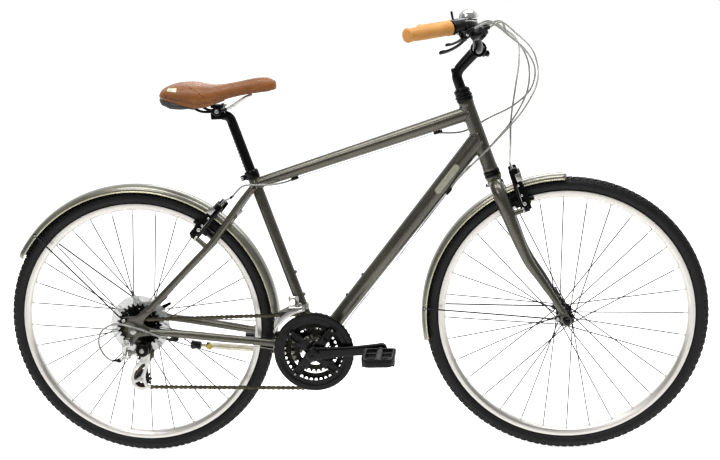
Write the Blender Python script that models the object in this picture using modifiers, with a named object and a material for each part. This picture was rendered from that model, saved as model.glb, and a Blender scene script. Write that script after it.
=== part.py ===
# Hybrid bicycle: metres, +X forward, +Y to the rider's left, +Z up.
# The origin is on the ground, midway between the wheel axles.
import bpy
import bmesh
from math import radians, sin, cos, pi, sqrt, atan2, asin, ceil
from mathutils import Vector, Matrix

# Wheels
WHEELBASE = 1.083
TYRE_RADIUS = 0.349
TYRE_HALF = 0.0185
RIM_OUTER = 0.3150
RIM_INNER = 0.2976
RIM_HALF = 0.0125
RING_STEPS = 36
GAP = 0.0003
SPOKES = 32
SPOKE_RADIUS = 0.0010
FRONT_HALF = 0.0500
REAR_HALF = 0.0675
AXLE_RADIUS = 0.0048

# Frame angles and lengths
HEAD_ANGLE = 71.6
SEAT_ANGLE = 72.6
FORK_RAKE = 0.049
FORK_LENGTH = 0.4064
CHAINSTAY = 0.4596
BRACKET_DROP = 0.068
HEAD_TUBE_LENGTH = 0.1795
SEAT_TUBE_LENGTH = 0.476
HEAD_TUBE_RADIUS = 0.0182
SEAT_TUBE_RADIUS = 0.0143
POST_RADIUS = 0.0127
STEERER_RADIUS = 0.0143
QUILL_RADIUS = 0.0127

# Drivetrain planes and radii
CHAIN_Y = -0.0560
COG_PITCH = 0.00464
BIG_COG_Y = -0.0300
SMALL_COG_Y = BIG_COG_Y - 7 * COG_PITCH
COG_TEETH = (28, 24, 21, 19, 17, 15, 13, 12)
RING_TEETH = (48, 38, 28)
LINK = 0.0127
CHAIN_HALF_HEIGHT = 0.0042
CHAIN_HALF_WIDTH = 0.0033
CRANK_LENGTH = 0.1725
CRANK_RISE = 3.4
GUARD_RADIUS = 0.1015
GUARD_Y = -0.0618

# Cockpit
BAR_RADIUS = 0.0111
BAR_CLAMP_RADIUS = 0.0127
GRIP_RADIUS = 0.0150

for old in list(bpy.data.objects):
    bpy.data.objects.remove(old, do_unlink=True)

PARTS = bpy.data.collections.new("HybridBike")
TOOLS = bpy.data.collections.new("HybridBikeCutters")
bpy.context.scene.collection.children.link(PARTS)
bpy.context.scene.collection.children.link(TOOLS)

SIDES = {"right": -1.0, "left": 1.0}


def at(x, y, z):
    """A point measured from the rear tyre's contact with the ground."""
    return Vector((x - WHEELBASE / 2, y, z))


REAR = at(0, 0, TYRE_RADIUS)
FRONT = at(WHEELBASE, 0, TYRE_RADIUS)
Y_AXIS = Vector((0, 1, 0))
HEAD_UP = Vector((-cos(radians(HEAD_ANGLE)), 0, sin(radians(HEAD_ANGLE))))
HEAD_FWD = Vector((sin(radians(HEAD_ANGLE)), 0, cos(radians(HEAD_ANGLE))))
SEAT_UP = Vector((-cos(radians(SEAT_ANGLE)), 0, sin(radians(SEAT_ANGLE))))
SEAT_FWD = Vector((sin(radians(SEAT_ANGLE)), 0, cos(radians(SEAT_ANGLE))))
HEAD_LOW = FRONT - HEAD_FWD * FORK_RAKE + HEAD_UP * FORK_LENGTH
BRACKET = at(sqrt(CHAINSTAY ** 2 - BRACKET_DROP ** 2), 0, TYRE_RADIUS - BRACKET_DROP)


def head(s, n=0.0, y=0.0):
    """A point s up the steering axis, n ahead of it, y to the left."""
    return HEAD_LOW + HEAD_UP * s + HEAD_FWD * n + Y_AXIS * y


def seat(s, n=0.0, y=0.0):
    """A point s up the seat tube's axis, n ahead of it, y to the left."""
    return BRACKET + SEAT_UP * s + SEAT_FWD * n + Y_AXIS * y


def pitch_radius(teeth):
    return LINK / (2 * sin(pi / teeth))


# Building blocks
def keep(ob, collection):
    for c in list(ob.users_collection):
        c.objects.unlink(ob)
    collection.objects.link(ob)
    return ob


def from_bmesh(bm, name="tool"):
    bmesh.ops.recalc_face_normals(bm, faces=bm.faces)
    mesh = bpy.data.meshes.new(name)
    bm.to_mesh(mesh)
    bm.free()
    return keep(bpy.data.objects.new(name, mesh), TOOLS)


def baked(ob):
    """The object's evaluated shape as one plain mesh with welded caps."""
    bpy.context.view_layer.update()
    graph = bpy.context.evaluated_depsgraph_get()
    mesh = bpy.data.meshes.new_from_object(ob.evaluated_get(graph))
    place = ob.matrix_world.copy()
    name = ob.name
    bpy.data.objects.remove(ob, do_unlink=True)
    mesh.transform(place)
    bm = bmesh.new()
    bm.from_mesh(mesh)
    bmesh.ops.remove_doubles(bm, verts=bm.verts, dist=0.00001)
    bmesh.ops.dissolve_degenerate(bm, edges=bm.edges, dist=0.000002)
    bpy.data.meshes.remove(mesh)
    return from_bmesh(bm, name)


def basis(direction, side=None):
    """A turn whose Z is the direction, and whose X leans to the side vector."""
    z = Vector(direction).normalized()
    x = Vector(side) if side is not None else Vector((1, 0, 0))
    x = x - z * x.dot(z)
    if x.length < 0.000001:
        x = Vector((0, 1, 0)) - z * z.y
    x.normalize()
    y = z.cross(x)
    return Matrix((x, y, z)).transposed()


def rod(a, b, r0, r1=None, sides=16, turn=0.0):
    """A straight round bar or cone from a to b."""
    a, b = Vector(a), Vector(b)
    bm = bmesh.new()
    bmesh.ops.create_cone(bm, cap_ends=True, cap_tris=False, segments=sides, radius1=r0,
                          radius2=r0 if r1 is None else r1, depth=(b - a).length)
    spin = Matrix.Rotation(turn, 4, "Z")
    bm.transform(Matrix.Translation((a + b) / 2) @ basis(b - a).to_4x4() @ spin)
    return from_bmesh(bm)


def disc(centre, half, radius, sides=16, turn=0.0):
    """A cylinder across the bike, centred on a point."""
    c = Vector(centre)
    return rod(c - Y_AXIS * half, c + Y_AXIS * half, radius, None, sides, turn)


def block(centre, size, x_dir=(1, 0, 0), z_dir=(0, 0, 1), bevel=0.0):
    """A box whose X and Z edges follow two directions."""
    bm = bmesh.new()
    bmesh.ops.create_cube(bm, size=1.0)
    bmesh.ops.scale(bm, vec=size, verts=bm.verts)
    if bevel > 0:
        bmesh.ops.bevel(bm, geom=bm.edges[:], offset=bevel, segments=1, affect="EDGES", profile=0.5)
    bm.transform(Matrix.Translation(Vector(centre)) @ basis(z_dir, x_dir).to_4x4())
    return from_bmesh(bm)


def span_points(route, first, last):
    """The smooth curve through the whole route, between two of its points."""
    out = []
    for i in range(first, last):
        b, c = route[i], route[i + 1]
        a = route[i - 1] if i > 0 else b * 2 - c
        d = route[i + 2] if i + 2 < len(route) else c * 2 - b
        ta, tb, tc = (b - a).length ** 0.5, (c - b).length ** 0.5, (d - c).length ** 0.5
        m1 = (c - b) + ((b - a) / ta - (c - a) / (ta + tb)) * tb
        m2 = (c - b) + ((d - c) / tc - (d - b) / (tb + tc)) * tb
        for k in range(24):
            t = k / 24
            h = (2 * t ** 3 - 3 * t ** 2 + 1, t ** 3 - 2 * t ** 2 + t, 3 * t ** 2 - 2 * t ** 3, t ** 3 - t ** 2)
            out.append(b * h[0] + m1 * h[1] + c * h[2] + m2 * h[3])
    out.append(route[last])
    return out


def even_points(dense, count):
    total = [0.0]
    for a, b in zip(dense, dense[1:]):
        total.append(total[-1] + (b - a).length)
    out, j = [], 0
    for k in range(count):
        want = total[-1] * k / (count - 1)
        while j < len(total) - 2 and total[j + 1] < want:
            j += 1
        span = max(total[j + 1] - total[j], 1e-9)
        out.append(dense[j].lerp(dense[j + 1], (want - total[j]) / span))
    return out


def smooth_route(points, count):
    """Points spread evenly along a smooth curve through the given ones."""
    return even_points(span_points([Vector(q) for q in points], 0, len(points) - 1), count)


def tube(points, radius, res=3, radii=None, closed=False):
    """A bent round tube along the points, as a bevelled poly curve with filled caps."""
    curve = bpy.data.curves.new("tube", "CURVE")
    curve.dimensions = "3D"
    curve.bevel_depth = 1.0
    curve.bevel_resolution = res
    curve.use_fill_caps = not closed
    spline = curve.splines.new("POLY")
    spline.points.add(len(points) - 1)
    for i, p in enumerate(points):
        spline.points[i].co = (*p, 1.0)
        spline.points[i].radius = radius if radii is None else radii[i]
    spline.use_cyclic_u = closed
    return baked(keep(bpy.data.objects.new("tube", curve), TOOLS))


def spread(values, route, count):
    """One radius for each of count even points along the route whose points have these radii."""
    p = [Vector(q) for q in route]
    far = [0.0]
    for a, b in zip(p, p[1:]):
        far.append(far[-1] + (b - a).length)
    out = []
    for k in range(count):
        want = far[-1] * k / (count - 1)
        i = 0
        while i < len(far) - 2 and far[i + 1] < want:
            i += 1
        t = (want - far[i]) / (far[i + 1] - far[i])
        out.append(values[i] + (values[i + 1] - values[i]) * t)
    return out


def bent(route, radius, count, res=3, taper=None):
    radii = None
    if taper is not None:
        keys = route
        if len(taper) != len(route):
            keys = smooth_route(route, len(taper))
        radii = spread(taper, keys, count)
    return tube(smooth_route(route, count), radius, res, radii)


def turned(profile, origin, direction=(0, 1, 0), steps=24, ring=False, sweep=360.0, side=None):
    """A turned piece: (radius, height) pairs, height along the direction."""
    mesh = bpy.data.meshes.new("turned")
    verts = [(r, 0, h) for r, h in profile]
    edges = [(i, i + 1) for i in range(len(verts) - 1)]
    if ring:
        edges.append((len(verts) - 1, 0))
    mesh.from_pydata(verts, edges, [])
    ob = keep(bpy.data.objects.new("turned", mesh), TOOLS)
    ob.matrix_world = Matrix.Translation(Vector(origin)) @ basis(direction, side).to_4x4()
    screw = ob.modifiers.new("turn", "SCREW")
    screw.axis = "Z"
    screw.angle = radians(sweep)
    screw.steps = steps
    screw.render_steps = steps
    screw.use_merge_vertices = True
    screw.merge_threshold = 0.00001
    return baked(ob)


def plate(outline, thickness, centre, x_dir=(1, 0, 0), y_dir=(0, 0, 1), holes=()):
    """A flat outline in the plane of two directions, with a thickness."""
    curve = bpy.data.curves.new("plate", "CURVE")
    curve.dimensions = "2D"
    curve.fill_mode = "BOTH"
    curve.extrude = thickness / 2
    for loop in (outline, *holes):
        spline = curve.splines.new("POLY")
        spline.points.add(len(loop) - 1)
        for i, (u, v) in enumerate(loop):
            spline.points[i].co = (u, v, 0, 1)
        spline.use_cyclic_u = True
    ob = keep(bpy.data.objects.new("plate", curve), TOOLS)
    x, y = Vector(x_dir).normalized(), Vector(y_dir).normalized()
    turn = Matrix((x, y, x.cross(y))).transposed().to_4x4()
    ob.matrix_world = Matrix.Translation(Vector(centre)) @ turn
    return baked(ob)


def circle(u, v, r, n, start=0.0):
    return [(u + r * cos(start + 2 * pi * i / n), v + r * sin(start + 2 * pi * i / n)) for i in range(n)]


def arc(r, a0, a1, n, u=0.0, v=0.0):
    """Points on an arc, angles in degrees."""
    out = []
    for i in range(n):
        a = radians(a0 + (a1 - a0) * i / (n - 1))
        out.append((u + r * cos(a), v + r * sin(a)))
    return out


def solve(ob, others, operation):
    for other in others:
        mod = ob.modifiers.new(operation.lower(), "BOOLEAN")
        mod.operation = operation
        mod.solver = "EXACT"
        mod.object = other
        other.hide_render = True
        other.display_type = "WIRE"
    out = baked(ob)
    for other in others:
        bpy.data.objects.remove(other, do_unlink=True)
    return out


def joined(first, *others):
    return solve(first, others, "UNION")


def cut(first, *others):
    return solve(first, others, "DIFFERENCE")


def mirrored(ob, sign=-1.0):
    """A copy across the bike's middle plane."""
    bm = bmesh.new()
    bm.from_mesh(ob.data)
    bm.transform(Matrix.Diagonal((1, sign, 1, 1)))
    return from_bmesh(bm)


MATERIALS = {}


def material(name, colour, metallic, roughness):
    if name not in MATERIALS:
        mat = bpy.data.materials.new(name)
        mat.use_nodes = True
        shader = mat.node_tree.nodes["Principled BSDF"]
        shader.inputs["Base Color"].default_value = (*colour, 1)
        shader.inputs["Metallic"].default_value = metallic
        shader.inputs["Roughness"].default_value = roughness
        mat.diffuse_color = (*colour, 1)
        MATERIALS[name] = mat
    return MATERIALS[name]


PAINT = ("Pewter paint", (0.10, 0.098, 0.078), 0.6, 0.32)
GUARD_PAINT = ("Mudguard paint", (0.20, 0.195, 0.155), 0.5, 0.35)
BLACK_ALLOY = ("Black alloy", (0.012, 0.012, 0.013), 0.4, 0.30)
BLACK_PLASTIC = ("Black plastic", (0.014, 0.014, 0.015), 0.0, 0.45)
RUBBER = ("Tyre rubber", (0.016, 0.016, 0.017), 0.0, 0.75)
SILVER = ("Silver alloy", (0.56, 0.56, 0.55), 0.9, 0.32)
STEEL = ("Steel", (0.36, 0.36, 0.36), 0.9, 0.35)
CHROME = ("Chrome", (0.75, 0.75, 0.75), 1.0, 0.12)
DARK_STEEL = ("Dark steel", (0.035, 0.032, 0.028), 0.8, 0.40)
LEATHER = ("Tan leather", (0.42, 0.16, 0.045), 0.0, 0.5)
GRIP_RUBBER = ("Tan grip", (0.50, 0.22, 0.07), 0.0, 0.6)
HOUSING = ("Cable housing", (0.28, 0.28, 0.26), 0.2, 0.45)
CLEAR = ("Clear plastic", (0.70, 0.71, 0.70), 0.0, 0.25)


def finish(name, ob, look, pivot=None):
    """Names the piece, puts its origin on its joint's axis and shades it."""
    ob.name = name
    ob.data.name = name
    keep(ob, PARTS)
    if pivot is not None:
        p = Vector(pivot)
        ob.data.transform(Matrix.Translation(-p))
        ob.location = p
    ob.data.materials.clear()
    ob.data.materials.append(material(*look))
    ob.data.shade_smooth()
    ob.data.set_sharp_from_angle(angle=radians(35))
    return ob


# Frame
TOP_TUBE_LOW = at(0.322, 0, 0.7035)
TOP_TUBE_HIGH = at(0.8615, 0, 0.8614)
DOWN_TUBE_HIGH = at(0.8816, 0, 0.7986)
TOP_TUBE_R = (0.01385, 0.0182)
DOWN_TUBE_R = (0.0186, 0.0224)
SHELL_HALF = 0.0340
SHELL_RADIUS = 0.0208
SPINDLE_RADIUS = 0.0085
DROPOUT_T = 0.0060
DROP_Y = REAR_HALF + GAP + DROPOUT_T / 2
BRAKE_SET = 0.0400
BRAKE_RADIUS = 0.2830
STAY_ANGLE = 46.3
STAY_UP = Vector((cos(radians(STAY_ANGLE)), 0, sin(radians(STAY_ANGLE))))
STAY_BACK = Vector((-sin(radians(STAY_ANGLE)), 0, cos(radians(STAY_ANGLE))))
EYELET = (-0.0240, 0.0275)

CHAINSTAY_ROUTE = ((0.447, 0.0190, 0.2820), (0.405, 0.0255, 0.2890), (0.360, 0.0345, 0.2965),
                   (0.300, 0.0440, 0.3070), (0.220, 0.0535, 0.3190), (0.140, 0.0610, 0.3310),
                   (0.080, 0.0660, 0.3385), (0.040, 0.0688, 0.3425))
CHAINSTAY_TAPER = (0.0100, 0.0095, 0.0093, 0.0098, 0.0104, 0.0105, 0.0096, 0.0086)
SEATSTAY_ROUTE = ((0.316, 0.0185, 0.6950), (0.285, 0.0260, 0.6590), (0.2138, 0.0430, 0.5685),
                  (0.160, 0.0530, 0.5160), (0.095, 0.0630, 0.4540), (0.040, 0.0690, 0.4005))
SEATSTAY_TAPER = (0.0085, 0.0086, 0.0087, 0.0084, 0.0080, 0.0080)


def mirror_route(route, sign):
    return [at(x, y * sign, z) for x, y, z in route]


def dropout(sign):
    """A rear dropout, with the mech hanger on the right one."""
    drive = sign < 0
    low = [(-0.0165, -0.0100), (-0.0295, -0.0235), (-0.0290, -0.0365), (-0.0175, -0.0425), (-0.0050, -0.0370),
           (0.0105, -0.0180)]
    if not drive:
        low = [(-0.0160, -0.0100), (-0.0110, -0.0170), (0.0000, -0.0190), (0.0120, -0.0170)]
    outline = [(0.0520, 0.0480), (0.0440, 0.0610), (0.0300, 0.0560), (0.0060, 0.0360), (-0.0160, 0.0360),
               (-0.0310, 0.0330), (-0.0320, 0.0210), (-0.0185, 0.0130)] + low
    outline += [(0.0400, -0.0155), (0.0580, -0.0140), (0.0600, 0.0000), (0.0330, 0.0070), (0.0230, 0.0180),
                (0.0300, 0.0310)]
    body = plate(outline, DROPOUT_T, REAR + Y_AXIS * DROP_Y * sign)
    slot = disc(REAR + Y_AXIS * DROP_Y * sign, 0.01, AXLE_RADIUS + 0.0004, 16)
    way = Vector((0.35, 0, -0.94)).normalized()
    mouth = block(REAR + Y_AXIS * DROP_Y * sign + way * 0.02,
                  (0.04, 0.02, 2 * AXLE_RADIUS + 0.0008), way, Vector((way.z, 0, -way.x)))
    return cut(body, slot, mouth)


def brake_boss(base, up, back, sign, y):
    p = base + Y_AXIS * y * sign
    return rod(p + back * 0.004, p + back * (BRAKE_SET - 0.0040), 0.0065, None, 12)


def stay_point(radius, back=0.0, y=0.0):
    """A point in the rear brake's plane: its distance along the stay from the axle."""
    foot = at(0.2138, 0, 0.5685)
    along = (foot - REAR).dot(STAY_UP)
    off = foot - REAR - STAY_UP * along
    return REAR + off + STAY_UP * radius + STAY_BACK * back + Y_AXIS * y


def make_frame():
    tubes = [rod(head(0.0008), head(HEAD_TUBE_LENGTH), HEAD_TUBE_RADIUS, None, 20)]
    tubes.append(rod(TOP_TUBE_LOW, TOP_TUBE_HIGH, TOP_TUBE_R[0], TOP_TUBE_R[1], 16))
    tubes.append(rod(BRACKET, DOWN_TUBE_HIGH, DOWN_TUBE_R[0], DOWN_TUBE_R[1], 16))
    tubes.append(rod(seat(0.0), seat(SEAT_TUBE_LENGTH), SEAT_TUBE_RADIUS, None, 16))
    tubes.append(disc(BRACKET, SHELL_HALF, SHELL_RADIUS, 20))
    tubes.append(disc(BRACKET, SHELL_HALF + 0.0030, SHELL_RADIUS - 0.0035, 16))
    for sign in (-1, 1):
        tubes.append(bent(mirror_route(CHAINSTAY_ROUTE, sign), 1, 9, 2, CHAINSTAY_TAPER))
        tubes.append(bent(mirror_route(SEATSTAY_ROUTE, sign), 1, 7, 2, SEATSTAY_TAPER))
        tubes.append(dropout(sign))
        tubes.append(brake_boss(stay_point(BRAKE_RADIUS), STAY_UP, STAY_BACK, sign, 0.0440))
        eye = REAR + Vector((EYELET[0], DROP_Y * sign, EYELET[1]))
        tubes.append(disc(eye, DROPOUT_T / 2 + 0.0008, 0.0058, 12))
    top = stay_point(0.3890)
    tubes.append(rod(top - Y_AXIS * 0.034, top + Y_AXIS * 0.034, 0.0065, None, 12))
    bridge = at(0.3850, 0, 0.2925)
    tubes.append(rod(bridge - Y_AXIS * 0.030, bridge + Y_AXIS * 0.030, 0.0065, None, 12))
    plate_at = at(0.4040, 0.0, 0.2775)
    tubes.append(block(plate_at, (0.034, 0.070, 0.0100), (1, 0, -0.16), (0.16, 0, 1)))
    tubes.append(rod(STAND_PIVOT - STAND_AXIS * 0.0180, STAND_PIVOT, 0.0100, None, 12))
    tubes.append(rod(at(0.4000, 0.0160, 0.2775), STAND_PIVOT - STAND_AXIS * 0.0110, 0.0075, None, 10))
    for s in (0.1986, 0.1371):
        tubes.append(rod(seat(s, 0.008), seat(s, 0.0185), 0.0048, None, 10))
    for t in (0.23, 0.33):
        p = BRACKET.lerp(DOWN_TUBE_HIGH, t)
        up = (DOWN_TUBE_HIGH - BRACKET).normalized().cross(Y_AXIS)
        up = up if up.z > 0 else -up
        r = DOWN_TUBE_R[0] + (DOWN_TUBE_R[1] - DOWN_TUBE_R[0]) * t
        tubes.append(rod(p + up * (r - 0.008), p + up * (r + 0.0030), 0.0048, None, 10))
    body = joined(*tubes)
    bores = [rod(head(-0.01), head(HEAD_TUBE_LENGTH + 0.01), STEERER_RADIUS + 0.0018, None, 16)]
    bores.append(rod(seat(0.190), seat(SEAT_TUBE_LENGTH + 0.01), POST_RADIUS + GAP, None, 16))
    bores.append(disc(BRACKET, 0.06, SPINDLE_RADIUS + 0.0006, 12))
    return cut(body, *bores)


# Kickstand geometry is needed by the frame's lug.
STAND_PIVOT = at(0.3930, 0.0300, 0.2470)
STAND_FOLDED = (at(0.1220, 0.0740, 0.2565) - STAND_PIVOT).normalized()
STAND_DOWN = Vector((-0.16, 0.40, -0.86)).normalized()
STAND_AXIS = STAND_FOLDED.cross(STAND_DOWN).normalized()
if STAND_AXIS.y < 0:
    STAND_AXIS = -STAND_AXIS

finish("frame", make_frame(), PAINT)


def make_collar():
    outer, bore = SEAT_TUBE_RADIUS + 0.0040, SEAT_TUBE_RADIUS + 0.0006
    ring = turned([(outer, -0.0085), (outer, 0.0085), (SEAT_TUBE_RADIUS + 0.0025, 0.0120), (POST_RADIUS + 0.0008, 0.0120),
                   (POST_RADIUS + 0.0008, 0.0094), (bore, 0.0094), (bore, -0.0085)],
                  seat(SEAT_TUBE_LENGTH - 0.0090), SEAT_UP, 16, True)
    ears = block(seat(SEAT_TUBE_LENGTH - 0.0090, -0.0235), (0.013, 0.014, 0.013), SEAT_FWD, SEAT_UP)
    bolt = rod(seat(SEAT_TUBE_LENGTH - 0.0090, -0.0255, -0.011), seat(SEAT_TUBE_LENGTH - 0.0090, -0.0255, 0.011),
               0.0040, None, 8)
    return joined(ring, ears, bolt)


finish("seat_collar", make_collar(), BLACK_ALLOY)

# Headset
LOW_RING = 0.0145
UP_RING = 0.0145
NUT_TOP = 0.2103


def head_ring(s0, s1, r0, r1):
    bore = STEERER_RADIUS + 0.0005
    return turned([(r0, s0), (r1, s1), (bore, s1), (bore, s0)], head(0), HEAD_UP, 18, True)


finish("headset_lower", head_ring(-LOW_RING, 0.0005, 0.0208, 0.0196), BLACK_ALLOY)
finish("headset_upper", head_ring(HEAD_TUBE_LENGTH + GAP, HEAD_TUBE_LENGTH + UP_RING, 0.0200, 0.0222),
       BLACK_ALLOY)

# Fork
BLADE_ROUTE = ((-0.0335, 0.0, 0.0030), (-0.0350, 0.0, 0.0200), (-0.0430, 0.0005, 0.0365),
               (-0.0600, 0.0015, 0.0462), (-0.0900, 0.0030, 0.0500), (-0.1396, 0.0044, 0.0510),
               (-0.2331, 0.0103, 0.0512), (-0.2933, 0.0257, 0.0516), (-0.3500, 0.0395, 0.0524),
               (-0.3860, 0.0462, 0.0530))
BLADE_TAPER = (0.0150, 0.0156, 0.0168, 0.0172, 0.0168, 0.0157, 0.0124, 0.0102, 0.0080, 0.0066)
FORK_END_T = 0.0056
FORK_END_Y = FRONT_HALF + GAP + FORK_END_T / 2
FORK_EYELET = (-0.0190, 0.0125)
BRAKE_PIVOT_S = -0.1130


def fork_end(sign):
    outline = [(-0.0105, 0.0330), (0.0060, 0.0330), (0.0095, 0.0100), (0.0115, 0.0000), (0.0100, -0.0120),
               (-0.0100, -0.0120), (-0.0110, -0.0020), (-0.0180, 0.0050), (-0.0260, 0.0080), (-0.0270, 0.0160),
               (-0.0200, 0.0205), (-0.0120, 0.0200)]
    centre = FRONT + Y_AXIS * FORK_END_Y * sign
    body = plate(outline, FORK_END_T, centre, HEAD_FWD, HEAD_UP)
    hole = disc(centre, 0.01, AXLE_RADIUS + 0.0004, 16)
    mouth = block(centre - HEAD_UP * 0.015, (2 * AXLE_RADIUS + 0.0008, 0.02, 0.030), HEAD_FWD, HEAD_UP)
    return cut(body, hole, mouth)


def make_fork():
    r, b = STEERER_RADIUS, QUILL_RADIUS + 0.0008
    steerer = turned([(0, 0.100), (b, 0.100), (b, NUT_TOP), (0.0190, NUT_TOP), (0.0198, 0.2060),
                      (0.0198, HEAD_TUBE_LENGTH + UP_RING + GAP), (r, HEAD_TUBE_LENGTH + UP_RING + GAP),
                      (r, -LOW_RING - GAP), (0.0205, -LOW_RING - GAP), (0.0195, -0.0240), (0.0160, -0.0300),
                      (0.0, -0.0330)], head(0), HEAD_UP, 16)
    pieces = [steerer]
    for sign in (-1, 1):
        route = [head(s, n, y * sign) for s, n, y in BLADE_ROUTE]
        pieces.append(bent(route, 1, 12, 2, BLADE_TAPER))
        pieces.append(fork_end(sign))
        pieces.append(brake_boss(head(BRAKE_PIVOT_S, 0.004), HEAD_UP, HEAD_FWD, sign, 0.0450))
        eye = FRONT + HEAD_FWD * FORK_EYELET[0] + HEAD_UP * FORK_EYELET[1] + Y_AXIS * FORK_END_Y * sign
        pieces.append(disc(eye, FORK_END_T / 2 + 0.0008, 0.0056, 12))
    pieces.append(rod(head(-0.0335, -0.008), head(-0.0335, -0.0245), 0.0048, None, 10))
    return joined(*pieces)


finish("fork", make_fork(), PAINT, head(0))

# Stem and bars
STEM_ROUTE = ((0.130, 0.0), (0.180, 0.0), (0.222, 0.0), (0.2420, 0.0012), (0.2550, 0.0100), (0.2640, 0.0250),
              (0.2740, 0.0450), (0.2800, 0.0570))
BAR_S, BAR_N = 0.2858, 0.0717
STEM_CLAMP_R = 0.0200
STEM_CLAMP_HALF = 0.0210


def make_stem():
    centre = head(BAR_S, BAR_N)
    neck = bent([head(s, n) for s, n in STEM_ROUTE], QUILL_RADIUS, 9, 2)
    clamp = disc(centre, STEM_CLAMP_HALF, STEM_CLAMP_R, 18)
    pinch = block(head(BAR_S - 0.0170, BAR_N + 0.0130), (0.018, 0.016, 0.014), HEAD_FWD, HEAD_UP, 0.002)
    cap = rod(head(0.2450, 0.0), head(0.2640, 0.0), 0.0085, 0.0075, 14)
    body = joined(neck, clamp, pinch, cap)
    return cut(body, disc(centre, 0.05, BAR_CLAMP_RADIUS + 0.0006, 16))


finish("stem", make_stem(), BLACK_ALLOY, head(0))

GRIP_IN = (0.8235, 0.2030, 1.0675)
GRIP_OUT = (0.7325, 0.2900, 1.0575)


def grip_line(sign, u):
    """A point on the bar's straight end, u outwards from the grip's inner end."""
    a = at(GRIP_IN[0], GRIP_IN[1] * sign, GRIP_IN[2])
    b = at(GRIP_OUT[0], GRIP_OUT[1] * sign, GRIP_OUT[2])
    return a + (b - a).normalized() * u


GRIP_LENGTH = (grip_line(1, 0) - at(*GRIP_OUT)).length
BAR_MID = ((0.8884, 0.0, 1.0138), (0.8884, 0.0220, 1.0138), (0.8876, 0.0400, 1.0155), (0.8856, 0.0600, 1.0260),
           (0.8828, 0.0820, 1.0430), (0.8800, 0.1020, 1.0560), (0.8780, 0.1240, 1.0672), (0.8735, 0.1460, 1.0722))


def bar_points():
    centre = head(BAR_S, BAR_N)
    shift = centre - at(*BAR_MID[0])
    half = []
    for i, (x, y, z) in enumerate(BAR_MID):
        half.append((at(x, y, z) + shift * (1 - i / (len(BAR_MID) - 1)), BAR_CLAMP_RADIUS if i < 2 else BAR_RADIUS))
    for u in (-0.055, -0.035, 0.0, 0.060, GRIP_LENGTH - 0.004):
        half.append((grip_line(1, u), BAR_RADIUS))
    return half


BAR_HALF = bar_points()


def make_bar():
    left = [p for p, r in BAR_HALF]
    right = [Vector((p.x, -p.y, p.z)) for p in left]
    route = list(reversed(right)) + left[1:]
    taper = [r for p, r in BAR_HALF]
    taper = list(reversed(taper)) + taper[1:]
    return tube(route, 1, 3, taper)


finish("handlebar", make_bar(), BLACK_ALLOY, head(0))


def make_grip(sign):
    bore = BAR_RADIUS + 0.0006
    line = (grip_line(sign, 1) - grip_line(sign, 0)).normalized()
    end = GRIP_LENGTH
    profile = [(0, end), (0.0120, end), (0.0158, end - 0.0015), (0.0158, end - 0.0060), (GRIP_RADIUS, end - 0.0080),
               (GRIP_RADIUS - 0.0004, 0.060), (GRIP_RADIUS, 0.010), (0.0165, 0.0080), (0.0165, 0.0005),
               (bore, 0.0005), (bore, end - 0.0036), (0, end - 0.0036)]
    return turned(profile, grip_line(sign, 0), line, 12)


# Controls
RIGHT_TIP = at(0.8082, -0.2600, 1.0182)


def control_axes(sign):
    """Directions at one end of the bar: outwards along it, towards the lever, and across both."""
    out = (grip_line(sign, 1) - grip_line(sign, 0)).normalized()
    reach = Vector((RIGHT_TIP.x, -RIGHT_TIP.y * sign, RIGHT_TIP.z)) - grip_line(sign, 0)
    to_lever = (reach - out * reach.dot(out)).normalized()
    return out, to_lever, out.cross(to_lever)


def control_point(sign, u, w, a=0.0):
    out, lever, across = control_axes(sign)
    return grip_line(sign, 0) + out * u + lever * w + across * a


LEVER_PIVOT = (-0.0300, 0.0290)
LEVER_ROUTE = ((-0.0300, 0.0290), (-0.0180, 0.0370), (0.0000, 0.0445), (0.0250, 0.0515), (0.0450, 0.0545),
               (0.0590, 0.0545))
POD = (-0.0730, 0.0250)
SHIFT_PIVOT = (-0.0700, 0.0250, 0.0160)
EXIT_RISE = 0.0165


def make_control(sign):
    out, lever, across = control_axes(sign)

    def cp(u, w, a=0.0):
        return control_point(sign, u, w, a)

    bore, wall = BAR_RADIUS + 0.0007, 0.0162
    ring = turned([(wall, -0.0400), (wall, -0.0040), (bore, -0.0040), (bore, -0.0400)], cp(0, 0), out, 14, True)
    neck = block(cp(-0.0300, 0.0172), (0.022, 0.012, 0.0086), out, lever)
    ears = [block(cp(-0.0300, 0.0270, side * 0.0062), (0.014, 0.0030, 0.020), out, lever) for side in (-1, 1)]
    arm = block(cp(-0.0525, 0.0215), (0.027, 0.013, 0.0130), out, lever)
    body = block(cp(POD[0], POD[1]), (0.042, 0.0220, 0.0240), out, lever, 0.004)
    front = rod(cp(POD[0] - 0.004, POD[1] + 0.004), cp(POD[0] - 0.010, POD[1] + 0.0145), 0.0100, 0.0080, 10)
    shift_exit = rod(control_exit(sign, "shift", -0.018), control_exit(sign, "shift", 0.0), 0.0046, 0.0038, 8)
    brake_exit = rod(control_exit(sign, "brake", -0.020), control_exit(sign, "brake", 0.0), 0.0046, 0.0038, 8)
    return joined(ring, neck, *ears, arm, body, front, shift_exit, brake_exit)


def control_exit(sign, kind, back=0.0):
    """The mouth of a barrel adjuster; back is measured along the housing's way out."""
    way = exit_way(sign, kind)
    if kind == "shift":
        return at(0.9120, 0.1480 * sign, 1.0660) + way * back
    out, lever, across = control_axes(sign)
    return control_point(sign, -0.0500, 0.0200) + across * EXIT_RISE * (1 if across.x > 0 else -1) + way * back


def exit_way(sign, kind):
    if kind == "shift":
        return Vector((0.86, -0.40 * sign, 0.30)).normalized()
    out, lever, across = control_axes(sign)
    return (out * -0.016 + lever * 0.002 + across * 0.0125 * (1 if across.x > 0 else -1)).normalized()


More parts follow.
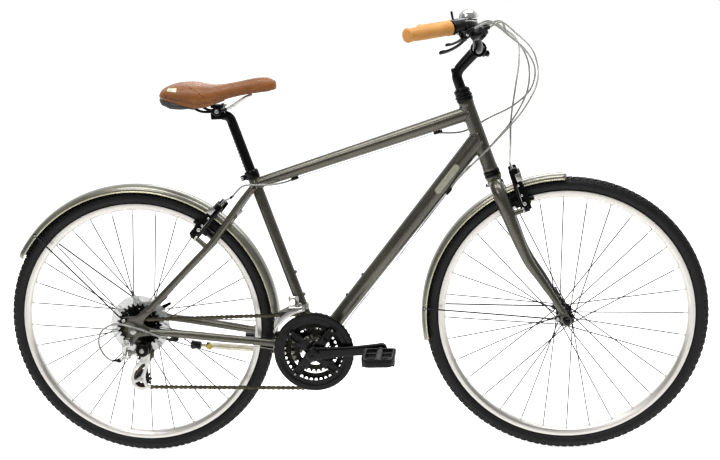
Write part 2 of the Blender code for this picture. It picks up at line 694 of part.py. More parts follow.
def make_lever(sign):
    out, lever, across = control_axes(sign)
    pivot = control_point(sign, *LEVER_PIVOT)
    eye = rod(pivot - across * 0.0040, pivot + across * 0.0040, 0.0060, None, 14)
    route = [control_point(sign, u, w) for u, w in LEVER_ROUTE]
    blade = bent(route, 1, 12, 2, (0.0038, 0.0042, 0.0050, 0.0048, 0.0045, 0.0052))
    return joined(blade, eye)


def make_shift_lever(sign):
    out, lever, across = control_axes(sign)
    away = across * (1 if across.z < 0 else -1)
    pivot = control_point(sign, SHIFT_PIVOT[0], SHIFT_PIVOT[1]) + away * 0.0150
    hub = rod(pivot - away * 0.0036, pivot + away * 0.0030, 0.0080, None, 12)
    tip = pivot - lever * 0.0200 + out * 0.0080 + away * 0.0086
    blade = block((pivot + tip) / 2 + away * 0.0005, ((tip - pivot).length, 0.0110, 0.0040), tip - pivot, away)
    pad = rod(tip + away * 0.0025, tip - away * 0.0020, 0.0075, None, 12)
    return joined(hub, blade, pad), pivot


for side, sign in SIDES.items():
    finish("grip_" + side, make_grip(sign), GRIP_RUBBER, head(0))
    finish("control_" + side, make_control(sign), BLACK_PLASTIC, head(0))
    finish("brake_lever_" + side, make_lever(sign), BLACK_ALLOY, control_point(sign, *LEVER_PIVOT))
    shape, shift_pivot = make_shift_lever(sign)
    finish("shift_lever_" + side, shape, BLACK_PLASTIC, shift_pivot)

# Bell
BELL = at(0.8646, -0.1010, 1.0870)
BELL_RADIUS = 0.0226


def bar_span(y):
    """The two bend points of the bar on either side of one Y."""
    points = [p for p, r in BAR_HALF]
    i = max(k for k in range(len(points) - 1) if points[k].y <= y)
    return points[i], points[i + 1]


def make_bell():
    p, q = (Vector((v.x, -v.y, v.z)) for v in bar_span(0.1130))
    centre = (p + q) / 2
    way = (q - p).normalized()
    bore, wall = BAR_RADIUS + 0.0008, 0.0150
    band = turned([(wall, -0.0055), (wall, 0.0055), (bore, 0.0055), (bore, -0.0055)], centre, way, 14, True)
    up = BELL - centre
    up = (up - way * up.dot(way)).normalized()
    post = rod(centre + up * 0.0143, BELL + Vector((0, 0, -0.0035)), 0.0045, 0.0060, 10)
    dome = turned([(0, -0.0045), (0.0190, -0.0045), (BELL_RADIUS, -0.0010), (BELL_RADIUS, 0.0030), (0.0208, 0.0110),
                   (0.0170, 0.0170), (0.0100, 0.0215), (0, 0.0232)], BELL, (0, 0, 1), 14)
    return joined(band, post, dome)


def make_bell_lever():
    pivot = BELL + Vector((-0.0105, 0.0080, -0.0085))
    hub = rod(pivot - Vector((0, 0, 0.0024)), pivot + Vector((0, 0, 0.0036)), 0.0050, None, 12)
    tip = at(0.8360, -0.0975, pivot.z)
    arm = bent([pivot, pivot.lerp(tip, 0.5), tip, tip + Vector((-0.0065, 0, 0.0075)), tip + Vector((-0.0095, 0, 0.0230))],
               1, 7, 1, (0.0022, 0.0022, 0.0024, 0.0030, 0.0026))
    return joined(hub, arm), pivot


finish("bell", make_bell(), CHROME, head(0))
shape, bell_pivot = make_bell_lever()
finish("bell_lever", shape, BLACK_PLASTIC, bell_pivot)


# Mudguards
def guard_shell(centre, outer, lip, half, start, sweep, steps):
    """A curved strip over the tyre; angles in degrees, from forward over the top."""
    depth = outer - lip
    profile = []
    for i in range(6):
        a = radians(-90 + 36 * i)
        profile.append((lip + depth * cos(a) ** 0.72 if abs(cos(a)) > 0.01 else lip, half * sin(a)))
    mesh = bpy.data.meshes.new("guard")
    mesh.from_pydata([(r, 0, h) for r, h in profile], [(i, i + 1) for i in range(5)], [])
    ob = keep(bpy.data.objects.new("guard", mesh), TOOLS)
    a0 = radians(start)
    ob.matrix_world = (Matrix.Translation(centre)
                       @ basis(Vector((0, -1, 0)), Vector((cos(a0), 0, sin(a0)))).to_4x4())
    screw = ob.modifiers.new("turn", "SCREW")
    screw.axis = "Z"
    screw.angle = radians(sweep)
    screw.steps = steps
    screw.render_steps = steps
    screw.use_merge_vertices = True
    screw.merge_threshold = 0.00001
    solid = ob.modifiers.new("wall", "SOLIDIFY")
    solid.thickness = 0.0014
    solid.offset = 0.0
    solid.use_even_offset = True
    return baked(ob)


REAR_GUARD = (0.3655, 0.3480, 0.0262)
FRONT_GUARD = (0.3592, 0.3450, 0.0262)


def polar(centre, radius, degrees, y=0.0):
    a = radians(degrees)
    return centre + Vector((radius * cos(a), y, radius * sin(a)))


def stay(sign, eye, eye_y, shell_centre, radius, angle, half, lead):
    """One wire stay with its eye, its bolt and its rivet on the guard's side."""
    top = polar(shell_centre, radius, angle, (half - 0.0002) * sign)
    boss = eye + Y_AXIS * eye_y * sign
    loop = disc(boss, 0.0024, 0.0062, 10)
    bolt = disc(boss + Y_AXIS * 0.0026 * sign, 0.0024, 0.0042, 8)
    along = Vector((top.x - boss.x, 0, top.z - boss.z)).normalized()
    wire = tube([boss, boss + along * lead, top], 0.0022, 1)
    rivet = disc(top, 0.0022, 0.0055, 8)
    return [loop, bolt, wire, rivet]


def make_rear_guard():
    outer, lip, half = REAR_GUARD
    shell = guard_shell(REAR, outer, lip, half, 3.2, 145.7, 21)
    eye = REAR + Vector((EYELET[0], 0, EYELET[1]))
    y = DROP_Y + DROPOUT_T / 2 + 0.0008 + GAP + 0.0026
    pieces = []
    for sign in (-1, 1):
        pieces += stay(sign, eye, y, REAR, 0.3525, 136.6, half, 0.018)
    return joined(shell, *pieces)


def make_front_guard():
    outer, lip, half = FRONT_GUARD
    shell = guard_shell(FRONT, outer, lip, half, 88.9, 100.3, 15)
    eye = FRONT + HEAD_FWD * FORK_EYELET[0] + HEAD_UP * FORK_EYELET[1]
    y = FORK_END_Y + FORK_END_T / 2 + 0.0008 + GAP + 0.0026
    pieces = []
    for sign in (-1, 1):
        pieces += stay(sign, eye, y, FRONT, 0.3495, 175.2, half, 0.018)
    tab = block(head(-0.0400, 0.0188), (0.0016, 0.0150, 0.0210), HEAD_FWD, HEAD_UP)
    return joined(shell, *pieces, tab)


finish("rear_mudguard", make_rear_guard(), GUARD_PAINT)
finish("front_mudguard", make_front_guard(), GUARD_PAINT, head(0))

# Wheels
TYRE_PROFILE = ((0.3083, -0.0090), (0.3160, -0.0093), (0.3280, -TYRE_HALF), (0.3405, -0.0155), (TYRE_RADIUS, 0.0),
                (0.3405, 0.0155), (0.3280, TYRE_HALF), (0.3160, 0.0093), (0.3083, 0.0090))
RIM_PROFILE = ((RIM_OUTER, -RIM_HALF), (RIM_OUTER, -0.0096), (0.3079, -0.0096), (0.3079, 0.0096), (RIM_OUTER, 0.0096),
               (RIM_OUTER, RIM_HALF), (RIM_INNER, 0.0075), (RIM_INNER, -0.0075))


def spokes(centre, right, left, hole):
    """Crossed spokes: half from each flange, half of those leading and half trailing."""
    out = []
    per = SPOKES // 2
    step = 2 * pi / per
    for flange, y in enumerate((right, left)):
        for i in range(per):
            lead = 1 if i % 2 == 0 else -1
            a = i * step + flange * step / 2
            b = a + lead * 3 * step
            side = 0.0009 * lead * (-1 if y < 0 else 1)
            start = Vector((hole * cos(a), y + side, hole * sin(a)))
            end_y = 0.0022 if y > 0 else -0.0022
            far = RIM_INNER * cos(pi / RING_STEPS) - 0.0008
            end = Vector((far * cos(b), end_y, far * sin(b)))
            start = start - (end - start).normalized() * 0.0025
            out.append(rod(centre + start, centre + end, SPOKE_RADIUS, None, 3))
    return out


def hub(centre, profile, bore, right, left, hole):
    body = turned(list(profile) + [(bore, profile[-1][1]), (bore, profile[0][1])], centre, (0, 1, 0), 12, True)
    return joined(body, *spokes(centre, right, left, hole))


FRONT_HUB = ((0.0100, -0.0435), (0.0125, -0.0365), (0.0205, -0.0362), (0.0205, -0.0330), (0.0115, -0.0310),
             (0.0115, 0.0310), (0.0205, 0.0330), (0.0205, 0.0362), (0.0125, 0.0365), (0.0100, 0.0435))
REAR_HUB = ((0.0125, -0.0655), (0.0163, -0.0640), (0.0163, -0.0225), (0.0238, -0.0192), (0.0238, -0.0158),
            (0.0145, -0.0130), (0.0145, 0.0300), (0.0235, 0.0330), (0.0235, 0.0362), (0.0125, 0.0380), (0.0115, 0.0590))
finish("front_tyre", turned(TYRE_PROFILE, FRONT, (0, 1, 0), RING_STEPS, True), RUBBER, FRONT)
finish("front_rim", turned(RIM_PROFILE, FRONT, (0, 1, 0), RING_STEPS, True), SILVER, FRONT)
finish("front_hub", hub(FRONT, FRONT_HUB, AXLE_RADIUS + 0.0008, -0.0346, 0.0346, 0.0172), BLACK_ALLOY, FRONT)
finish("rear_tyre", turned(TYRE_PROFILE, REAR, (0, 1, 0), RING_STEPS, True), RUBBER, REAR)
finish("rear_rim", turned(RIM_PROFILE, REAR, (0, 1, 0), RING_STEPS, True), SILVER, REAR)
finish("rear_hub", hub(REAR, REAR_HUB, AXLE_RADIUS + 0.0008, -0.0175, 0.0346, 0.0205), SILVER, REAR)


def make_axle(centre, half, plate_out, inner_right, inner_left):
    """The quick-release axle: rod, locknuts, right nut and left head."""
    r = AXLE_RADIUS
    profile = [(0, -plate_out - 0.0140), (0.0075, -plate_out - 0.0140), (0.0090, -plate_out - 0.0100),
               (0.0092, -plate_out - GAP), (r, -plate_out - GAP), (r, -half), (0.0088, -half),
               (0.0088, -inner_right), (r, -inner_right), (r, inner_left), (0.0088, inner_left), (0.0088, half),
               (r, half), (r, plate_out + GAP), (0.0095, plate_out + GAP), (0.0095, plate_out + 0.0120),
               (0, plate_out + 0.0120)]
    return turned(profile, centre, (0, 1, 0), 10)


def make_quick_release(centre, out, direction):
    """The cam lever, closed along the wheel; it swings out about its barrel."""
    d = Vector(direction).normalized()
    axis = d.cross(Y_AXIS).normalized()
    pivot = centre + Y_AXIS * (out + 0.0120 + 0.0004 + 0.0050)
    barrel = rod(pivot - axis * 0.0080, pivot + axis * 0.0080, 0.0050, None, 14)
    arm = bent([pivot, pivot + d * 0.015 + Y_AXIS * 0.0035, pivot + d * 0.035 + Y_AXIS * 0.0060,
                pivot + d * 0.052 + Y_AXIS * 0.0050], 1, 7, 2, (0.0040, 0.0042, 0.0050, 0.0042))
    return joined(arm, barrel), pivot


FRONT_OUT = FORK_END_Y + FORK_END_T / 2
REAR_OUT = DROP_Y + DROPOUT_T / 2
finish("front_axle", make_axle(FRONT, FRONT_HALF, FRONT_OUT, 0.0440, 0.0440), STEEL, head(0))
finish("rear_axle", make_axle(REAR, REAR_HALF, REAR_OUT, 0.0662, 0.0596), STEEL)
shape, front_qr = make_quick_release(FRONT, FRONT_OUT, (-0.35, 0, 0.94))
finish("front_quick_release", shape, BLACK_ALLOY, front_qr)
shape, rear_qr = make_quick_release(REAR, REAR_OUT, (0.89, 0, 0.45))
finish("rear_quick_release", shape, BLACK_ALLOY, rear_qr)


def make_cassette():
    bore = 0.0168
    profile = [(bore, BIG_COG_Y + 0.0010)]
    for k, teeth in enumerate(COG_TEETH):
        r = pitch_radius(teeth) - 0.0046
        top = BIG_COG_Y + 0.0010 if k == 0 else BIG_COG_Y - COG_PITCH * (k - 1) - 0.0010
        profile.append((r, top))
        profile.append((r, BIG_COG_Y - COG_PITCH * k - 0.0010))
    profile.append((bore, SMALL_COG_Y - 0.0010))
    return turned(profile, REAR, (0, 1, 0), 18, True)


finish("cassette", make_cassette(), DARK_STEEL, REAR)
finish("spoke_protector", turned([(0.0780, -0.0237), (0.0780, -0.0227), (0.0171, -0.0227), (0.0171, -0.0237)],
                                 REAR, (0, 1, 0), 20, True), CLEAR, REAR)

# Cranks
RING_Y = (CHAIN_Y, CHAIN_Y + 0.0075, CHAIN_Y + 0.0150)
BOLT_RADIUS = 0.0520
ARM_IN, ARM_OUT = 0.0702, 0.0832


def crank_dir(sign):
    """From the bottom bracket to the pedal: forward on the right, backward on the left."""
    a = radians(CRANK_RISE)
    return Vector((cos(a), 0, sin(a))) * (-sign)


def crank_arm(sign):
    d = crank_dir(sign)
    up = d.cross(Y_AXIS)
    up = up if up.z > 0 else -up
    outline = arc(0.0190, 90, 270, 7)
    outline += [(0.030, -0.0170), (0.110, -0.0168)]
    outline += arc(0.0152, -80, 80, 7, CRANK_LENGTH, 0.0)
    outline += [(0.110, 0.0168), (0.030, 0.0170)]
    mid = (ARM_IN + ARM_OUT) / 2
    body = plate(outline, ARM_OUT - ARM_IN, BRACKET + Y_AXIS * mid * sign, d, up)
    return body


def make_crank_right():
    d = crank_dir(-1)
    pieces = [crank_arm(-1)]
    pieces.append(turned([(0, 0.0800), (SPINDLE_RADIUS, 0.0800), (SPINDLE_RADIUS, -0.0380), (0.0170, -0.0385),
                          (0.0185, -0.0600), (0.0190, -ARM_OUT - 0.0010), (0.0140, -ARM_OUT - 0.0040),
                          (0, -ARM_OUT - 0.0040)][::-1], BRACKET, (0, 1, 0), 14))
    for k in range(4):
        a = radians(45 + CRANK_RISE + 90 * k)
        w = Vector((cos(a), 0, sin(a)))
        pieces.append(block(BRACKET + w * 0.0440 - Y_AXIS * 0.0655, (0.072, 0.0038, 0.0220), w, w.cross(Y_AXIS)))
    return joined(*pieces)


def left_crank():
    arm = crank_arm(1)
    boss = rod(BRACKET + Y_AXIS * 0.0400, BRACKET + Y_AXIS * (ARM_OUT + 0.0035), 0.0155, 0.0175, 14)
    body = joined(arm, boss)
    return cut(body, rod(BRACKET + Y_AXIS * 0.0300, BRACKET + Y_AXIS * 0.0804, SPINDLE_RADIUS + GAP, None, 14))


def make_rings():
    pieces = []
    inner = (0.0800, 0.0600, 0.0400)
    for k, teeth in enumerate(RING_TEETH):
        root = pitch_radius(teeth) - CHAIN_HALF_HEIGHT - 0.0004
        y = RING_Y[k]
        pieces.append(turned([(root, y - 0.0012), (root, y + 0.0012), (inner[k], y + 0.0012), (inner[k], y - 0.0012)],
                             BRACKET, (0, 1, 0), 30 - 6 * k, True))
    for k in range(4):
        a = radians(45 + CRANK_RISE + 90 * k)
        w = Vector((cos(a), 0, sin(a)))
        side = w.cross(Y_AXIS)
        reach = (BOLT_RADIUS - 0.0060, inner[0] + 0.0030)
        pieces.append(block(BRACKET + w * sum(reach) / 2 + Y_AXIS * RING_Y[0], (reach[1] - reach[0], 0.0022, 0.0180),
                            w, side))
        depth = RING_Y[2] - RING_Y[0] + 0.0030
        post = BRACKET + w * (BOLT_RADIUS + 0.0010) + Y_AXIS * (RING_Y[0] + RING_Y[2]) / 2
        pieces.append(block(post, (0.0180, depth, 0.0100), w, side))
    return joined(*pieces)


def make_guard_ring():
    half = 0.0012
    body = turned([(GUARD_RADIUS, GUARD_Y - half), (GUARD_RADIUS, GUARD_Y + half), (0.0745, GUARD_Y + half),
                   (0.0745, GUARD_Y - half)], BRACKET, (0, 1, 0), 32, True)
    tabs = []
    for k in range(4):
        a = radians(45 + CRANK_RISE + 90 * k)
        w = Vector((cos(a), 0, sin(a)))
        tabs.append(block(BRACKET + w * 0.0710 + Y_AXIS * GUARD_Y, (0.014, 0.0022, 0.0240), w, w.cross(Y_AXIS)))
    return joined(body, *tabs)


def make_pedal(sign):
    centre = BRACKET + crank_dir(sign) * CRANK_LENGTH
    inner, outer = 0.1000, 0.1960
    axle = rod(centre + Y_AXIS * (ARM_OUT + GAP) * sign, centre + Y_AXIS * (inner + 0.002) * sign, 0.0062, 0.0075, 12)
    barrel = rod(centre + Y_AXIS * inner * sign, centre + Y_AXIS * (outer - 0.004) * sign, 0.0105, 0.0095, 12)
    cage = []
    for dx in (-0.0365, 0.0365):
        cage.append(block(centre + Vector((dx, (inner + outer) / 2 * sign, 0)), (0.0070, outer - inner, 0.0220)))
    for y in (inner + 0.0030, outer - 0.0030):
        cage.append(block(centre + Vector((0, y * sign, 0)), (0.0740, 0.0060, 0.0180)))
    return joined(barrel, axle, *cage), centre


finish("crank_right", make_crank_right(), BLACK_ALLOY, BRACKET)
finish("crank_left", left_crank(), BLACK_ALLOY, BRACKET)
finish("chainrings", make_rings(), DARK_STEEL, BRACKET)
finish("chain_guard", make_guard_ring(), BLACK_PLASTIC, BRACKET)
for side, sign in SIDES.items():
    shape, pedal_at = make_pedal(sign)
    finish("pedal_" + side, shape, BLACK_PLASTIC, pedal_at)

# Rear mech
KNUCKLE = at(0.0220, 0, 0.3011)
TENSION = at(0.0064, 0, 0.2169)
GUIDE = KNUCKLE + Vector((-0.0065, 0, -0.0140))
PULLEY_TEETH = 11
PULLEY_R = pitch_radius(PULLEY_TEETH) - CHAIN_HALF_HEIGHT - 0.0004
LINK_LENGTH = 0.0450
LINK_HALF = radians(29.0)
SLANT = Vector((0, 0.75, -0.66)).normalized()
LINK_AXIS = Vector((1, 0, 0)).cross(SLANT).normalized()
KNUCKLE_Y = -0.0925
LINK_END = KNUCKLE + Y_AXIS * KNUCKLE_Y
LINK_START = LINK_END - (Vector((cos(LINK_HALF), 0, 0)) - SLANT * sin(LINK_HALF)) * LINK_LENGTH
HANGER_BOLT = at(-0.0185, 0, 0.3189)


def make_upper_knuckle():
    y0 = -(REAR_OUT + GAP)
    bolt = rod(HANGER_BOLT + Y_AXIS * y0, HANGER_BOLT + Y_AXIS * (y0 - 0.0170), 0.0105, 0.0100, 14)
    head_bolt = rod(HANGER_BOLT + Y_AXIS * (y0 - 0.0160), HANGER_BOLT + Y_AXIS * (y0 - 0.0190), 0.0055, None, 6)
    spine = LINK_START + Vector((-0.0125, 0, 0))
    back = block(spine, (0.0080, 0.0100, 0.0230), (1, 0, 0), LINK_AXIS)
    ears = [block(LINK_START + Vector((-0.0045, 0, 0)) + LINK_AXIS * d, (0.0180, 0.0090, 0.0044), (1, 0, 0), LINK_AXIS)
            for d in (-0.0091, 0.0091)]
    pin = rod(LINK_START - LINK_AXIS * 0.0100, LINK_START + LINK_AXIS * 0.0100, 0.0023, None, 8)
    lug = bent([HANGER_BOLT + Y_AXIS * (y0 - 0.0105), HANGER_BOLT + Vector((-0.0090, y0 - 0.0090, -0.0140)), spine], 1, 4, 1,
               (0.0062, 0.0056, 0.0050))
    barrel = rod(spine + Vector((0.0, -0.001, -0.003)), at(-0.0396, -0.0850, 0.2735), 0.0044, 0.0056, 8)
    tip = rod(at(-0.0390, -0.0850, 0.2736), at(-0.0500, -0.0851, 0.2734), 0.0048, 0.0040, 8)
    return joined(bolt, head_bolt, lug, back, *ears, pin, barrel, tip)


def make_link():
    a, b = LINK_START, LINK_END
    along = (b - a).normalized()
    eyes = []
    for p in (a, b):
        eyes.append(rod(p - LINK_AXIS * 0.0060, p + LINK_AXIS * 0.0060, 0.0056, None, 12))
    web = block((a + b) / 2, ((b - a).length, 0.0052, 0.0112), along, LINK_AXIS)
    body = joined(web, *eyes)
    holes = [rod(p - LINK_AXIS * 0.02, p + LINK_AXIS * 0.02, 0.0028, None, 8) for p in (a, b)]
    return cut(body, *holes)


CAGE_OUTER_Y = SMALL_COG_Y - 0.0058
CAGE_INNER_Y = SMALL_COG_Y + 0.0058


def make_lower_knuckle():
    y1 = CAGE_OUTER_Y - 0.0008 - GAP
    drum = rod(KNUCKLE + Y_AXIS * y1, KNUCKLE + Y_AXIS * (y1 - 0.0300), 0.0190, 0.0165, 18)
    fan = [(0.0085, -0.0060), (0.0085, 0.0060), (0.0030, 0.0105), (-0.0400, 0.0360), (-0.0400, -0.0360), (0.0030, -0.0105)]
    room = plate(fan, 0.0134, LINK_END, (1, 0, 0), LINK_AXIS.cross(Vector((1, 0, 0))))
    body = cut(drum, room)
    pin = rod(LINK_END - LINK_AXIS * 0.0085, LINK_END + LINK_AXIS * 0.0085, 0.0023, None, 8)
    return joined(body, pin)


def make_cage():
    pieces = []
    t, k = TENSION - KNUCKLE, GUIDE - KNUCKLE
    outer = []
    outer += arc(0.0290, 175, 365, 13, t.x, t.z)
    outer += [(0.0250, -0.0560), (0.0190, -0.0300)]
    outer += arc(0.0150, -10, 170, 9, 0.0, 0.0)
    outer += [(-0.0180, -0.0200), (-0.0300, -0.0500)]
    inner = []
    inner += arc(0.0130, 180, 360, 9, t.x, t.z)
    inner += arc(0.0120, 0, 180, 9, k.x, k.z)
    pieces.append(plate(outer, 0.0016, KNUCKLE + Y_AXIS * CAGE_OUTER_Y))
    pieces.append(plate(inner, 0.0016, KNUCKLE + Y_AXIS * CAGE_INNER_Y))
    for p in (TENSION, GUIDE):
        pieces.append(rod(p + Y_AXIS * (CAGE_OUTER_Y - 0.0006), p + Y_AXIS * (CAGE_INNER_Y + 0.0016), 0.0032, None, 12))
    return joined(*pieces)


def make_pulley(centre):
    y = SMALL_COG_Y
    half = 0.0022
    return turned([(PULLEY_R, y - half), (PULLEY_R, y + half), (0.0037, y + half), (0.0037, y - half)], centre,
                  (0, 1, 0), 20, True)


finish("rear_mech_hanger", make_upper_knuckle(), SILVER)
finish("rear_mech_link", make_link(), SILVER, LINK_START)
finish("rear_mech_knuckle", make_lower_knuckle(), DARK_STEEL, LINK_END)
finish("rear_mech_cage", make_cage(), SILVER, KNUCKLE + Y_AXIS * CAGE_OUTER_Y)
finish("guide_pulley", make_pulley(GUIDE), BLACK_PLASTIC, GUIDE + Y_AXIS * SMALL_COG_Y)
finish("tension_pulley", make_pulley(TENSION), BLACK_PLASTIC, TENSION + Y_AXIS * SMALL_COG_Y)


# Chain: the tangent path round the big ring, the tension pulley, the guide pulley and the smallest cog
def tangent(c0, r0, s0, c1, r1, s1):
    """Touching points of the line between two circles; s is +1 for a circle run anticlockwise."""
    d = c1 - c0
    length = d.length
    base = atan2(d.y, d.x)
    k = (s0 * r0 - s1 * r1) / length
    a = base - (pi / 2) + asin(max(-1, min(1, k)))
    n = Vector((cos(a), sin(a)))
    return c0 + n * r0 * s0, c1 + n * r1 * s1


def chain_route():
    """Centre line points with their planes, anticlockwise seen from the left."""
    flat = [Vector((p.x, p.z)) for p in (BRACKET, REAR, GUIDE, TENSION)]
    radii = [pitch_radius(RING_TEETH[0]), pitch_radius(COG_TEETH[-1]), pitch_radius(PULLEY_TEETH),
             pitch_radius(PULLEY_TEETH)]
    turn = [1, 1, -1, 1]
    planes = [CHAIN_Y, SMALL_COG_Y, SMALL_COG_Y, SMALL_COG_Y]
    n = len(flat)
    ends = []
    for i in range(n):
        j = (i + 1) % n
        ends.append(tangent(flat[i], radii[i], turn[i], flat[j], radii[j], turn[j]))
    out = []
    for i in range(n):
        arrive = ends[i - 1][1]
        leave = ends[i][0]
        a0 = atan2(*(arrive - flat[i]).yx)
        a1 = atan2(*(leave - flat[i]).yx)
        sweep = (a1 - a0) * turn[i]
        sweep = sweep % (2 * pi)
        steps = max(3, int(ceil(sweep / radians(15))))
        for k in range(steps + 1):
            a = a0 + turn[i] * sweep * k / steps
            p = flat[i] + Vector((cos(a), sin(a))) * radii[i] / cos(sweep / steps / 2)
            normal = Vector((cos(a), sin(a))) * turn[i]
            out.append((p, normal, planes[i]))
    return out


def make_chain():
    bm = bmesh.new()
    rows = []
    for p, normal, y in chain_route():
        row = []
        for dn, dy in ((-1, -1), (1, -1), (1, 1), (-1, 1)):
            q = p + normal * CHAIN_HALF_HEIGHT * dn
            row.append(bm.verts.new((q.x, y + dy * CHAIN_HALF_WIDTH, q.y)))
        rows.append(row)
    for i in range(len(rows)):
        a, b = rows[i - 1], rows[i]
        for k in range(4):
            bm.faces.new((a[k], a[(k + 1) % 4], b[(k + 1) % 4], b[k]))
    return from_bmesh(bm)


finish("chain", make_chain(), DARK_STEEL)

# Front mech
FRONT_MECH_S = 0.1060
SWING = at(0.4040, -0.0330, 0.4140)


def make_front_mech_body():
    band = turned([(SEAT_TUBE_RADIUS + 0.0034, -0.0065), (SEAT_TUBE_RADIUS + 0.0034, 0.0065),
                   (SEAT_TUBE_RADIUS + GAP, 0.0065), (SEAT_TUBE_RADIUS + GAP, -0.0065)],
                  seat(FRONT_MECH_S), SEAT_UP, 20, True)
    arm = block(at(0.4160, -0.0212, 0.3880), (0.018, 0.0124, 0.020), SEAT_FWD, SEAT_UP)
    riser = block(at(0.4050, -0.0230, 0.4040), (0.024, 0.0070, 0.026))
    pin = rod(SWING + Vector((-0.0110, 0, 0)), SWING + Vector((0.0110, 0, 0)), 0.0022, None, 8)
    ears = [block(SWING + Vector((dx, 0.0040, -0.001)), (0.0030, 0.0140, 0.0100)) for dx in (-0.0095, 0.0095)]
    return joined(band, arm, riser, *ears, pin)


def make_front_cage():
    b = BRACKET
    low = arc(0.1090, 98, 152, 12)
    outer = low + [(-0.1025, 0.0560), (-0.1000, 0.0840), (-0.0870, 0.1060), (-0.0560, 0.1190), (-0.0180, 0.1190)]
    inner = arc(0.1090, 100, 150, 10) + [(-0.1005, 0.0600), (-0.0985, 0.0800), (-0.0860, 0.1040), (-0.0560, 0.1190),
                                         (-0.0200, 0.1190)]
    pieces = [plate(outer, 0.0014, b - Y_AXIS * 0.0662), plate(inner, 0.0014, b - Y_AXIS * 0.0484)]
    pieces.append(block(b + Vector((-0.0400, -0.0573, 0.1170)), (0.034, 0.0186, 0.0030)))
    pieces.append(rod(b + Vector((-0.0950, -0.0660, 0.0640)), b + Vector((-0.0950, -0.0486, 0.0640)), 0.0020, None, 8))
    hang = turned([(0.0060, -0.0070), (0.0060, 0.0070), (0.0028, 0.0070), (0.0028, -0.0070)], SWING, (1, 0, 0), 12, True)
    foot = b + Vector((-0.0500, -0.0500, 0.1170))
    way = (foot - SWING).normalized()
    start = SWING + way * 0.0042
    web = block(start.lerp(foot, 0.5), (0.0130, 0.0050, (foot - start).length), (1, 0, 0), way)
    return joined(*pieces, hang, web)


finish("front_mech_body", make_front_mech_body(), SILVER)
finish("front_mech_cage", make_front_cage(), CHROME, SWING)


# V-brakes
def make_brake(base, up, back, sign, pivot_y, pad_rise, top_rise, guard_half):
    """One arm in the brake's plane: pivot at the base, pad holder beside the rim."""
    def p(rise, y, depth):
        return base + up * rise + back * depth + Y_AXIS * y * sign

    front = BRAKE_SET
    lower = pivot_y
    arm = bent([p(0, lower, front + 0.006), p(pad_rise, lower - 0.0025, front + 0.006),
                p(pad_rise + 0.030, 0.0385, front + 0.006), p(top_rise * 0.75, 0.0385, front + 0.006),
                p(top_rise, 0.0330, front + 0.006)], 1, 6, 1, (0.0058, 0.0056, 0.0050, 0.0046, 0.0048))
    eye = rod(p(0, lower, front - 0.0035), p(0, lower, front + 0.0130), 0.0075, 0.0068, 10)
    bolt = rod(p(0, lower, front + 0.0120), p(0, lower, front + 0.0165), 0.0045, None, 8)
    stud = rod(p(pad_rise, 0.0195, front + 0.006), p(pad_rise, lower + 0.0080, front + 0.006), 0.0034, None, 8)
    holder = block(p(pad_rise, 0.0185, front - 0.0020), (0.066, 0.0090, 0.0095), back, up)
    tip = rod(p(top_rise, 0.0330, front + 0.006), p(top_rise + 0.001, 0.0180, front + 0.006), 0.0042, 0.0038, 8)
    return joined(arm, eye, bolt, stud, holder, tip)


FRONT_BRAKE = head(BRAKE_PIVOT_S, 0.004)
REAR_BRAKE = stay_point(BRAKE_RADIUS)
for side, sign in SIDES.items():
    finish("front_brake_arm_" + side, make_brake(FRONT_BRAKE, HEAD_UP, HEAD_FWD, sign, 0.0450, 0.0150, 0.0985, 0.0262),
           BLACK_ALLOY, FRONT_BRAKE + Y_AXIS * 0.0450 * sign)
    finish("rear_brake_arm_" + side, make_brake(REAR_BRAKE, STAY_UP, STAY_BACK, sign, 0.0440, 0.0230, 0.0985, 0.0262),
           BLACK_ALLOY, REAR_BRAKE + Y_AXIS * 0.0440 * sign)

# Seat post and saddle
TILT = at(0.2421, 0, 0.8905)


def make_post():
    stem = rod(seat(0.2900), seat(0.6050), POST_RADIUS, None, 14)
    neck = bent([seat(0.6000), seat(0.6180, -0.0010), seat(0.6270, -0.0080), seat(0.6300, -0.0150)], 1, 5, 2,
                (0.0126, 0.0126, 0.0120, 0.0110))
    cradle = block(TILT + Vector((0, 0, -0.0120)), (0.0380, 0.0320, 0.0200), (1, 0, 0), (0, 0, 1), 0.002)
    body = joined(stem, neck, cradle)
    return cut(body, disc(TILT, 0.04, 0.0130, 12))


def saddle_rows():
    """X, half width, crown, side and lower edge heights of the cushion's sections."""
    return ((0.1050, 0.0420, 0.9420, 0.9340, 0.9270), (0.1140, 0.0640, 0.9530, 0.9360, 0.9210),
            (0.1320, 0.0770, 0.9610, 0.9370, 0.9150), (0.1560, 0.0835, 0.9650, 0.9360, 0.9095),
            (0.1840, 0.0825, 0.9645, 0.9330, 0.9050), (0.2080, 0.0730, 0.9600, 0.9290, 0.9035),
            (0.2280, 0.0590, 0.9560, 0.9290, 0.9060), (0.2480, 0.0450, 0.9555, 0.9320, 0.9130),
            (0.2700, 0.0355, 0.9570, 0.9350, 0.9200), (0.2960, 0.0295, 0.9605, 0.9380, 0.9255),
            (0.3240, 0.0255, 0.9650, 0.9410, 0.9295), (0.3500, 0.0230, 0.9680, 0.9430, 0.9320),
            (0.3730, 0.0200, 0.9665, 0.9440, 0.9345), (0.3870, 0.0130, 0.9590, 0.9450, 0.9370))


UNDER = 0.0110
BASE_SET = 0.0150


def loft(rows):
    """A closed solid through rows of points, with flat ends."""
    bm = bmesh.new()
    rings = [[bm.verts.new(p) for p in row] for row in rows]
    n = len(rows[0])
    for a, b in zip(rings, rings[1:]):
        for k in range(n):
            bm.faces.new((a[k], a[(k + 1) % n], b[(k + 1) % n], b[k]))
    bm.faces.new(rings[0])
    bm.faces.new(list(reversed(rings[-1])))
    return from_bmesh(bm)


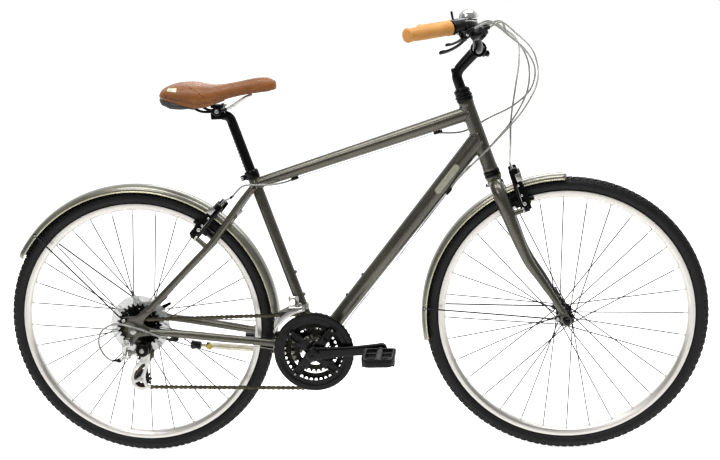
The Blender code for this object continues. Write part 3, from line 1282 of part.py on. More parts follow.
def make_cover():
    rows = []
    for x, w, top, side, low in saddle_rows():
        h = top - side
        half = [(0.0, top), (w * 0.42, top - h * 0.07), (w * 0.74, top - h * 0.27), (w * 0.94, top - h * 0.62),
                (w, side), (w * 0.985, (side + low) / 2), (w - 0.0030, low)]
        inner = max(w - BASE_SET + 0.0006, w * 0.45)
        rise = min(UNDER, (side - low) * 0.45)
        half += [(w - 0.0060, low), (inner, low + rise), (0.0, low + rise)]
        ring = [at(x, y, z) for y, z in half]
        ring += [at(x, -y, z) for y, z in reversed(half[1:-1])]
        rows.append(ring)
    return loft(rows)


def base_height(row):
    x, w, top, side, low = row
    return low + min(UNDER, (side - low) * 0.45)


def make_base():
    rows = []
    for row in saddle_rows()[1:12]:
        x, w, top, side, low = row
        y = max(w - BASE_SET, w * 0.42)
        z = base_height(row) - 0.0004
        rows.append([at(x, y, z), at(x, -y, z), at(x, -y * 0.92, z - 0.0050), at(x, y * 0.92, z - 0.0050)])
    return loft(rows)


RAIL_ROUTE = ((0.1740, 0.0350, 0.9087), (0.1880, 0.0345, 0.9010), (0.2010, 0.0310, 0.8935), (0.2140, 0.0260, 0.8900),
              (0.2420, 0.0225, 0.8905), (0.2600, 0.0220, 0.8925), (0.2780, 0.0210, 0.9005), (0.3000, 0.0180, 0.9140),
              (0.3150, 0.0130, 0.9222), (0.3240, 0.0060, 0.9250), (0.3260, 0.0, 0.9254))


def make_rails():
    left = [at(*p) for p in RAIL_ROUTE]
    right = [Vector((p.x, -p.y, p.z)) for p in left]
    wire = tube(smooth_route(left + list(reversed(right))[1:], 19), 0.0035, 1)
    barrel = disc(TILT, 0.0275, 0.0120, 12)
    cap = block(TILT + Vector((0, 0, 0.0110)), (0.0300, 0.0460, 0.0060), (1, 0, 0), (0, 0, 1), 0.0012)
    return joined(wire, barrel, cap)


finish("seat_post", make_post(), BLACK_ALLOY, seat(0.2900))
finish("saddle_rails", make_rails(), BLACK_ALLOY, TILT)
finish("saddle_base", make_base(), BLACK_PLASTIC, TILT)
finish("saddle_cover", make_cover(), LEATHER, TILT)

# Kickstand
LEG_END = 0.2520
FOOT_END = 0.2960


def make_leg():
    hub = rod(STAND_PIVOT + STAND_AXIS * 0.0008, STAND_PIVOT + STAND_AXIS * 0.0150, 0.0100, None, 14)
    base = STAND_PIVOT + STAND_AXIS * 0.0080
    leg = bent([base, base + STAND_FOLDED * 0.10, base + STAND_FOLDED * LEG_END], 1, 4, 3, (0.0082, 0.0080, 0.0075))
    body = joined(leg, hub)
    bore = rod(base + STAND_FOLDED * 0.150, base + STAND_FOLDED * 0.30, 0.0047, None, 12)
    return cut(body, bore)


def make_foot():
    base = STAND_PIVOT + STAND_AXIS * 0.0080
    inner = rod(base + STAND_FOLDED * 0.200, base + STAND_FOLDED * 0.2770, 0.0044, None, 12)
    shoe = rod(base + STAND_FOLDED * 0.2720, base + STAND_FOLDED * FOOT_END, 0.0085, 0.0125, 14)
    return joined(inner, shoe)


finish("kickstand_leg", make_leg(), SILVER, STAND_PIVOT)
finish("kickstand_foot", make_foot(), BLACK_PLASTIC, STAND_PIVOT)

# Cables
HOUSING_R = 0.0024
WIRE_R = 0.0010


def cord(sections):
    """One whole cable from sections of (points, radius, count); each starts where the last one ended."""
    route = []
    marks = [0]
    for points, radius, count in sections:
        route += [Vector(p) for p in points]
        marks.append(len(route) - 1)
    path, radii = [], []
    for k, (points, radius, count) in enumerate(sections):
        first = marks[k]
        dense = span_points(route, first, marks[k + 1])
        picked = even_points(dense, count)
        path += picked if k == 0 else picked[1:]
        radii += [radius] * (len(path) - len(radii))
    return tube(path, 1, 1, radii)


def front_brake_cord():
    out = control_exit(1, "brake", 0.0006)
    way = exit_way(1, "brake")
    route = [out, out + way * 0.035, at(0.9530, 0.1100, 1.0550), at(0.9825, 0.0600, 1.0230), at(0.9820, 0.0150, 0.9765),
             at(0.9700, -0.0200, 0.9125), at(0.9585, -0.0360, 0.8430), at(0.9560, -0.0400, 0.7750)]
    top = FRONT_BRAKE + HEAD_UP * 0.0985 + HEAD_FWD * (BRAKE_SET + 0.006)
    route += [top + HEAD_UP * 0.0180 - Y_AXIS * 0.0300, top + HEAD_UP * 0.0060 - Y_AXIS * 0.0150, top - Y_AXIS * 0.0020]
    return cord([(route, HOUSING_R, 28)])


def tt_under(x, drop=0.0030):
    """A point under the top tube."""
    k = (at(x, 0, 0).x - TOP_TUBE_LOW.x) / (TOP_TUBE_HIGH.x - TOP_TUBE_LOW.x)
    r = TOP_TUBE_R[0] + (TOP_TUBE_R[1] - TOP_TUBE_R[0]) * k
    p = TOP_TUBE_LOW.lerp(TOP_TUBE_HIGH, k)
    down = (TOP_TUBE_HIGH - TOP_TUBE_LOW).normalized().cross(Y_AXIS)
    down = down if down.z < 0 else -down
    return p + down * (r + drop)


def dt_under(t, y, drop=0.0):
    """A point beside or under the down tube, t of the way up from the bottom bracket."""
    r = DOWN_TUBE_R[0] + (DOWN_TUBE_R[1] - DOWN_TUBE_R[0]) * t
    down = (DOWN_TUBE_HIGH - BRACKET).normalized().cross(Y_AXIS)
    down = down if down.z < 0 else -down
    depth = sqrt(max((r + drop) ** 2 - y * y, 0.0))
    return BRACKET.lerp(DOWN_TUBE_HIGH, t) + down * depth + Y_AXIS * y


def rear_brake_cord():
    out = control_exit(-1, "brake", 0.0006)
    way = exit_way(-1, "brake")
    lead = [out, out + way * 0.035, at(0.9615, -0.1350, 1.0385), at(0.9975, -0.0750, 1.0035), at(1.0185, -0.0150, 0.9575),
            at(1.0080, 0.0280, 0.9080), at(0.9645, 0.0430, 0.8690), at(0.9100, 0.0420, 0.8440), at(0.8450, 0.0340, 0.8130),
            at(0.8000, 0.0100, 0.8130),
            tt_under(0.7751, 0.0036)]
    run = [tt_under(0.66, 0.0036), tt_under(0.54, 0.0036), tt_under(0.4177, 0.0036)]
    top = REAR_BRAKE + STAY_UP * 0.0985 + STAY_BACK * (BRAKE_SET + 0.006)
    tail = [tt_under(0.3960, 0.0050), at(0.3660, -0.0150, 0.6980), at(0.3340, -0.0330, 0.6900), at(0.3020, -0.0400, 0.6900),
            top + Vector((0.0330, -0.0360, 0.0180)), top + Vector((0.0120, -0.0250, 0.0120)), top + Vector((0, -0.0020, 0))]
    return cord([(lead, HOUSING_R, 22), (run, WIRE_R, 4), (tail, HOUSING_R, 12)])


def shift_lead(sign, stop_y):
    """The housing from a shifter to its stop on the down tube."""
    out = control_exit(sign, "shift", 0.0006)
    way = exit_way(sign, "shift")
    if sign > 0:
        loop = [at(0.9815, 0.0800, 1.0420), at(1.0155, 0.0520, 1.0050), at(1.0280, 0.0300, 0.9600),
                at(1.0205, -0.0120, 0.9195), at(0.9870, -0.0460, 0.8665), at(0.9505, -0.0620, 0.8270),
                at(0.8925, -0.0520, 0.7680)]
    else:
        loop = [at(0.9515, -0.1000, 1.0495), at(0.9845, -0.0600, 1.0170), at(1.0040, -0.0200, 0.9680),
                at(1.0000, 0.0200, 0.9040), at(0.9660, 0.0460, 0.8370), at(0.9235, 0.0540, 0.7860),
                at(0.8805, 0.0440, 0.7435)]
    return [out, out + way * 0.030] + loop + [dt_under(0.83, stop_y * 1.5, 0.0050), dt_under(0.78, stop_y, 0.0034)]


def under_shell(y, angle, drop=0.0020):
    a = radians(angle)
    return BRACKET + Vector((cos(a) * (SHELL_RADIUS + drop), y, sin(a) * (SHELL_RADIUS + drop)))


def front_shift_cord():
    bare = [dt_under(0.60, -0.0070, 0.0034), dt_under(0.40, 0, 0.0034), dt_under(0.22, 0.0070, 0.0034)]
    shell = [under_shell(0.0080, -42, 0.0040), under_shell(0.0060, -80, 0.0034), under_shell(0.0030, -120, 0.0034),
             under_shell(0.0, -160, 0.0050), seat(0.0250, -0.0200, 0.0)]
    rise = [seat(0.0600, -0.0190, -0.0040), seat(0.0920, -0.0180, -0.0110)]
    return cord([(shift_lead(1, -0.0120), HOUSING_R, 20), (bare, WIRE_R, 4), (shell, WIRE_R, 15), (rise, WIRE_R, 3)])


def rear_shift_cord():
    bare = [dt_under(0.60, 0.0070, 0.0034), dt_under(0.40, 0, 0.0072), dt_under(0.22, -0.0070, 0.0034)]
    shell = [under_shell(-0.0090, -42, 0.0040), under_shell(-0.0120, -80, 0.0034), under_shell(-0.0160, -112, 0.0040),
             at(0.4040, -0.0250, 0.2660)]
    rest = [at(0.3000, -0.0450, 0.2930), at(0.2000, -0.0560, 0.3070), at(0.1320, -0.0640, 0.3185),
            at(0.1100, -0.0670, 0.3205)]
    loop = [at(0.0896, -0.0700, 0.3212), at(0.0550, -0.0790, 0.3370),
            at(0.0127, -0.0870, 0.3570), at(-0.0459, -0.0830, 0.3690), at(-0.0860, -0.0760, 0.3480),
            at(-0.0965, -0.0745, 0.3160), at(-0.0820, -0.0790, 0.2850), at(-0.0620, -0.0845, 0.2734),
            at(-0.0508, -0.0851, 0.2734)]
    return cord([(shift_lead(-1, 0.0120), HOUSING_R, 20), (bare, WIRE_R, 4), (shell, WIRE_R, 12), (rest, WIRE_R, 5),
                 (loop, HOUSING_R, 18)])


finish("cable_front_brake", front_brake_cord(), HOUSING, head(0))
finish("cable_rear_brake", rear_brake_cord(), HOUSING)
finish("cable_front_shift", front_shift_cord(), HOUSING)
finish("cable_rear_shift", rear_shift_cord(), HOUSING)

for left_over in list(TOOLS.objects):
    bpy.data.objects.remove(left_over, do_unlink=True)
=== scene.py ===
# Hybrid bicycle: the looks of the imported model, in metres, +X forward, +Y to the rider's left, +Z up.
import bpy
import bmesh
from math import radians, sin, cos, pi, sqrt, atan2, asin, ceil
from mathutils import Vector, Matrix


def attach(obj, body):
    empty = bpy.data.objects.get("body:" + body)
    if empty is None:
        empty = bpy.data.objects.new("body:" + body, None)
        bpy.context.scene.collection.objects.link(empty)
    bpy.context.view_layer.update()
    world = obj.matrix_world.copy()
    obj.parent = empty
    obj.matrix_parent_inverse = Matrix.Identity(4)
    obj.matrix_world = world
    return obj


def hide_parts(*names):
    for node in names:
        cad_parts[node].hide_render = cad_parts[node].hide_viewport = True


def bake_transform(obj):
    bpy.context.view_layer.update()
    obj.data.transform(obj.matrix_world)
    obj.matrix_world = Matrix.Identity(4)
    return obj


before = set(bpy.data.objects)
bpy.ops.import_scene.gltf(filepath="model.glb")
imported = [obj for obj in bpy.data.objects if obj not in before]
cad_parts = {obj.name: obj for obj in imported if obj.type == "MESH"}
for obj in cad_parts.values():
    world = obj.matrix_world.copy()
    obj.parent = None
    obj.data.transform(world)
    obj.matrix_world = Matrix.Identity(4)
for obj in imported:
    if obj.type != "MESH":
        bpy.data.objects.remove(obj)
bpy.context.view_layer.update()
scene = bpy.context.scene


def vec(*v):
    return Vector(v)


def placed(name, data):
    """A new object in the scene."""
    ob = bpy.data.objects.new(name, data)
    scene.collection.objects.link(ob)
    return ob


# Camera, solved from the two tyres and the tubes in the photograph
def make_camera():
    data = bpy.data.cameras.new("photo_camera")
    data.sensor_width = 36.0
    data.lens = 54.339
    data.clip_start, data.clip_end = 0.05, 80.0
    cam = placed("photo_camera", data)
    right = vec(0.993647, 0.101796, -0.04799)
    up = vec(0.02703, 0.198077, 0.979814)
    forward = vec(-0.109247, 0.974886, -0.194068)
    turn = Matrix((right, up, -forward)).transposed().to_4x4()
    cam.matrix_world = Matrix.Translation((0.33531, -2.65398, 1.10655)) @ turn
    scene.camera = cam


make_camera()
scene.view_settings.view_transform = "Standard"


# Node materials
def lin(code):
    """A linear colour from an sRGB hex code."""
    out = []
    for i in (0, 2, 4):
        c = int(code[i:i + 2], 16) / 255
        out.append(c / 12.92 if c <= 0.04045 else ((c + 0.055) / 1.055) ** 2.4)
    return (*out, 1.0)


def tree_node(tree, kind, links=None, **props):
    node = tree.nodes.new(kind)
    for key, value in props.items():
        setattr(node, key, value)
    for key, value in (links or {}).items():
        if isinstance(value, bpy.types.NodeSocket):
            tree.links.new(value, node.inputs[key])
        else:
            node.inputs[key].default_value = value
    return node


class Look:
    """A Principled material and one call for each node added to it."""

    def __init__(self, name, colour, metal=0.0, rough=0.5, **more):
        self.mat = bpy.data.materials.new(name)
        self.mat.use_nodes = True
        self.tree = self.mat.node_tree
        self.shader = self.tree.nodes["Principled BSDF"]
        self.set(Base_Color=lin(colour), Metallic=metal, Roughness=rough, **more)
        self.mat.diffuse_color = lin(colour)
        self.where = self.add("ShaderNodeTexCoord").outputs["Object"]

    def set(self, **values):
        for key, value in values.items():
            self.feed(self.shader.inputs[key.replace("_", " ")], value)
        return self

    def feed(self, socket, value):
        if isinstance(value, bpy.types.NodeSocket):
            self.tree.links.new(value, socket)
        else:
            socket.default_value = value

    def add(self, kind, sockets=None, **props):
        return tree_node(self.tree, kind, sockets, **props)

    def noise(self, scale, detail=3.0, rough=0.5, vector=None, distortion=0.0):
        return self.add("ShaderNodeTexNoise", {"Vector": vector or self.where, "Scale": scale,
            "Detail": detail, "Roughness": rough, "Distortion": distortion}).outputs["Fac"]

    def stretched(self, x, y, z, source=None):
        """The coordinates scaled by three factors, for a grain that runs one way."""
        return self.add("ShaderNodeMapping", {"Vector": source or self.where,
            "Scale": (x, y, z)}).outputs["Vector"]

    def uv(self):
        return self.add("ShaderNodeUVMap", uv_map="uv").outputs["UV"]

    def range(self, value, a, b, c=0.0, d=1.0):
        return self.add("ShaderNodeMapRange", {"Value": value, "From Min": a, "From Max": b, "To Min": c,
            "To Max": d}).outputs["Result"]

    def mix(self, factor, first, second):
        node = self.add("ShaderNodeMix", data_type="RGBA")
        for i, value in ((0, factor), (6, first), (7, second)):
            self.feed(node.inputs[i], value)
        return node.outputs[2]

    def math(self, operation, a, b=0.0):
        node = self.add("ShaderNodeMath", operation=operation)
        self.feed(node.inputs[0], a)
        self.feed(node.inputs[1], b)
        return node.outputs[0]

    def bump(self, height, strength, distance):
        node = self.add("ShaderNodeBump", {"Height": height, "Strength": strength, "Distance": distance})
        self.set(Normal=node.outputs["Normal"])
        return self

    def edges(self):
        """1 on convex edges and 0 elsewhere, from the mesh's own curvature."""
        point = self.add("ShaderNodeNewGeometry").outputs["Pointiness"]
        return self.range(point, 0.53, 0.6)


def paint(name, colour, deep, pale, coat=0.7):
    """Metallic lacquer: fine flake that glitters, slow shade drift, a clear coat with faint orange peel."""
    k = Look(name, colour, 0.72, 0.3, Coat_Weight=coat, Coat_Roughness=0.05, Coat_IOR=1.5)
    flake = k.add("ShaderNodeTexVoronoi", {"Vector": k.where, "Scale": 1900.0}).outputs["Color"]
    glint = k.add("ShaderNodeSeparateColor", {"Color": flake}).outputs["Red"]
    drift = k.range(k.noise(9.0, 2.0), 0.35, 0.65)
    base = k.mix(drift, lin(colour), lin(deep))
    base = k.mix(k.range(glint, 0.55, 1.0, 0.0, 0.45), base, lin(pale))
    k.set(Base_Color=base, Roughness=k.range(k.noise(60.0, 4.0), 0.3, 0.7, 0.27, 0.36))
    peel = k.add("ShaderNodeBump", {"Height": k.noise(420.0, 2.0), "Strength": 0.12, "Distance": 0.0004})
    k.set(Coat_Normal=peel.outputs["Normal"])
    return k.mat


def metal(name, colour, dark, rough, lines=0.25, way=(1.0, 1.0, 1.0), scale=900.0):
    """Bare metal: fine tool lines across the way it was worked, dull patches, brighter edges."""
    k = Look(name, colour, 1.0, rough)
    grain = k.noise(scale, 3.0, 0.6, k.stretched(*way))
    patch = k.range(k.noise(38.0, 4.0, 0.6), 0.35, 0.7)
    k.set(Base_Color=k.mix(k.edges(), k.mix(patch, lin(colour), lin(dark)), lin(colour)),
        Roughness=k.range(grain, 0.2, 0.8, rough * 0.75, rough * 1.3))
    return k.bump(grain, lines, 0.0002).mat


def moulded(name, colour, worn, rough, grain=1500.0, depth=0.25, coat=0.0, shine=0.5):
    """Moulded plastic or satin anodising: fine spark grain, marks that change the gloss, pale edges."""
    k = Look(name, colour, 0.0, rough, Coat_Weight=coat, Coat_Roughness=0.15, Specular_IOR_Level=shine)
    marks = k.noise(45.0, 5.0, 0.65)
    k.set(Base_Color=k.mix(k.edges(), k.mix(k.range(marks, 0.4, 0.75, 0.0, 0.5), lin(colour), lin(worn)),
        lin(worn)), Roughness=k.range(marks, 0.3, 0.7, rough * 0.8, rough * 1.2))
    return k.bump(k.noise(grain, 2.0), depth, 0.0002).mat


def tyre_rubber():
    """Rubber: matt black with a dusty bloom, fine mould ribs on the sidewall."""
    k = Look("tyre_rubber_black", "0a0a0b", 0.0, 0.62, Specular_IOR_Level=0.25)
    u = k.add("ShaderNodeSeparateXYZ", {"Vector": k.uv()})
    ribs = k.math("SINE", k.math("MULTIPLY", u.outputs["Y"], 4200.0))
    dust = k.range(k.noise(26.0, 6.0, 0.7), 0.45, 0.8)
    k.set(Base_Color=k.mix(dust, lin("09090a"), lin("141413")),
        Roughness=k.range(dust, 0.0, 1.0, 0.56, 0.8))
    return k.bump(k.math("ADD", k.math("MULTIPLY", ribs, 0.35), k.noise(900.0, 3.0)), 0.3, 0.0003).mat


def rim_alloy():
    """Brushed rim: lines that run round the hoop, from the UV map."""
    k = Look("rim_brushed", "d2cfc9", 1.0, 0.34)
    line = k.noise(60.0, 4.0, 0.7, k.stretched(0.6, 60.0, 1.0, k.uv()))
    k.set(Base_Color=k.mix(k.range(line, 0.3, 0.7), lin("dad7d1"), lin("b5b2ad")),
        Roughness=k.range(line, 0.25, 0.75, 0.26, 0.46))
    return k.bump(line, 0.35, 0.0002).mat


def leather():
    """Tan hide: pebbled cells with painted shade in the creases between them, darker in random blotches, a
    soft waxed sheen.
    """
    k = Look("saddle_hide", "9c5d27", 0.0, 0.42, Sheen_Weight=0.04, Sheen_Roughness=0.4,
        Specular_IOR_Level=0.35, Coat_Weight=0.12, Coat_Roughness=0.3)
    cell = k.add("ShaderNodeTexVoronoi", {"Vector": k.where, "Scale": 620.0, "Randomness": 0.9},
        feature="DISTANCE_TO_EDGE").outputs["Distance"]
    pore = k.noise(2400.0, 3.0, 0.6)
    tone = k.range(k.noise(16.0, 5.0, 0.6), 0.35, 0.7)
    base = k.mix(tone, lin("8a5319"), lin("683a0f"))
    # Painted shade: the creases between the cells are darkened toward 69381a.
    base = k.mix(k.range(cell, 0.0, 0.09, 0.55, 0.0), base, lin("69381a"))
    k.set(Base_Color=base, Roughness=k.range(tone, 0.0, 1.0, 0.38, 0.52))
    high = k.math("ADD", k.range(cell, 0.0, 0.22), k.math("MULTIPLY", pore, 0.25))
    return k.bump(high, 0.35, 0.0006).mat


def grip_rubber():
    """Tan rubber: satin, slightly blotched with a darker tan at random, fine pebble, and a painted highlight
    in a paler tan on its convex edges.
    """
    k = Look("grip_tan", "d99440", 0.0, 0.55, Subsurface_Weight=0.05, Subsurface_Scale=0.004)
    tone = k.range(k.noise(30.0, 5.0, 0.6), 0.3, 0.7)
    pebble = k.add("ShaderNodeTexVoronoi", {"Vector": k.where, "Scale": 1100.0}).outputs["Distance"]
    # Painted highlight: the convex edges take the pale tan dcaa60.
    k.set(Base_Color=k.mix(k.edges(), k.mix(tone, lin("cb9147"), lin("b77b35")), lin("dcaa60")),
        Roughness=k.range(tone, 0.0, 1.0, 0.5, 0.64))
    return k.bump(pebble, 0.25, 0.0004).mat


def housing():
    """Cable housing: glossy grey sleeve with the faint wind of the wire showing through."""
    k = Look("housing_grey", "86877f", 0.15, 0.36, Coat_Weight=0.4, Coat_Roughness=0.12)
    u = k.add("ShaderNodeSeparateXYZ", {"Vector": k.uv()})
    wind = k.math("SINE", k.math("MULTIPLY", k.math("ADD", u.outputs["Y"],
        k.math("MULTIPLY", u.outputs["X"], 0.12)), 3600.0))
    k.set(Base_Color=k.mix(k.range(k.noise(50.0, 4.0), 0.35, 0.7), lin("8e8f88"), lin("6d6e68")))
    return k.bump(wind, 0.18, 0.0002).mat


def clear_plastic():
    """Frosted disc: thin clear plastic that lets the spokes show, scratched in rings."""
    k = Look("disc_frosted", "c9cbc8", 0.0, 0.32, IOR=1.45)
    rings = k.noise(40.0, 3.0, 0.6, k.stretched(1.0, 40.0, 1.0, k.uv()))
    k.set(Base_Color=k.mix(k.range(rings, 0.3, 0.7), lin("c9cbc8"), lin("a9aca9")),
        Alpha=k.range(rings, 0.3, 0.7, 0.45, 0.6))
    return k.bump(rings, 0.15, 0.0002).mat


def enamel(name, colour, shade, rough=0.3):
    """Enamelled plate: even colour with a slightly uneven gloss and thin dark grime."""
    k = Look(name, colour, 0.0, rough, Coat_Weight=0.5, Coat_Roughness=0.1)
    tone = k.range(k.noise(70.0, 5.0, 0.6), 0.4, 0.75)
    k.set(Base_Color=k.mix(tone, lin(colour), lin(shade)), Roughness=k.range(tone, 0.0, 1.0, rough * 0.8,
        rough * 1.3))
    return k.bump(k.noise(700.0, 2.0), 0.08, 0.0002).mat


PAINT = paint("pewter_lacquer", "48463d", "393730", "837f6b", 0.5)
GUARD = paint("mudguard_lacquer", "77766a", "626158", "a09d8c")
LIP = paint("mudguard_lip", "c3bfa0", "aaa78c", "dedabf", 0.5)
BLACK = moulded("black_anodised", "050506", "0d0d0e", 0.18, 900.0, 0.06, 0.0, 0.16)
PLASTIC = moulded("black_moulded", "070708", "101011", 0.38, depth=0.3, shine=0.16)
RUBBER = tyre_rubber()
RIM = rim_alloy()
SILVER = metal("forged_silver", "c6c5c1", "a09f9b", 0.3, 0.15)
TURNED = metal("turned_steel", "a9a8a5", "7d7c79", 0.32, way=(1.0, 6.0, 1.0))
CHROME = metal("bright_chrome", "e4e4e2", "c9c9c7", 0.09, 0.04)
SPOKE = metal("spoke_steel", "2b2b2a", "1c1c1b", 0.3, 0.1)
COG = metal("oiled_steel", "201f1d", "131211", 0.34, 0.35)
LINKS = metal("chain_bronze", "4c473a", "27241d", 0.34, 0.3)
HIDE = leather()
TAN = grip_rubber()
CABLE = housing()
DISC = clear_plastic()
CREAM = enamel("cream_enamel", "cdc9b2", "aeaa95")
PALE = enamel("pale_print", "93927f", "858472", 0.4)
YELLOW = enamel("yellow_cap", "cdb345", "a58e2f", 0.35)
BASE_GREY = moulded("saddle_base_grey", "2c2b2b", "454443", 0.5, 1200.0, 0.3)
REFLECT = enamel("pale_lens", "b9b9b2", "a3a39c", 0.15)


# Places, the same ones as in the part's source
WHEELBASE = 1.083
HEAD_ANGLE, SEAT_ANGLE = radians(71.6), radians(72.6)
X, Y, Z = vec(1, 0, 0), vec(0, 1, 0), vec(0, 0, 1)


def at(x, y, z):
    return vec(x - WHEELBASE / 2, y, z)


REAR, FRONT = at(0, 0, 0.349), at(WHEELBASE, 0, 0.349)
HEAD_UP, HEAD_FWD = vec(-cos(HEAD_ANGLE), 0, sin(HEAD_ANGLE)), vec(sin(HEAD_ANGLE), 0, cos(HEAD_ANGLE))
SEAT_UP, SEAT_FWD = vec(-cos(SEAT_ANGLE), 0, sin(SEAT_ANGLE)), vec(sin(SEAT_ANGLE), 0, cos(SEAT_ANGLE))
HEAD_LOW = FRONT - HEAD_FWD * 0.049 + HEAD_UP * 0.4064
STAY_LONG, BRACKET_DROP, SHELL_R = 0.4596, 0.068, 0.0208
BRACKET = at(sqrt(STAY_LONG ** 2 - BRACKET_DROP ** 2), 0, 0.281)
PITCH = 0.0127


def head(s, n=0.0, y=0.0):
    return HEAD_LOW + HEAD_UP * s + HEAD_FWD * n + Y * y


def seat(s, n=0.0, y=0.0):
    return BRACKET + SEAT_UP * s + SEAT_FWD * n + Y * y


def pitch_radius(teeth):
    return PITCH / (2 * sin(pi / teeth))


# Shapes: each gives a mesh with a UV map in metres
def basis(direction, side=None):
    z = Vector(direction).normalized()
    x = Vector(side) if side is not None else X
    x = x - z * x.dot(z)
    if x.length < 1e-06:
        x = Y - z * z.y
    x.normalize()
    return Matrix((x, z.cross(x), z)).transposed()


def grid(rows, loop_u, loop_v=False, cap_first=True, cap_last=True, size_u=1.0, marks=None):
    """A skin over rows of points; each row closes on itself when loop_u is true."""
    bm = bmesh.new()
    layer = bm.loops.layers.uv.new("uv")
    ring = [[bm.verts.new(p) for p in row] for row in rows]
    n = len(rows[0])
    if marks is None:
        marks = [0.0]
        for a, b in zip(rows, rows[1:]):
            marks.append(marks[-1] + (b[0] - a[0]).length)
    if loop_v:
        marks = list(marks) + [marks[-1] + (rows[0][0] - rows[-1][0]).length]
    for i in range(len(rows) if loop_v else len(rows) - 1):
        a, b = ring[i], ring[(i + 1) % len(rows)]
        for k in range(n if loop_u else n - 1):
            m = (k + 1) % n
            face = bm.faces.new((a[k], a[m], b[m], b[k]))
            uv = (k, i), (k + 1, i), (k + 1, i + 1), (k, i + 1)
            for loop, (u, v) in zip(face.loops, uv):
                loop[layer].uv = size_u * u / n, marks[v]
    if loop_u and (not loop_v):
        if cap_first:
            bm.faces.new(list(reversed(ring[0])))
        if cap_last:
            bm.faces.new(ring[-1])
    return shape(bm)


MERGE = 2e-06


def shape(bm):
    bmesh.ops.remove_doubles(bm, verts=bm.verts, dist=MERGE)
    bmesh.ops.recalc_face_normals(bm, faces=bm.faces)
    mesh = bpy.data.meshes.new("shape")
    bm.to_mesh(mesh)
    bm.free()
    return mesh


def rounded(points, r, n=3, closed=False):
    """The outline with each corner turned into a short arc."""
    pts = [Vector(p) for p in points]
    out = []
    last = len(pts)
    for i, p in enumerate(pts):
        if not closed and i in (0, last - 1):
            out.append(p)
            continue
        a, b = pts[i - 1], pts[(i + 1) % last]
        ra = min(r, (a - p).length * 0.45, (b - p).length * 0.45)
        s, e = p + (a - p).normalized() * ra, p + (b - p).normalized() * ra
        for k in range(n + 1):
            t = k / n
            out.append(s * (1 - t) ** 2 + p * 2 * t * (1 - t) + e * t ** 2)
    return out


def flat(spots, r, n=4):
    """An outline as pairs, with each corner turned into a short arc."""
    return [(p.x, p.y) for p in rounded([vec(u, v, 0) for u, v in spots], r, n, True)]


def sleeve(inner, outer, half):
    """Four corners of a ring's section, the same on both sides of nought."""
    return [(inner, -half), (outer, -half), (outer, half), (inner, half)]


def lathe(profile, origin, axis=Y, steps=48, ring=False, r=0.0006, n=2, side=None):
    """A turned piece: (radius, height) pairs with softened corners, height along the axis."""
    turn = basis(axis, side)
    pts = rounded(profile, r, n, ring) if r > 0 else [Vector(p) for p in profile]
    place = Matrix.Translation(Vector(origin)) @ turn.to_4x4()
    rows = []
    for k in range(steps):
        a = 2 * pi * k / steps
        rows.append([place @ vec(p[0] * cos(a), p[0] * sin(a), p[1]) for p in pts])
    bm = bmesh.new()
    layer = bm.loops.layers.uv.new("uv")
    grid_v = [[bm.verts.new(p) for p in row] for row in rows]
    far = [0.0]
    loop = pts + [pts[0]] if ring else pts
    for a, b in zip(loop, loop[1:]):
        far.append(far[-1] + (b - a).length)
    wide = 2 * pi * max((p[0] for p in pts))
    m = len(pts)
    for i in range(steps):
        a, b = grid_v[i], grid_v[(i + 1) % steps]
        for k in range(m if ring else m - 1):
            j = (k + 1) % m
            face = bm.faces.new((a[k], b[k], b[j], a[j]))
            for lp, (u, v) in zip(face.loops, ((i, k), (i + 1, k), (i + 1, k + 1), (i, k + 1))):
                lp[layer].uv = wide * u / steps, far[v]
    return shape(bm)


def span(route, per=10):
    """A smooth curve through the points, evenly parametrised between them."""
    route = [Vector(p) for p in route]
    out = []
    for i in range(len(route) - 1):
        b, c = route[i], route[i + 1]
        a = route[i - 1] if i > 0 else b * 2 - c
        d = route[i + 2] if i + 2 < len(route) else c * 2 - b
        ta, tb, tc = (b - a).length ** 0.5, (c - b).length ** 0.5, (d - c).length ** 0.5
        m1 = c - b + ((b - a) / ta - (c - a) / (ta + tb)) * tb
        m2 = c - b + ((d - c) / tc - (d - b) / (tb + tc)) * tb
        for k in range(per):
            t = k / per
            out.append(b * (2 * t ** 3 - 3 * t ** 2 + 1) + m1 * (t ** 3 - 2 * t ** 2 + t) + c
                * (3 * t ** 2 - 2 * t ** 3) + m2 * (t ** 3 - t ** 2))
    out.append(route[-1])
    return out


def lengths(points):
    far = [0.0]
    for a, b in zip(points, points[1:]):
        far.append(far[-1] + (b - a).length)
    return far


def even(points, count):
    far = lengths(points)
    out, j = [], 0
    for k in range(count):
        want = far[-1] * k / (count - 1)
        while j < len(far) - 2 and far[j + 1] < want:
            j += 1
        out.append(points[j].lerp(points[j + 1], (want - far[j]) / max(far[j + 1] - far[j], 1e-09)))
    return out


def taper(values, keys, points):
    """One radius per point, from the radii at the route's own points."""
    far, own = lengths([Vector(k) for k in keys]), lengths(points)
    out = []
    for d in own:
        want = d / own[-1] * far[-1]
        i = 0
        while i < len(far) - 2 and far[i + 1] < want:
            i += 1
        t = min(max((want - far[i]) / (far[i + 1] - far[i]), 0), 1)
        out.append(values[i] + (values[i + 1] - values[i]) * (t * t * (3 - 2 * t)))
    return out


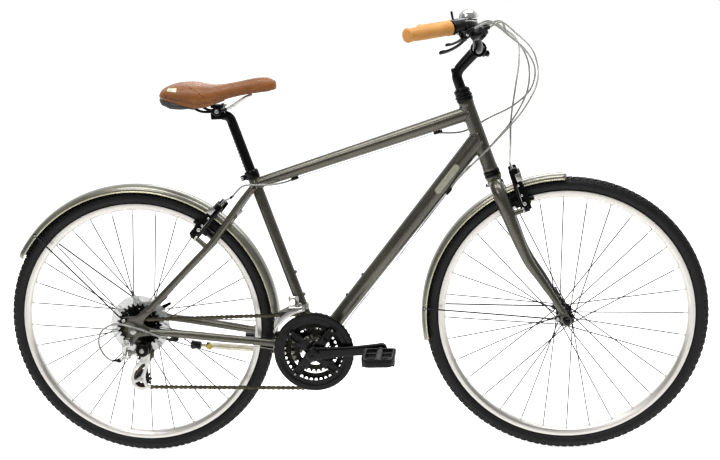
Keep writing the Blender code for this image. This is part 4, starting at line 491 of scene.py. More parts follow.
def sweep(points, radii, sides=20, flat=(1.0, 1.0), side=None, cap=0.5, square=1.0):
    """A bar along the points: flat squashes its section, square below 1 boxes it, cap rounds its ends."""
    pts = [Vector(p) for p in points]
    if not isinstance(radii, (list, tuple)):
        radii = [radii] * len(pts)
    radii = list(radii)
    if cap > 0:
        first, last = (pts[0] - pts[1]).normalized(), (pts[-1] - pts[-2]).normalized()
        r0, r1 = radii[0], radii[-1]
        head_rows = [(pts[0] + first * cap * r0 * sin(a), r0 * cos(a)) for a in (1.45, 1.1, 0.7, 0.3)]
        tail_rows = [(pts[-1] + last * cap * r1 * sin(a), r1 * cos(a)) for a in (0.3, 0.7, 1.1, 1.45)]
        pts = [p for p, r in head_rows] + pts + [p for p, r in tail_rows]
        radii = [r for p, r in head_rows] + radii + [r for p, r in tail_rows]
    normal = None
    rows = []
    for i, p in enumerate(pts):
        a, b = pts[max(i - 1, 0)], pts[min(i + 1, len(pts) - 1)]
        t = (b - a).normalized()
        if normal is None:
            normal = Vector(side) if side is not None else Z if abs(t.z) < 0.9 else X
        normal = (normal - t * normal.dot(t)).normalized()
        other = t.cross(normal)
        row = []
        for k in range(sides):
            c, s = cos(2 * pi * k / sides), sin(2 * pi * k / sides)
            c = abs(c) ** square * (1 if c >= 0 else -1)
            s = abs(s) ** square * (1 if s >= 0 else -1)
            row.append(p + normal * c * radii[i] * flat[0] + other * s * radii[i] * flat[1])
        rows.append(row)
    return grid(rows, True, size_u=2 * pi * max(radii), marks=lengths(pts))


def rod(a, b, r0, r1=None, sides=24, soft=0.0006, bore=0.0):
    """A straight turned bar with softened ends."""
    a, b = Vector(a), Vector(b)
    r1 = r0 if r1 is None else r1
    h = (b - a).length
    if bore > 0:
        return lathe([(bore, 0), (r0, 0), (r1, h), (bore, h)], a, b - a, sides, True, soft)
    return lathe([(0, 0), (r0, 0), (r1, h), (0, h)], a, b - a, sides, r=soft)


def block(centre, size, x_dir=X, z_dir=Z, soft=0.0003, segments=3):
    """A box with rounded edges; size goes along x_dir, across, and along z_dir."""
    bm = bmesh.new()
    bmesh.ops.create_cube(bm, size=1.0)
    bmesh.ops.scale(bm, vec=size, verts=bm.verts)
    bmesh.ops.bevel(bm, geom=bm.edges[:], offset=min(soft, min(size) * 0.45), segments=segments,
        affect="EDGES", profile=0.5)
    bm.transform(Matrix.Translation(Vector(centre)) @ basis(z_dir, x_dir).to_4x4())
    return shape(bm)


def plate(outline, thickness, centre, x_dir=X, y_dir=Z, holes=(), soft=0.0005):
    """A flat outline with holes, a thickness and rolled edges."""
    curve = bpy.data.curves.new("plate", "CURVE")
    curve.dimensions = "2D"
    curve.fill_mode = "BOTH"
    soft = min(soft, thickness * 0.45)
    curve.extrude = thickness / 2 - soft
    curve.bevel_depth = soft
    curve.bevel_resolution = 1
    curve.offset = -soft
    for loop in (outline, *holes):
        spline = curve.splines.new("POLY")
        spline.points.add(len(loop) - 1)
        for i, q in enumerate(loop):
            spline.points[i].co = q[0], q[1], 0, 1
        spline.use_cyclic_u = True
    x, y = Vector(x_dir).normalized(), Vector(y_dir).normalized()
    ob = placed("plate", curve)
    mesh = bpy.data.meshes.new_from_object(ob.evaluated_get(bpy.context.evaluated_depsgraph_get()))
    bpy.data.objects.remove(ob)
    mesh.transform(Matrix.Translation(Vector(centre)) @ Matrix((x, y, x.cross(y))).transposed().to_4x4())
    bm = bmesh.new()
    bm.from_mesh(mesh)
    return shape(bm)


def circle(u, v, r, n=24, start=0.0):
    return [(u + r * cos(start + 2 * pi * i / n), v + r * sin(start + 2 * pi * i / n)) for i in range(n)]


def arc(r, a0, a1, n, u=0.0, v=0.0):
    return [(u + r * cos(radians(a0 + (a1 - a0) * i / (n - 1))),
        v + r * sin(radians(a0 + (a1 - a0) * i / (n - 1)))) for i in range(n)]


def moved(mesh, matrix):
    out = mesh.copy()
    out.transform(matrix)
    return out


def piece(name, body, parts, replaces=(), sharp=42):
    """One object on a body from (mesh, material) pairs."""
    bm = bmesh.new()
    mats = []
    for mesh, mat in parts:
        if mat not in mats:
            mats.append(mat)
        mesh.polygons.foreach_set("material_index", [mats.index(mat)] * len(mesh.polygons))
        bm.from_mesh(mesh)
    mesh = bpy.data.meshes.new(name)
    bm.to_mesh(mesh)
    bm.free()
    for mat in mats:
        mesh.materials.append(mat)
    mesh.shade_smooth()
    mesh.set_sharp_from_angle(angle=radians(sharp))
    ob = placed(name, mesh)
    if body:
        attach(ob, body)
    if replaces:
        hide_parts(*replaces)
    return ob


# Geometry Nodes: one repeated shape spun round an axis, and links laid along a path
def new_tree(name, inputs):
    tree = bpy.data.node_groups.new(name, "GeometryNodeTree")
    ids = {}
    for label, kind in inputs:
        ids[label] = tree.interface.new_socket(label, in_out="INPUT", socket_type=kind).identifier
    tree.interface.new_socket("Geometry", in_out="OUTPUT", socket_type="NodeSocketGeometry")
    return tree, ids


def closed_tree(tree, ids, given, last):
    """Ends a tree: real geometry with its finish."""
    real = tree_node(tree, "GeometryNodeRealizeInstances", {"Geometry": last.outputs[0]})
    done = tree_node(tree, "GeometryNodeSetMaterial", {"Geometry": real.outputs[0],
        "Material": given["Finish"]})
    tree_node(tree, "NodeGroupOutput", {0: done.outputs[0]})
    return tree, ids


def spin_tree():
    tree, ids = new_tree("spin", (("Unit", "NodeSocketObject"), ("Count", "NodeSocketInt"),
        ("Axis", "NodeSocketVector"), ("Vary", "NodeSocketFloat"), ("Seed", "NodeSocketInt"),
        ("Finish", "NodeSocketMaterial")))
    given = tree.nodes.new("NodeGroupInput").outputs
    unit = tree_node(tree, "GeometryNodeObjectInfo", {"Object": given["Unit"]})
    line = tree_node(tree, "GeometryNodeMeshLine", {"Count": given["Count"], "Offset": (0, 0, 0)})
    index = tree.nodes.new("GeometryNodeInputIndex").outputs[0]
    step = tree_node(tree, "ShaderNodeMath", {0: 2 * pi, 1: given["Count"]}, operation="DIVIDE").outputs[0]
    wild = tree_node(tree, "FunctionNodeRandomValue", {"Seed": given["Seed"]}, data_type="FLOAT")
    wild.inputs[2].default_value, wild.inputs[3].default_value = -1.0, 1.0
    drift = tree_node(tree, "ShaderNodeMath", {0: wild.outputs[1], 1: given["Vary"]},
        operation="MULTIPLY").outputs[0]
    place = tree_node(tree, "ShaderNodeMath", {0: index, 1: drift}, operation="ADD").outputs[0]
    angle = tree_node(tree, "ShaderNodeMath", {0: place, 1: step}, operation="MULTIPLY").outputs[0]
    turn = tree_node(tree, "FunctionNodeAxisAngleToRotation", {"Axis": given["Axis"],
        "Angle": angle}).outputs[0]
    many = tree_node(tree, "GeometryNodeInstanceOnPoints", {"Points": line.outputs[0],
        "Instance": unit.outputs["Geometry"], "Rotation": turn})
    return closed_tree(tree, ids, given, many)


def path_tree():
    tree, ids = new_tree("links", (("Path", "NodeSocketObject"), ("Outer", "NodeSocketObject"),
        ("Inner", "NodeSocketObject"), ("Count", "NodeSocketInt"), ("Finish", "NodeSocketMaterial")))
    given = tree.nodes.new("NodeGroupInput").outputs
    path = tree_node(tree, "GeometryNodeObjectInfo", {"Object": given["Path"]})
    even_path = tree_node(tree, "GeometryNodeResampleCurve", {"Curve": path.outputs["Geometry"],
        "Count": given["Count"]})
    tangent = tree.nodes.new("GeometryNodeInputTangent").outputs[0]
    turn = tree_node(tree, "FunctionNodeAlignRotationToVector", {"Vector": tangent}, axis="X",
        pivot_axis="Y")
    index = tree.nodes.new("GeometryNodeInputIndex").outputs[0]
    odd = tree_node(tree, "ShaderNodeMath", {0: index, 1: 2.0}, operation="MODULO").outputs[0]
    join = tree.nodes.new("GeometryNodeJoinGeometry")
    for label, test in (("Outer", "GREATER_THAN"), ("Inner", "LESS_THAN")):
        unit = tree_node(tree, "GeometryNodeObjectInfo", {"Object": given[label]})
        pick = tree_node(tree, "ShaderNodeMath", {0: odd, 1: 0.5}, operation=test).outputs[0]
        many = tree_node(tree, "GeometryNodeInstanceOnPoints", {"Points": even_path.outputs[0],
            "Instance": unit.outputs["Geometry"], "Rotation": turn.outputs[0], "Selection": pick})
        tree.links.new(many.outputs[0], join.inputs[0])
    return closed_tree(tree, ids, given, join)


SPIN, LAID = spin_tree(), path_tree()


def grown(trees, values):
    """Runs a tree with its named inputs set and gives the result as a plain mesh."""
    tree, ids = trees
    host = placed("host", bpy.data.meshes.new("host"))
    mod = host.modifiers.new("repeat", "NODES")
    mod.node_group = tree
    helpers = []
    for label, value in values.items():
        if isinstance(value, (bpy.types.Mesh, bpy.types.Curve)):
            value = placed("unit", value)
            helpers.append(value)
        mod[ids[label]] = value
    host.update_tag()
    bpy.context.view_layer.update()
    mesh = bpy.data.meshes.new_from_object(host.evaluated_get(bpy.context.evaluated_depsgraph_get()))
    host.modifiers.remove(mod)
    bpy.data.objects.remove(host)
    for helper in helpers:
        bpy.data.objects.remove(helper)
    return mesh


def spun(unit, count, centre, mat, axis=(0, 1, 0), vary=0.0, seed=3):
    mesh = grown(SPIN, {"Unit": unit, "Count": count, "Axis": axis, "Vary": vary, "Seed": seed,
        "Finish": mat})
    mesh.transform(Matrix.Translation(Vector(centre)))
    return mesh


def merged(meshes):
    bm = bmesh.new()
    for mesh in meshes:
        bm.from_mesh(mesh)
    mesh = bpy.data.meshes.new("unit")
    bm.to_mesh(mesh)
    bm.free()
    return mesh


# Wheels
def tyre_profile():
    keys = [(0.3083, 0.009), (0.315, 0.0096), (0.3178, 0.0118), (0.3225, 0.016), (0.3285, 0.0184),
        (0.334, 0.0179), (0.3395, 0.015), (0.3436, 0.0107), (0.3462, 0.0055), (0.3471, 0.0)]
    outer = [(p.x, p.y) for p in span([vec(r, y, 0) for r, y in keys], 3)]
    return outer[:-1] + [(r, -y) for r, y in reversed(outer)][:-1] + [(0.3083, -0.009)]


TREADS = 124


def tread_unit(lean):
    """One pitch of tread: centre lugs, slanted middle lugs and shoulder lugs, standing on the casing."""
    parts = []
    step = 2 * pi / TREADS
    rows = (0.0, 0.003, 0.0042, 0.0088, 0.0, 0.3482), (0.5, -0.003, 0.0042, 0.0088, 0.0, 0.3482), (0.25,
        0.008, 0.0042, 0.008, 0.45, 0.3468), (0.75, -0.008, 0.0042, 0.008, -0.45, 0.3468), (0.05, 0.0126,
        0.0038, 0.0056, 0.2, 0.3434), (0.55, 0.0126, 0.0038, 0.0056, 0.2, 0.3434), (0.3, -0.0126, 0.0038,
        0.0056, -0.2, 0.3434), (0.8, -0.0126, 0.0038, 0.0056, -0.2, 0.3434), (0.2, 0.016, 0.0024, 0.008,
        0.0, 0.3389), (0.7, -0.016, 0.0024, 0.008, 0.0, 0.3389)
    for share, y, wide, long_side, yaw, radius in rows:
        a = step * share
        out = vec(cos(a), 0, sin(a))
        along = vec(-sin(a), 0, cos(a))
        up = (out * sqrt(max(1 - (y / 0.0205) ** 2, 0.05)) + Y * y / 0.0205).normalized()
        way = (along * cos(yaw * lean) + Y * sin(yaw * lean)).normalized()
        centre = out * (radius - 0.0011) + Y * y
        parts.append(block(centre, (long_side, wide, 0.0026), way, up, 0.0006, 1))
    return merged(parts)


RIM_SHAPE = [(0.315, -0.0125), (0.315, -0.0108), (0.3118, -0.0097), (0.3079, -0.0096), (0.3079, 0.0096),
    (0.3118, 0.0097), (0.315, 0.0108), (0.315, 0.0125), (0.3049, 0.0125), (0.3044, 0.0118), (0.301, 0.0104),
    (0.2982, 0.007), (0.2974, 0.003), (0.2974, -0.003), (0.2982, -0.007), (0.301, -0.0104),
    (0.3044, -0.0118), (0.3049, -0.0125)]


def spoke_unit(right, left, hole):
    """Two leading and two trailing spokes with their elbows, one pattern's worth, and their nipples."""
    wires, nipples = [], []
    step = 2 * pi / 16
    for flange, y in enumerate((right, left)):
        for i in (0, 1):
            lead = 1 if i == 0 else -1
            a = i * step + flange * step / 2
            b = a + lead * 3 * step
            out = lead * (-1 if y < 0 else 1)
            hole_at = vec(hole * cos(a), y, hole * sin(a))
            end = vec(0.299 * cos(b), 0.0022 if y > 0 else -0.0022, 0.299 * sin(b))
            near = hole_at + Y * 0.0021 * out
            way = (end - near).normalized()
            far_side = hole_at - Y * 0.0026 * out
            wires += [
                sweep([far_side, hole_at, near + way * 0.0008, near + way * 0.004, end - way * 0.004],
                    0.0014, 8, cap=0.6),
                lathe([(0, 0), (0.0019, 0.0001), (0.0019, 0.0006), (0, 0.0012)], far_side, -Y * out, 8, r=0)]
            nipples.append(lathe([(0.001, 0), (0.0016, 0.0004), (0.0017, 0.0075), (0.0021, 0.0085),
                (0.0021, 0.0118), (0, 0.012)], end - way * 0.0125, way, 10, r=0))
    return merged(wires), merged(nipples)


def hub_profile(points, bore=0.0058):
    return list(points) + [(bore, points[-1][1]), (bore, points[0][1])]


FRONT_HUB = (0.0082, -0.0438), (0.0112, -0.0432), (0.0122, -0.0372), (0.02, -0.0363), (0.0205,
    -0.0352), (0.0203, -0.033), (0.015, -0.0318), (0.0122, -0.029), (0.0104, -0.024), (0.01, 0.0), (0.0104,
    0.024), (0.0122, 0.029), (0.015, 0.0318), (0.0203, 0.033), (0.0205, 0.0352), (0.02, 0.0363), (0.0122,
    0.0372), (0.0112, 0.0432), (0.0082, 0.0438)
REAR_HUB = (0.0125, -0.0655), (0.016, -0.064), (0.0163, -0.0225), (0.0236, -0.0192), (0.0238,
    -0.0158), (0.018, -0.0142), (0.0152, -0.01), (0.0135, -0.004), (0.013, 0.008), (0.0138, 0.024), (0.0165,
    0.03), (0.0233, 0.033), (0.0235, 0.0362), (0.014, 0.0378), (0.0122, 0.042), (0.0113, 0.059)


def make_wheel(body, centre, hub_points, right, left, hole, hub_mat, lean):
    crown = tread_unit(lean)
    piece(body + "_casing", body, [(lathe(tyre_profile(), centre, Y, 144, True, 0), RUBBER),
        (spun(crown, TREADS, centre, RUBBER, vary=0.02, seed=7), RUBBER)],
        ("front_tyre" if body == "front_wheel" else "rear_tyre",), 45)
    eyelet = lathe([(0.0, 0.0), (0.0031, 0.0), (0.0029, 0.0009), (0.0018, 0.0012), (0, 0.001)],
        (0.2976, 0, 0), (-1, 0, 0), 12, r=0)
    piece(body + "_hoop", body, [(lathe(RIM_SHAPE, centre, Y, 144, True, 0.0004, 1), RIM),
        (spun(eyelet, 32, centre, SILVER), SILVER)], ("front_rim" if body == "front_wheel"
        else "rear_rim",), 30)
    wires, nipples = spoke_unit(right, left, hole)
    piece(body + "_spokes", body, [(spun(wires, 8, centre, SPOKE), SPOKE),
        (spun(nipples, 8, centre, SILVER), SILVER)], (), 38.0)
    parts = [(lathe(hub_profile(hub_points), centre, Y, 48, True, 0.0005), hub_mat)]
    for y in (right, left):
        rivet = lathe([(0, -0.0021), (0.0016, -0.0021), (0.0022, -0.0017), (0.0022, 0.0017),
            (0.0016, 0.0021), (0, 0.0021)], (hole, y, 0), steps=8, r=0)
        parts.append((spun(rivet, 16, centre, TURNED), TURNED))
    piece(body + "_shell", body, parts, ("front_hub" if body == "front_wheel" else "rear_hub",),
        38.0)


make_wheel("front_wheel", FRONT, FRONT_HUB, -0.0346, 0.0346, 0.0172, BLACK, 1)
make_wheel("rear_wheel", REAR, REAR_HUB, -0.0175, 0.0346, 0.0205, SILVER, -1)

disc_rows = [(0.0171, -0.0237), (0.024, -0.024), (0.04, -0.0236), (0.06, -0.024), (0.0765, -0.0237),
    (0.078, -0.0243), (0.0783, -0.0232), (0.0765, -0.0227), (0.04, -0.0226), (0.0171, -0.0227)]
tab = block((0.07, -0.0222, 0), (0.011, 0.0016, 0.004), soft=0.0006)
piece("wheel_disc", "rear_wheel", [(lathe(disc_rows, REAR, Y, 96, True, 0.0002, 1), DISC),
    (spun(tab, 8, REAR, DISC), DISC)], ("spoke_protector",), 38.0)


def axle_set(name, body, centre, half, out, inner_right, inner_left, replaced, finish):
    """Rod, cones, locknuts, the ribbed cap nut on the right and the cam head on the left."""
    r = 0.0048
    rows = [(0, -out - 0.014), (0.0068, -out - 0.014), (0.008, -out - 0.0126), (0.009, -out - 0.01),
        (0.0092, -out - 0.0003), (r, -out - 0.0003), (r, -half), (0.0088, -half), (0.0088, -half + 0.0028),
        (0.0074, -half + 0.003), (0.0074, -inner_right - 0.0004), (0.0088, -inner_right), (r, -inner_right),
        (r, inner_left), (0.0088, inner_left), (0.0074, inner_left + 0.0006), (0.0074, half - 0.003),
        (0.0088, half - 0.0028), (0.0088, half), (r, half), (r, out + 0.0003), (0.0095, out + 0.0003),
        (0.0095, out + 0.006), (0.008, out + 0.008), (0.0082, out + 0.012), (0, out + 0.012)]
    parts = [(lathe(rows, centre, Y, 40, False, 0.0003, 1), finish)]
    rib = block((0.0086, -out - 0.0052, 0), (0.0014, 0.0078, 0.0009), segments=1)
    parts.append((spun(rib, 20, centre, finish), finish))
    piece(name, body, parts, (replaced,), 38.0)


FRONT_OUT, REAR_OUT = 0.0559, 0.0738
axle_set("front_axle_set", "steering", FRONT, 0.05, FRONT_OUT, 0.044, 0.044, "front_axle", BLACK)
axle_set("rear_axle_set", "frame", REAR, 0.0675, REAR_OUT, 0.0662, 0.0596, "rear_axle", TURNED)


def cam_lever(name, body, centre, out, direction, replaced):
    d = Vector(direction).normalized()
    axis = d.cross(Y).normalized()
    pivot = centre + Y * (out + 0.0174)
    route = [pivot, pivot + d * 0.015 + Y * 0.0035, pivot + d * 0.035 + Y * 0.006,
        pivot + d * 0.052 + Y * 0.005]
    pts = even(span(route), 24)
    radii = [0.0042 + 0.0018 * sin(pi * min(i / 23 * 1.15, 1)) for i in range(24)]
    parts = [
        (sweep(pts, radii, 24, (0.62, 1.0), Y, 0.9), BLACK),
        (rod(pivot - axis * 0.0082, pivot + axis * 0.0082, 0.005), BLACK),
        (lathe([(0, -0.0004), (0.003, -0.0004), (0.003, 0.0006), (0.0014, 0.0008), (0.0013, 0), (0, 0)],
            pivot + axis * 0.0082, axis, 16, r=0.0002, n=1), TURNED)]
    piece(name, body, parts, (replaced,), sharp=38.0)


cam_lever("front_cam_lever", "front_quick_release", FRONT, FRONT_OUT, (-0.35, 0, 0.94),
    "front_quick_release")
cam_lever("rear_cam_lever", "rear_quick_release", REAR, REAR_OUT, (0.89, 0, 0.45), "rear_quick_release")

# Frame
TOP_LOW, TOP_HIGH = at(0.322, 0, 0.7035), at(0.8615, 0, 0.8614)
DOWN_HIGH = at(0.8816, 0, 0.7986)
TOP_R, DOWN_R = (0.01385, 0.0182), (0.0186, 0.0224)
TOP_DIR, DOWN_DIR = (TOP_HIGH - TOP_LOW).normalized(), (DOWN_HIGH - BRACKET).normalized()
TOP_UNDER, DOWN_UNDER = -TOP_DIR.cross(Y), -DOWN_DIR.cross(Y)


def down_radius(t):
    return DOWN_R[0] + (DOWN_R[1] - DOWN_R[0]) * t


def tt_under(x, drop=0.003):
    """A point under the top tube at X, DROP below its skin."""
    k = (at(x, 0, 0).x - TOP_LOW.x) / (TOP_HIGH.x - TOP_LOW.x)
    return TOP_LOW.lerp(TOP_HIGH, k) + TOP_UNDER * (TOP_R[0] + (TOP_R[1] - TOP_R[0]) * k + drop)


def dt_under(t, y, drop=0.0):
    """A point under the down tube at the share T of its length, Y off the middle, DROP below its skin."""
    return BRACKET.lerp(DOWN_HIGH, t) + DOWN_UNDER * sqrt(max((down_radius(t) + drop) ** 2 - y * y,
        0.0)) + Y * y
HEAD_R, SEAT_R, POST_R = 0.0182, 0.0143, 0.0127
HEAD_LONG, SEAT_LONG = 0.1795, 0.476
CHAINSTAY = (0.447, 0.019, 0.282), (0.405, 0.0255, 0.289), (0.36, 0.0345, 0.2965), (0.3, 0.044,
    0.307), (0.22, 0.0535, 0.319), (0.14, 0.061, 0.331), (0.08, 0.066, 0.3385), (0.04, 0.0688, 0.3425)
CHAINSTAY_R = 0.01, 0.0095, 0.0093, 0.0098, 0.0104, 0.0105, 0.0096, 0.0086
SEATSTAY = (0.316, 0.0185, 0.695), (0.285, 0.026, 0.659), (0.2138, 0.043, 0.5685), (0.16, 0.053,
    0.516), (0.095, 0.063, 0.454), (0.04, 0.069, 0.4005)
SEATSTAY_R = 0.0085, 0.0086, 0.0087, 0.0084, 0.008, 0.008
STAY_TILT = radians(46.3)
STAY_UP, STAY_BACK = vec(cos(STAY_TILT), 0, sin(STAY_TILT)), vec(-sin(STAY_TILT), 0, cos(STAY_TILT))
DROP_Y = 0.0708
EYELET = -0.024, 0.0275
STAND_PIVOT = at(0.393, 0.03, 0.247)
STAND_FOLDED = (at(0.122, 0.074, 0.2565) - STAND_PIVOT).normalized()
STAND_AXIS = STAND_FOLDED.cross(vec(-0.16, 0.4, -0.86).normalized()).normalized()
if STAND_AXIS.y < 0:
    STAND_AXIS = -STAND_AXIS


def stay_point(radius, back=0.0, y=0.0):
    foot = at(0.2138, 0, 0.5685)
    off = foot - REAR - STAY_UP * (foot - REAR).dot(STAY_UP)
    return REAR + off + STAY_UP * radius + STAY_BACK * back + Y * y


def long_tube(a, b, r0, r1=None, sides=56):
    pts = even([Vector(a), Vector(b)], 14)
    r1 = r0 if r1 is None else r1
    return sweep(pts, [r0 + (r1 - r0) * i / 13 for i in range(14)], sides, cap=0.0)


def weld(a0, a_dir, ra, b0, b_dir, rb, bead=0.0026, reach=1.0):
    """The bead where a tube at b0 running along b_dir meets a tube of radius ra about a0."""
    a_dir, b_dir = Vector(a_dir).normalized(), Vector(b_dir).normalized()
    n = basis(b_dir)
    u, v = n.col[0], n.col[1]
    pts = []
    count = 72
    for k in range(count):
        phi = 2 * pi * k / count
        p = Vector(b0) + (u * cos(phi) + v * sin(phi)) * rb - Vector(a0)
        p0, d0 = p - a_dir * p.dot(a_dir), b_dir - a_dir * b_dir.dot(a_dir)
        qa, qb, qc = d0.dot(d0), 2 * p0.dot(d0), p0.dot(p0) - (ra * reach) ** 2
        disc = qb * qb - 4 * qa * qc
        t = (-qb - sqrt(disc)) / (2 * qa) if disc > 0 else -qb / (2 * qa)
        pts.append(Vector(a0) + p + b_dir * t)
    pts.append(pts[0])
    pts.append(pts[1])
    radii = [bead * (1 + 0.07 * sin(k * 2.1)) for k in range(len(pts))]
    return sweep(pts, radii, 10, cap=0.0)


def dropout_outline(drive):
    low = [(-0.0165, -0.01), (-0.0295, -0.0235), (-0.029, -0.0365), (-0.0175, -0.0425), (-0.005, -0.037),
        (0.0105, -0.018)]
    if not drive:
        low = [(-0.016, -0.01), (-0.011, -0.017), (-0.0052, -0.0186)]
    top = [(0.052, 0.048), (0.044, 0.061), (0.03, 0.056), (0.006, 0.036), (-0.016, 0.036), (-0.031, 0.033),
        (-0.032, 0.021), (-0.0185, 0.013)] + low
    tail = [(0.04, -0.0155), (0.058, -0.014), (0.06, 0.0), (0.033, 0.007), (0.023, 0.018), (0.03, 0.031)]
    if not drive:
        tail = [(0.012, -0.017)] + tail
    return flat(top + tail, 0.006)


def frame_tubes():
    parts = [
        lathe([(0.0163, 0.0008), (0.0189, 0.0008), (0.0192, 0.006), (HEAD_R, 0.013),
            (HEAD_R, HEAD_LONG - 0.013), (0.0192, HEAD_LONG - 0.006), (0.0189, HEAD_LONG),
            (0.0163, HEAD_LONG)], head(0), HEAD_UP, 64, True, 0.001),
        long_tube(TOP_LOW, TOP_HIGH, *TOP_R),
        long_tube(BRACKET, DOWN_HIGH, *DOWN_R),
        lathe([(POST_R + 0.0003, 0.19), (SEAT_R, 0.0), (SEAT_R, SEAT_LONG), (POST_R + 0.0003, SEAT_LONG)],
            seat(0), SEAT_UP, 56, True, 0.0004),
        lathe(sleeve(0.0175, SHELL_R, 0.034), BRACKET, Y, 64, True, 0.001),
        weld(head(0), HEAD_UP, HEAD_R, TOP_HIGH - TOP_DIR * 0.08, TOP_DIR, TOP_R[1]),
        weld(head(0), HEAD_UP, HEAD_R, DOWN_HIGH - DOWN_DIR * 0.08, DOWN_DIR, DOWN_R[1] * 0.99),
        weld(seat(0), SEAT_UP, SEAT_R, TOP_LOW + TOP_DIR * 0.1, -TOP_DIR, TOP_R[0]),
        weld(BRACKET, Y, SHELL_R, BRACKET + DOWN_DIR * 0.1, -DOWN_DIR, DOWN_R[0]),
        weld(BRACKET, Y, SHELL_R, BRACKET + SEAT_UP * 0.1, -SEAT_UP, SEAT_R)]
    for sign in (-1, 1):
        stay = [at(x, y * sign, z) for x, y, z in CHAINSTAY]
        pts = even(span(stay), 40)
        parts.append(sweep(pts, taper(CHAINSTAY_R, stay, pts), 32, cap=0.8))
        way = (stay[0] - stay[1]).normalized()
        parts.append(weld(BRACKET, Y, SHELL_R, stay[1], way, 0.0098, 0.0022))
        stay = [at(x, y * sign, z) for x, y, z in SEATSTAY]
        pts = even(span(stay), 36)
        parts.append(sweep(pts, taper(SEATSTAY_R, stay, pts), 32, cap=0.8))
        way = (stay[0] - stay[1]).normalized()
        parts.append(weld(seat(0), SEAT_UP, SEAT_R, stay[1], way, 0.0085, 0.0022))
        slot = circle(0, 0, 0.0052)
        parts.append(plate(dropout_outline(sign < 0), 0.006, REAR + Y * DROP_Y * sign, X, Z, (slot,),
            0.0012))
        base = stay_point(0.283, y=0.044 * sign)
        parts.append(lathe([(0, 0.0), (0.0075, 0.0), (0.0066, 0.012), (0.0062, 0.036), (0, 0.036)], base,
            STAY_BACK, 28, r=0.001))
        eye = REAR + vec(EYELET[0], DROP_Y * sign, EYELET[1])
        parts.append(lathe(sleeve(0.0022, 0.0058, 0.0038), eye, Y, 24, True, 0.0008))
    top = stay_point(0.389)
    parts.append(long_tube(top - Y * 0.034, top + Y * 0.034, 0.0065, None, 32))
    bridge = at(0.385, 0, 0.2925)
    parts += [
        long_tube(bridge - Y * 0.03, bridge + Y * 0.03, 0.0065, None, 32),
        block(at(0.404, 0.0, 0.2775), (0.034, 0.07, 0.01), (1, 0, -0.16), (0.16, 0, 1), 0.0022),
        rod(STAND_PIVOT - STAND_AXIS * 0.018, STAND_PIVOT, 0.01, soft=0.0012),
        rod(at(0.4, 0.016, 0.2775), STAND_PIVOT - STAND_AXIS * 0.011, 0.0075, soft=0.001)]
    return merged(parts)


def screw_head(at_point, way, r=0.0044, h=0.004):
    """A hexagon-socket button head."""
    return lathe([(0, 0), (r, 0), (r, h * 0.45), (r * 0.8, h), (r * 0.45, h), (r * 0.42, h * 0.35),
        (0, h * 0.35)], at_point, way, 20, r=0.0003, n=1)


def frame_fittings():
    """Cable stops, bottle bosses with their screws, and the bottom bracket's cups."""
    parts = []
    for x, way in ((0.7751, 1), (0.4177, -1)):
        p = tt_under(x, 0.0)
        c = p + TOP_UNDER * 0.0036
        parts += [
            (lathe([(0.0016, -0.009), (0.0036, -0.009), (0.0042, 0.002), (0.0042, 0.009), (0.0026, 0.009),
                (0.0026, 0.001), (0.0016, 0.0005)], c, TOP_DIR * way, 24, True, 0.0005), BLACK),
            (block(p + TOP_UNDER * 0.0004, (0.016, 0.005, 0.004), TOP_DIR, TOP_UNDER, 0.0015), BLACK)]
    low = DOWN_UNDER
    for y in (-0.012, 0.012):
        c = dt_under(0.78, y, 0.0034)
        parts += [
            (lathe([(0.0014, -0.009), (0.0036, -0.009), (0.0042, 0.009), (0.0026, 0.009), (0.0026, 0.0),
                (0.0014, 0.0)], c, DOWN_DIR, 24, True, 0.0005), BLACK),
            (block(c - low * 0.003, (0.018, 0.005, 0.0044), DOWN_DIR, low, 0.0015), PAINT)]
    for s in (0.1986, 0.1371):
        parts += [
            (rod(seat(s, 0.01), seat(s, 0.0172), 0.0048), PAINT),
            (screw_head(seat(s, 0.0172), SEAT_FWD, 0.0036, 0.0024), TURNED)]
    for t in (0.23, 0.33):
        p = BRACKET.lerp(DOWN_HIGH, t)
        r = down_radius(t)
        parts += [
            (rod(p - low * (r - 0.006), p - low * (r + 0.0012), 0.0048), PAINT),
            (screw_head(p - low * (r + 0.0012), -low, 0.0036, 0.0024), TURNED)]
    for sign in (-1, 1):
        parts.append((lathe([(0.0091, 0.033), (0.0175, 0.033), (0.0172, 0.0372), (0.013, 0.0376),
            (0.0091, 0.0376)], BRACKET, Y * sign, 48, True), BLACK))
    parts += [
        (lathe([(0.0022, -0.011), (0.0042, -0.011), (0.0046, 0.01), (0.003, 0.011), (0.0022, 0.011)],
            at(0.0985, -0.069, 0.3215), (-0.99, -0.05, 0.03), 24, True, 0.0005), BLACK),
        (block(at(0.101, -0.066, 0.3245), (0.02, 0.005, 0.007), soft=0.0015), PAINT)]
    return parts


def badge():
    """The plain pale rounded plate on the right side of the down tube."""
    a = (at(0.7745, 0, 0) - BRACKET).x / (DOWN_HIGH - BRACKET).x
    b = (at(0.83, 0, 0) - BRACKET).x / (DOWN_HIGH - BRACKET).x
    rows = []
    n = 48
    span_len = (DOWN_HIGH - BRACKET).length * (b - a)
    half = 0.008
    for i in range(n + 1):
        t = a + (b - a) * i / n
        d = span_len * i / n
        edge = min(d, span_len - d)
        w = half if edge > half else sqrt(max(half ** 2 - (half - edge) ** 2, 1e-09))
        r = down_radius(t) + 0.00025
        c = BRACKET.lerp(DOWN_HIGH, t)
        row = []
        for k in range(9):
            phi = -w / r + 2 * w / r * k / 8 + 0.05
            row.append(c - Y * cos(phi) * r - DOWN_UNDER * sin(phi) * r)
        for k in range(9):
            phi = w / r - 2 * w / r * k / 8 + 0.05
            row.append(c - Y * cos(phi) * (r - 0.0005) - DOWN_UNDER * sin(phi) * (r - 0.0005))
        rows.append(row)
    return grid(rows, True)


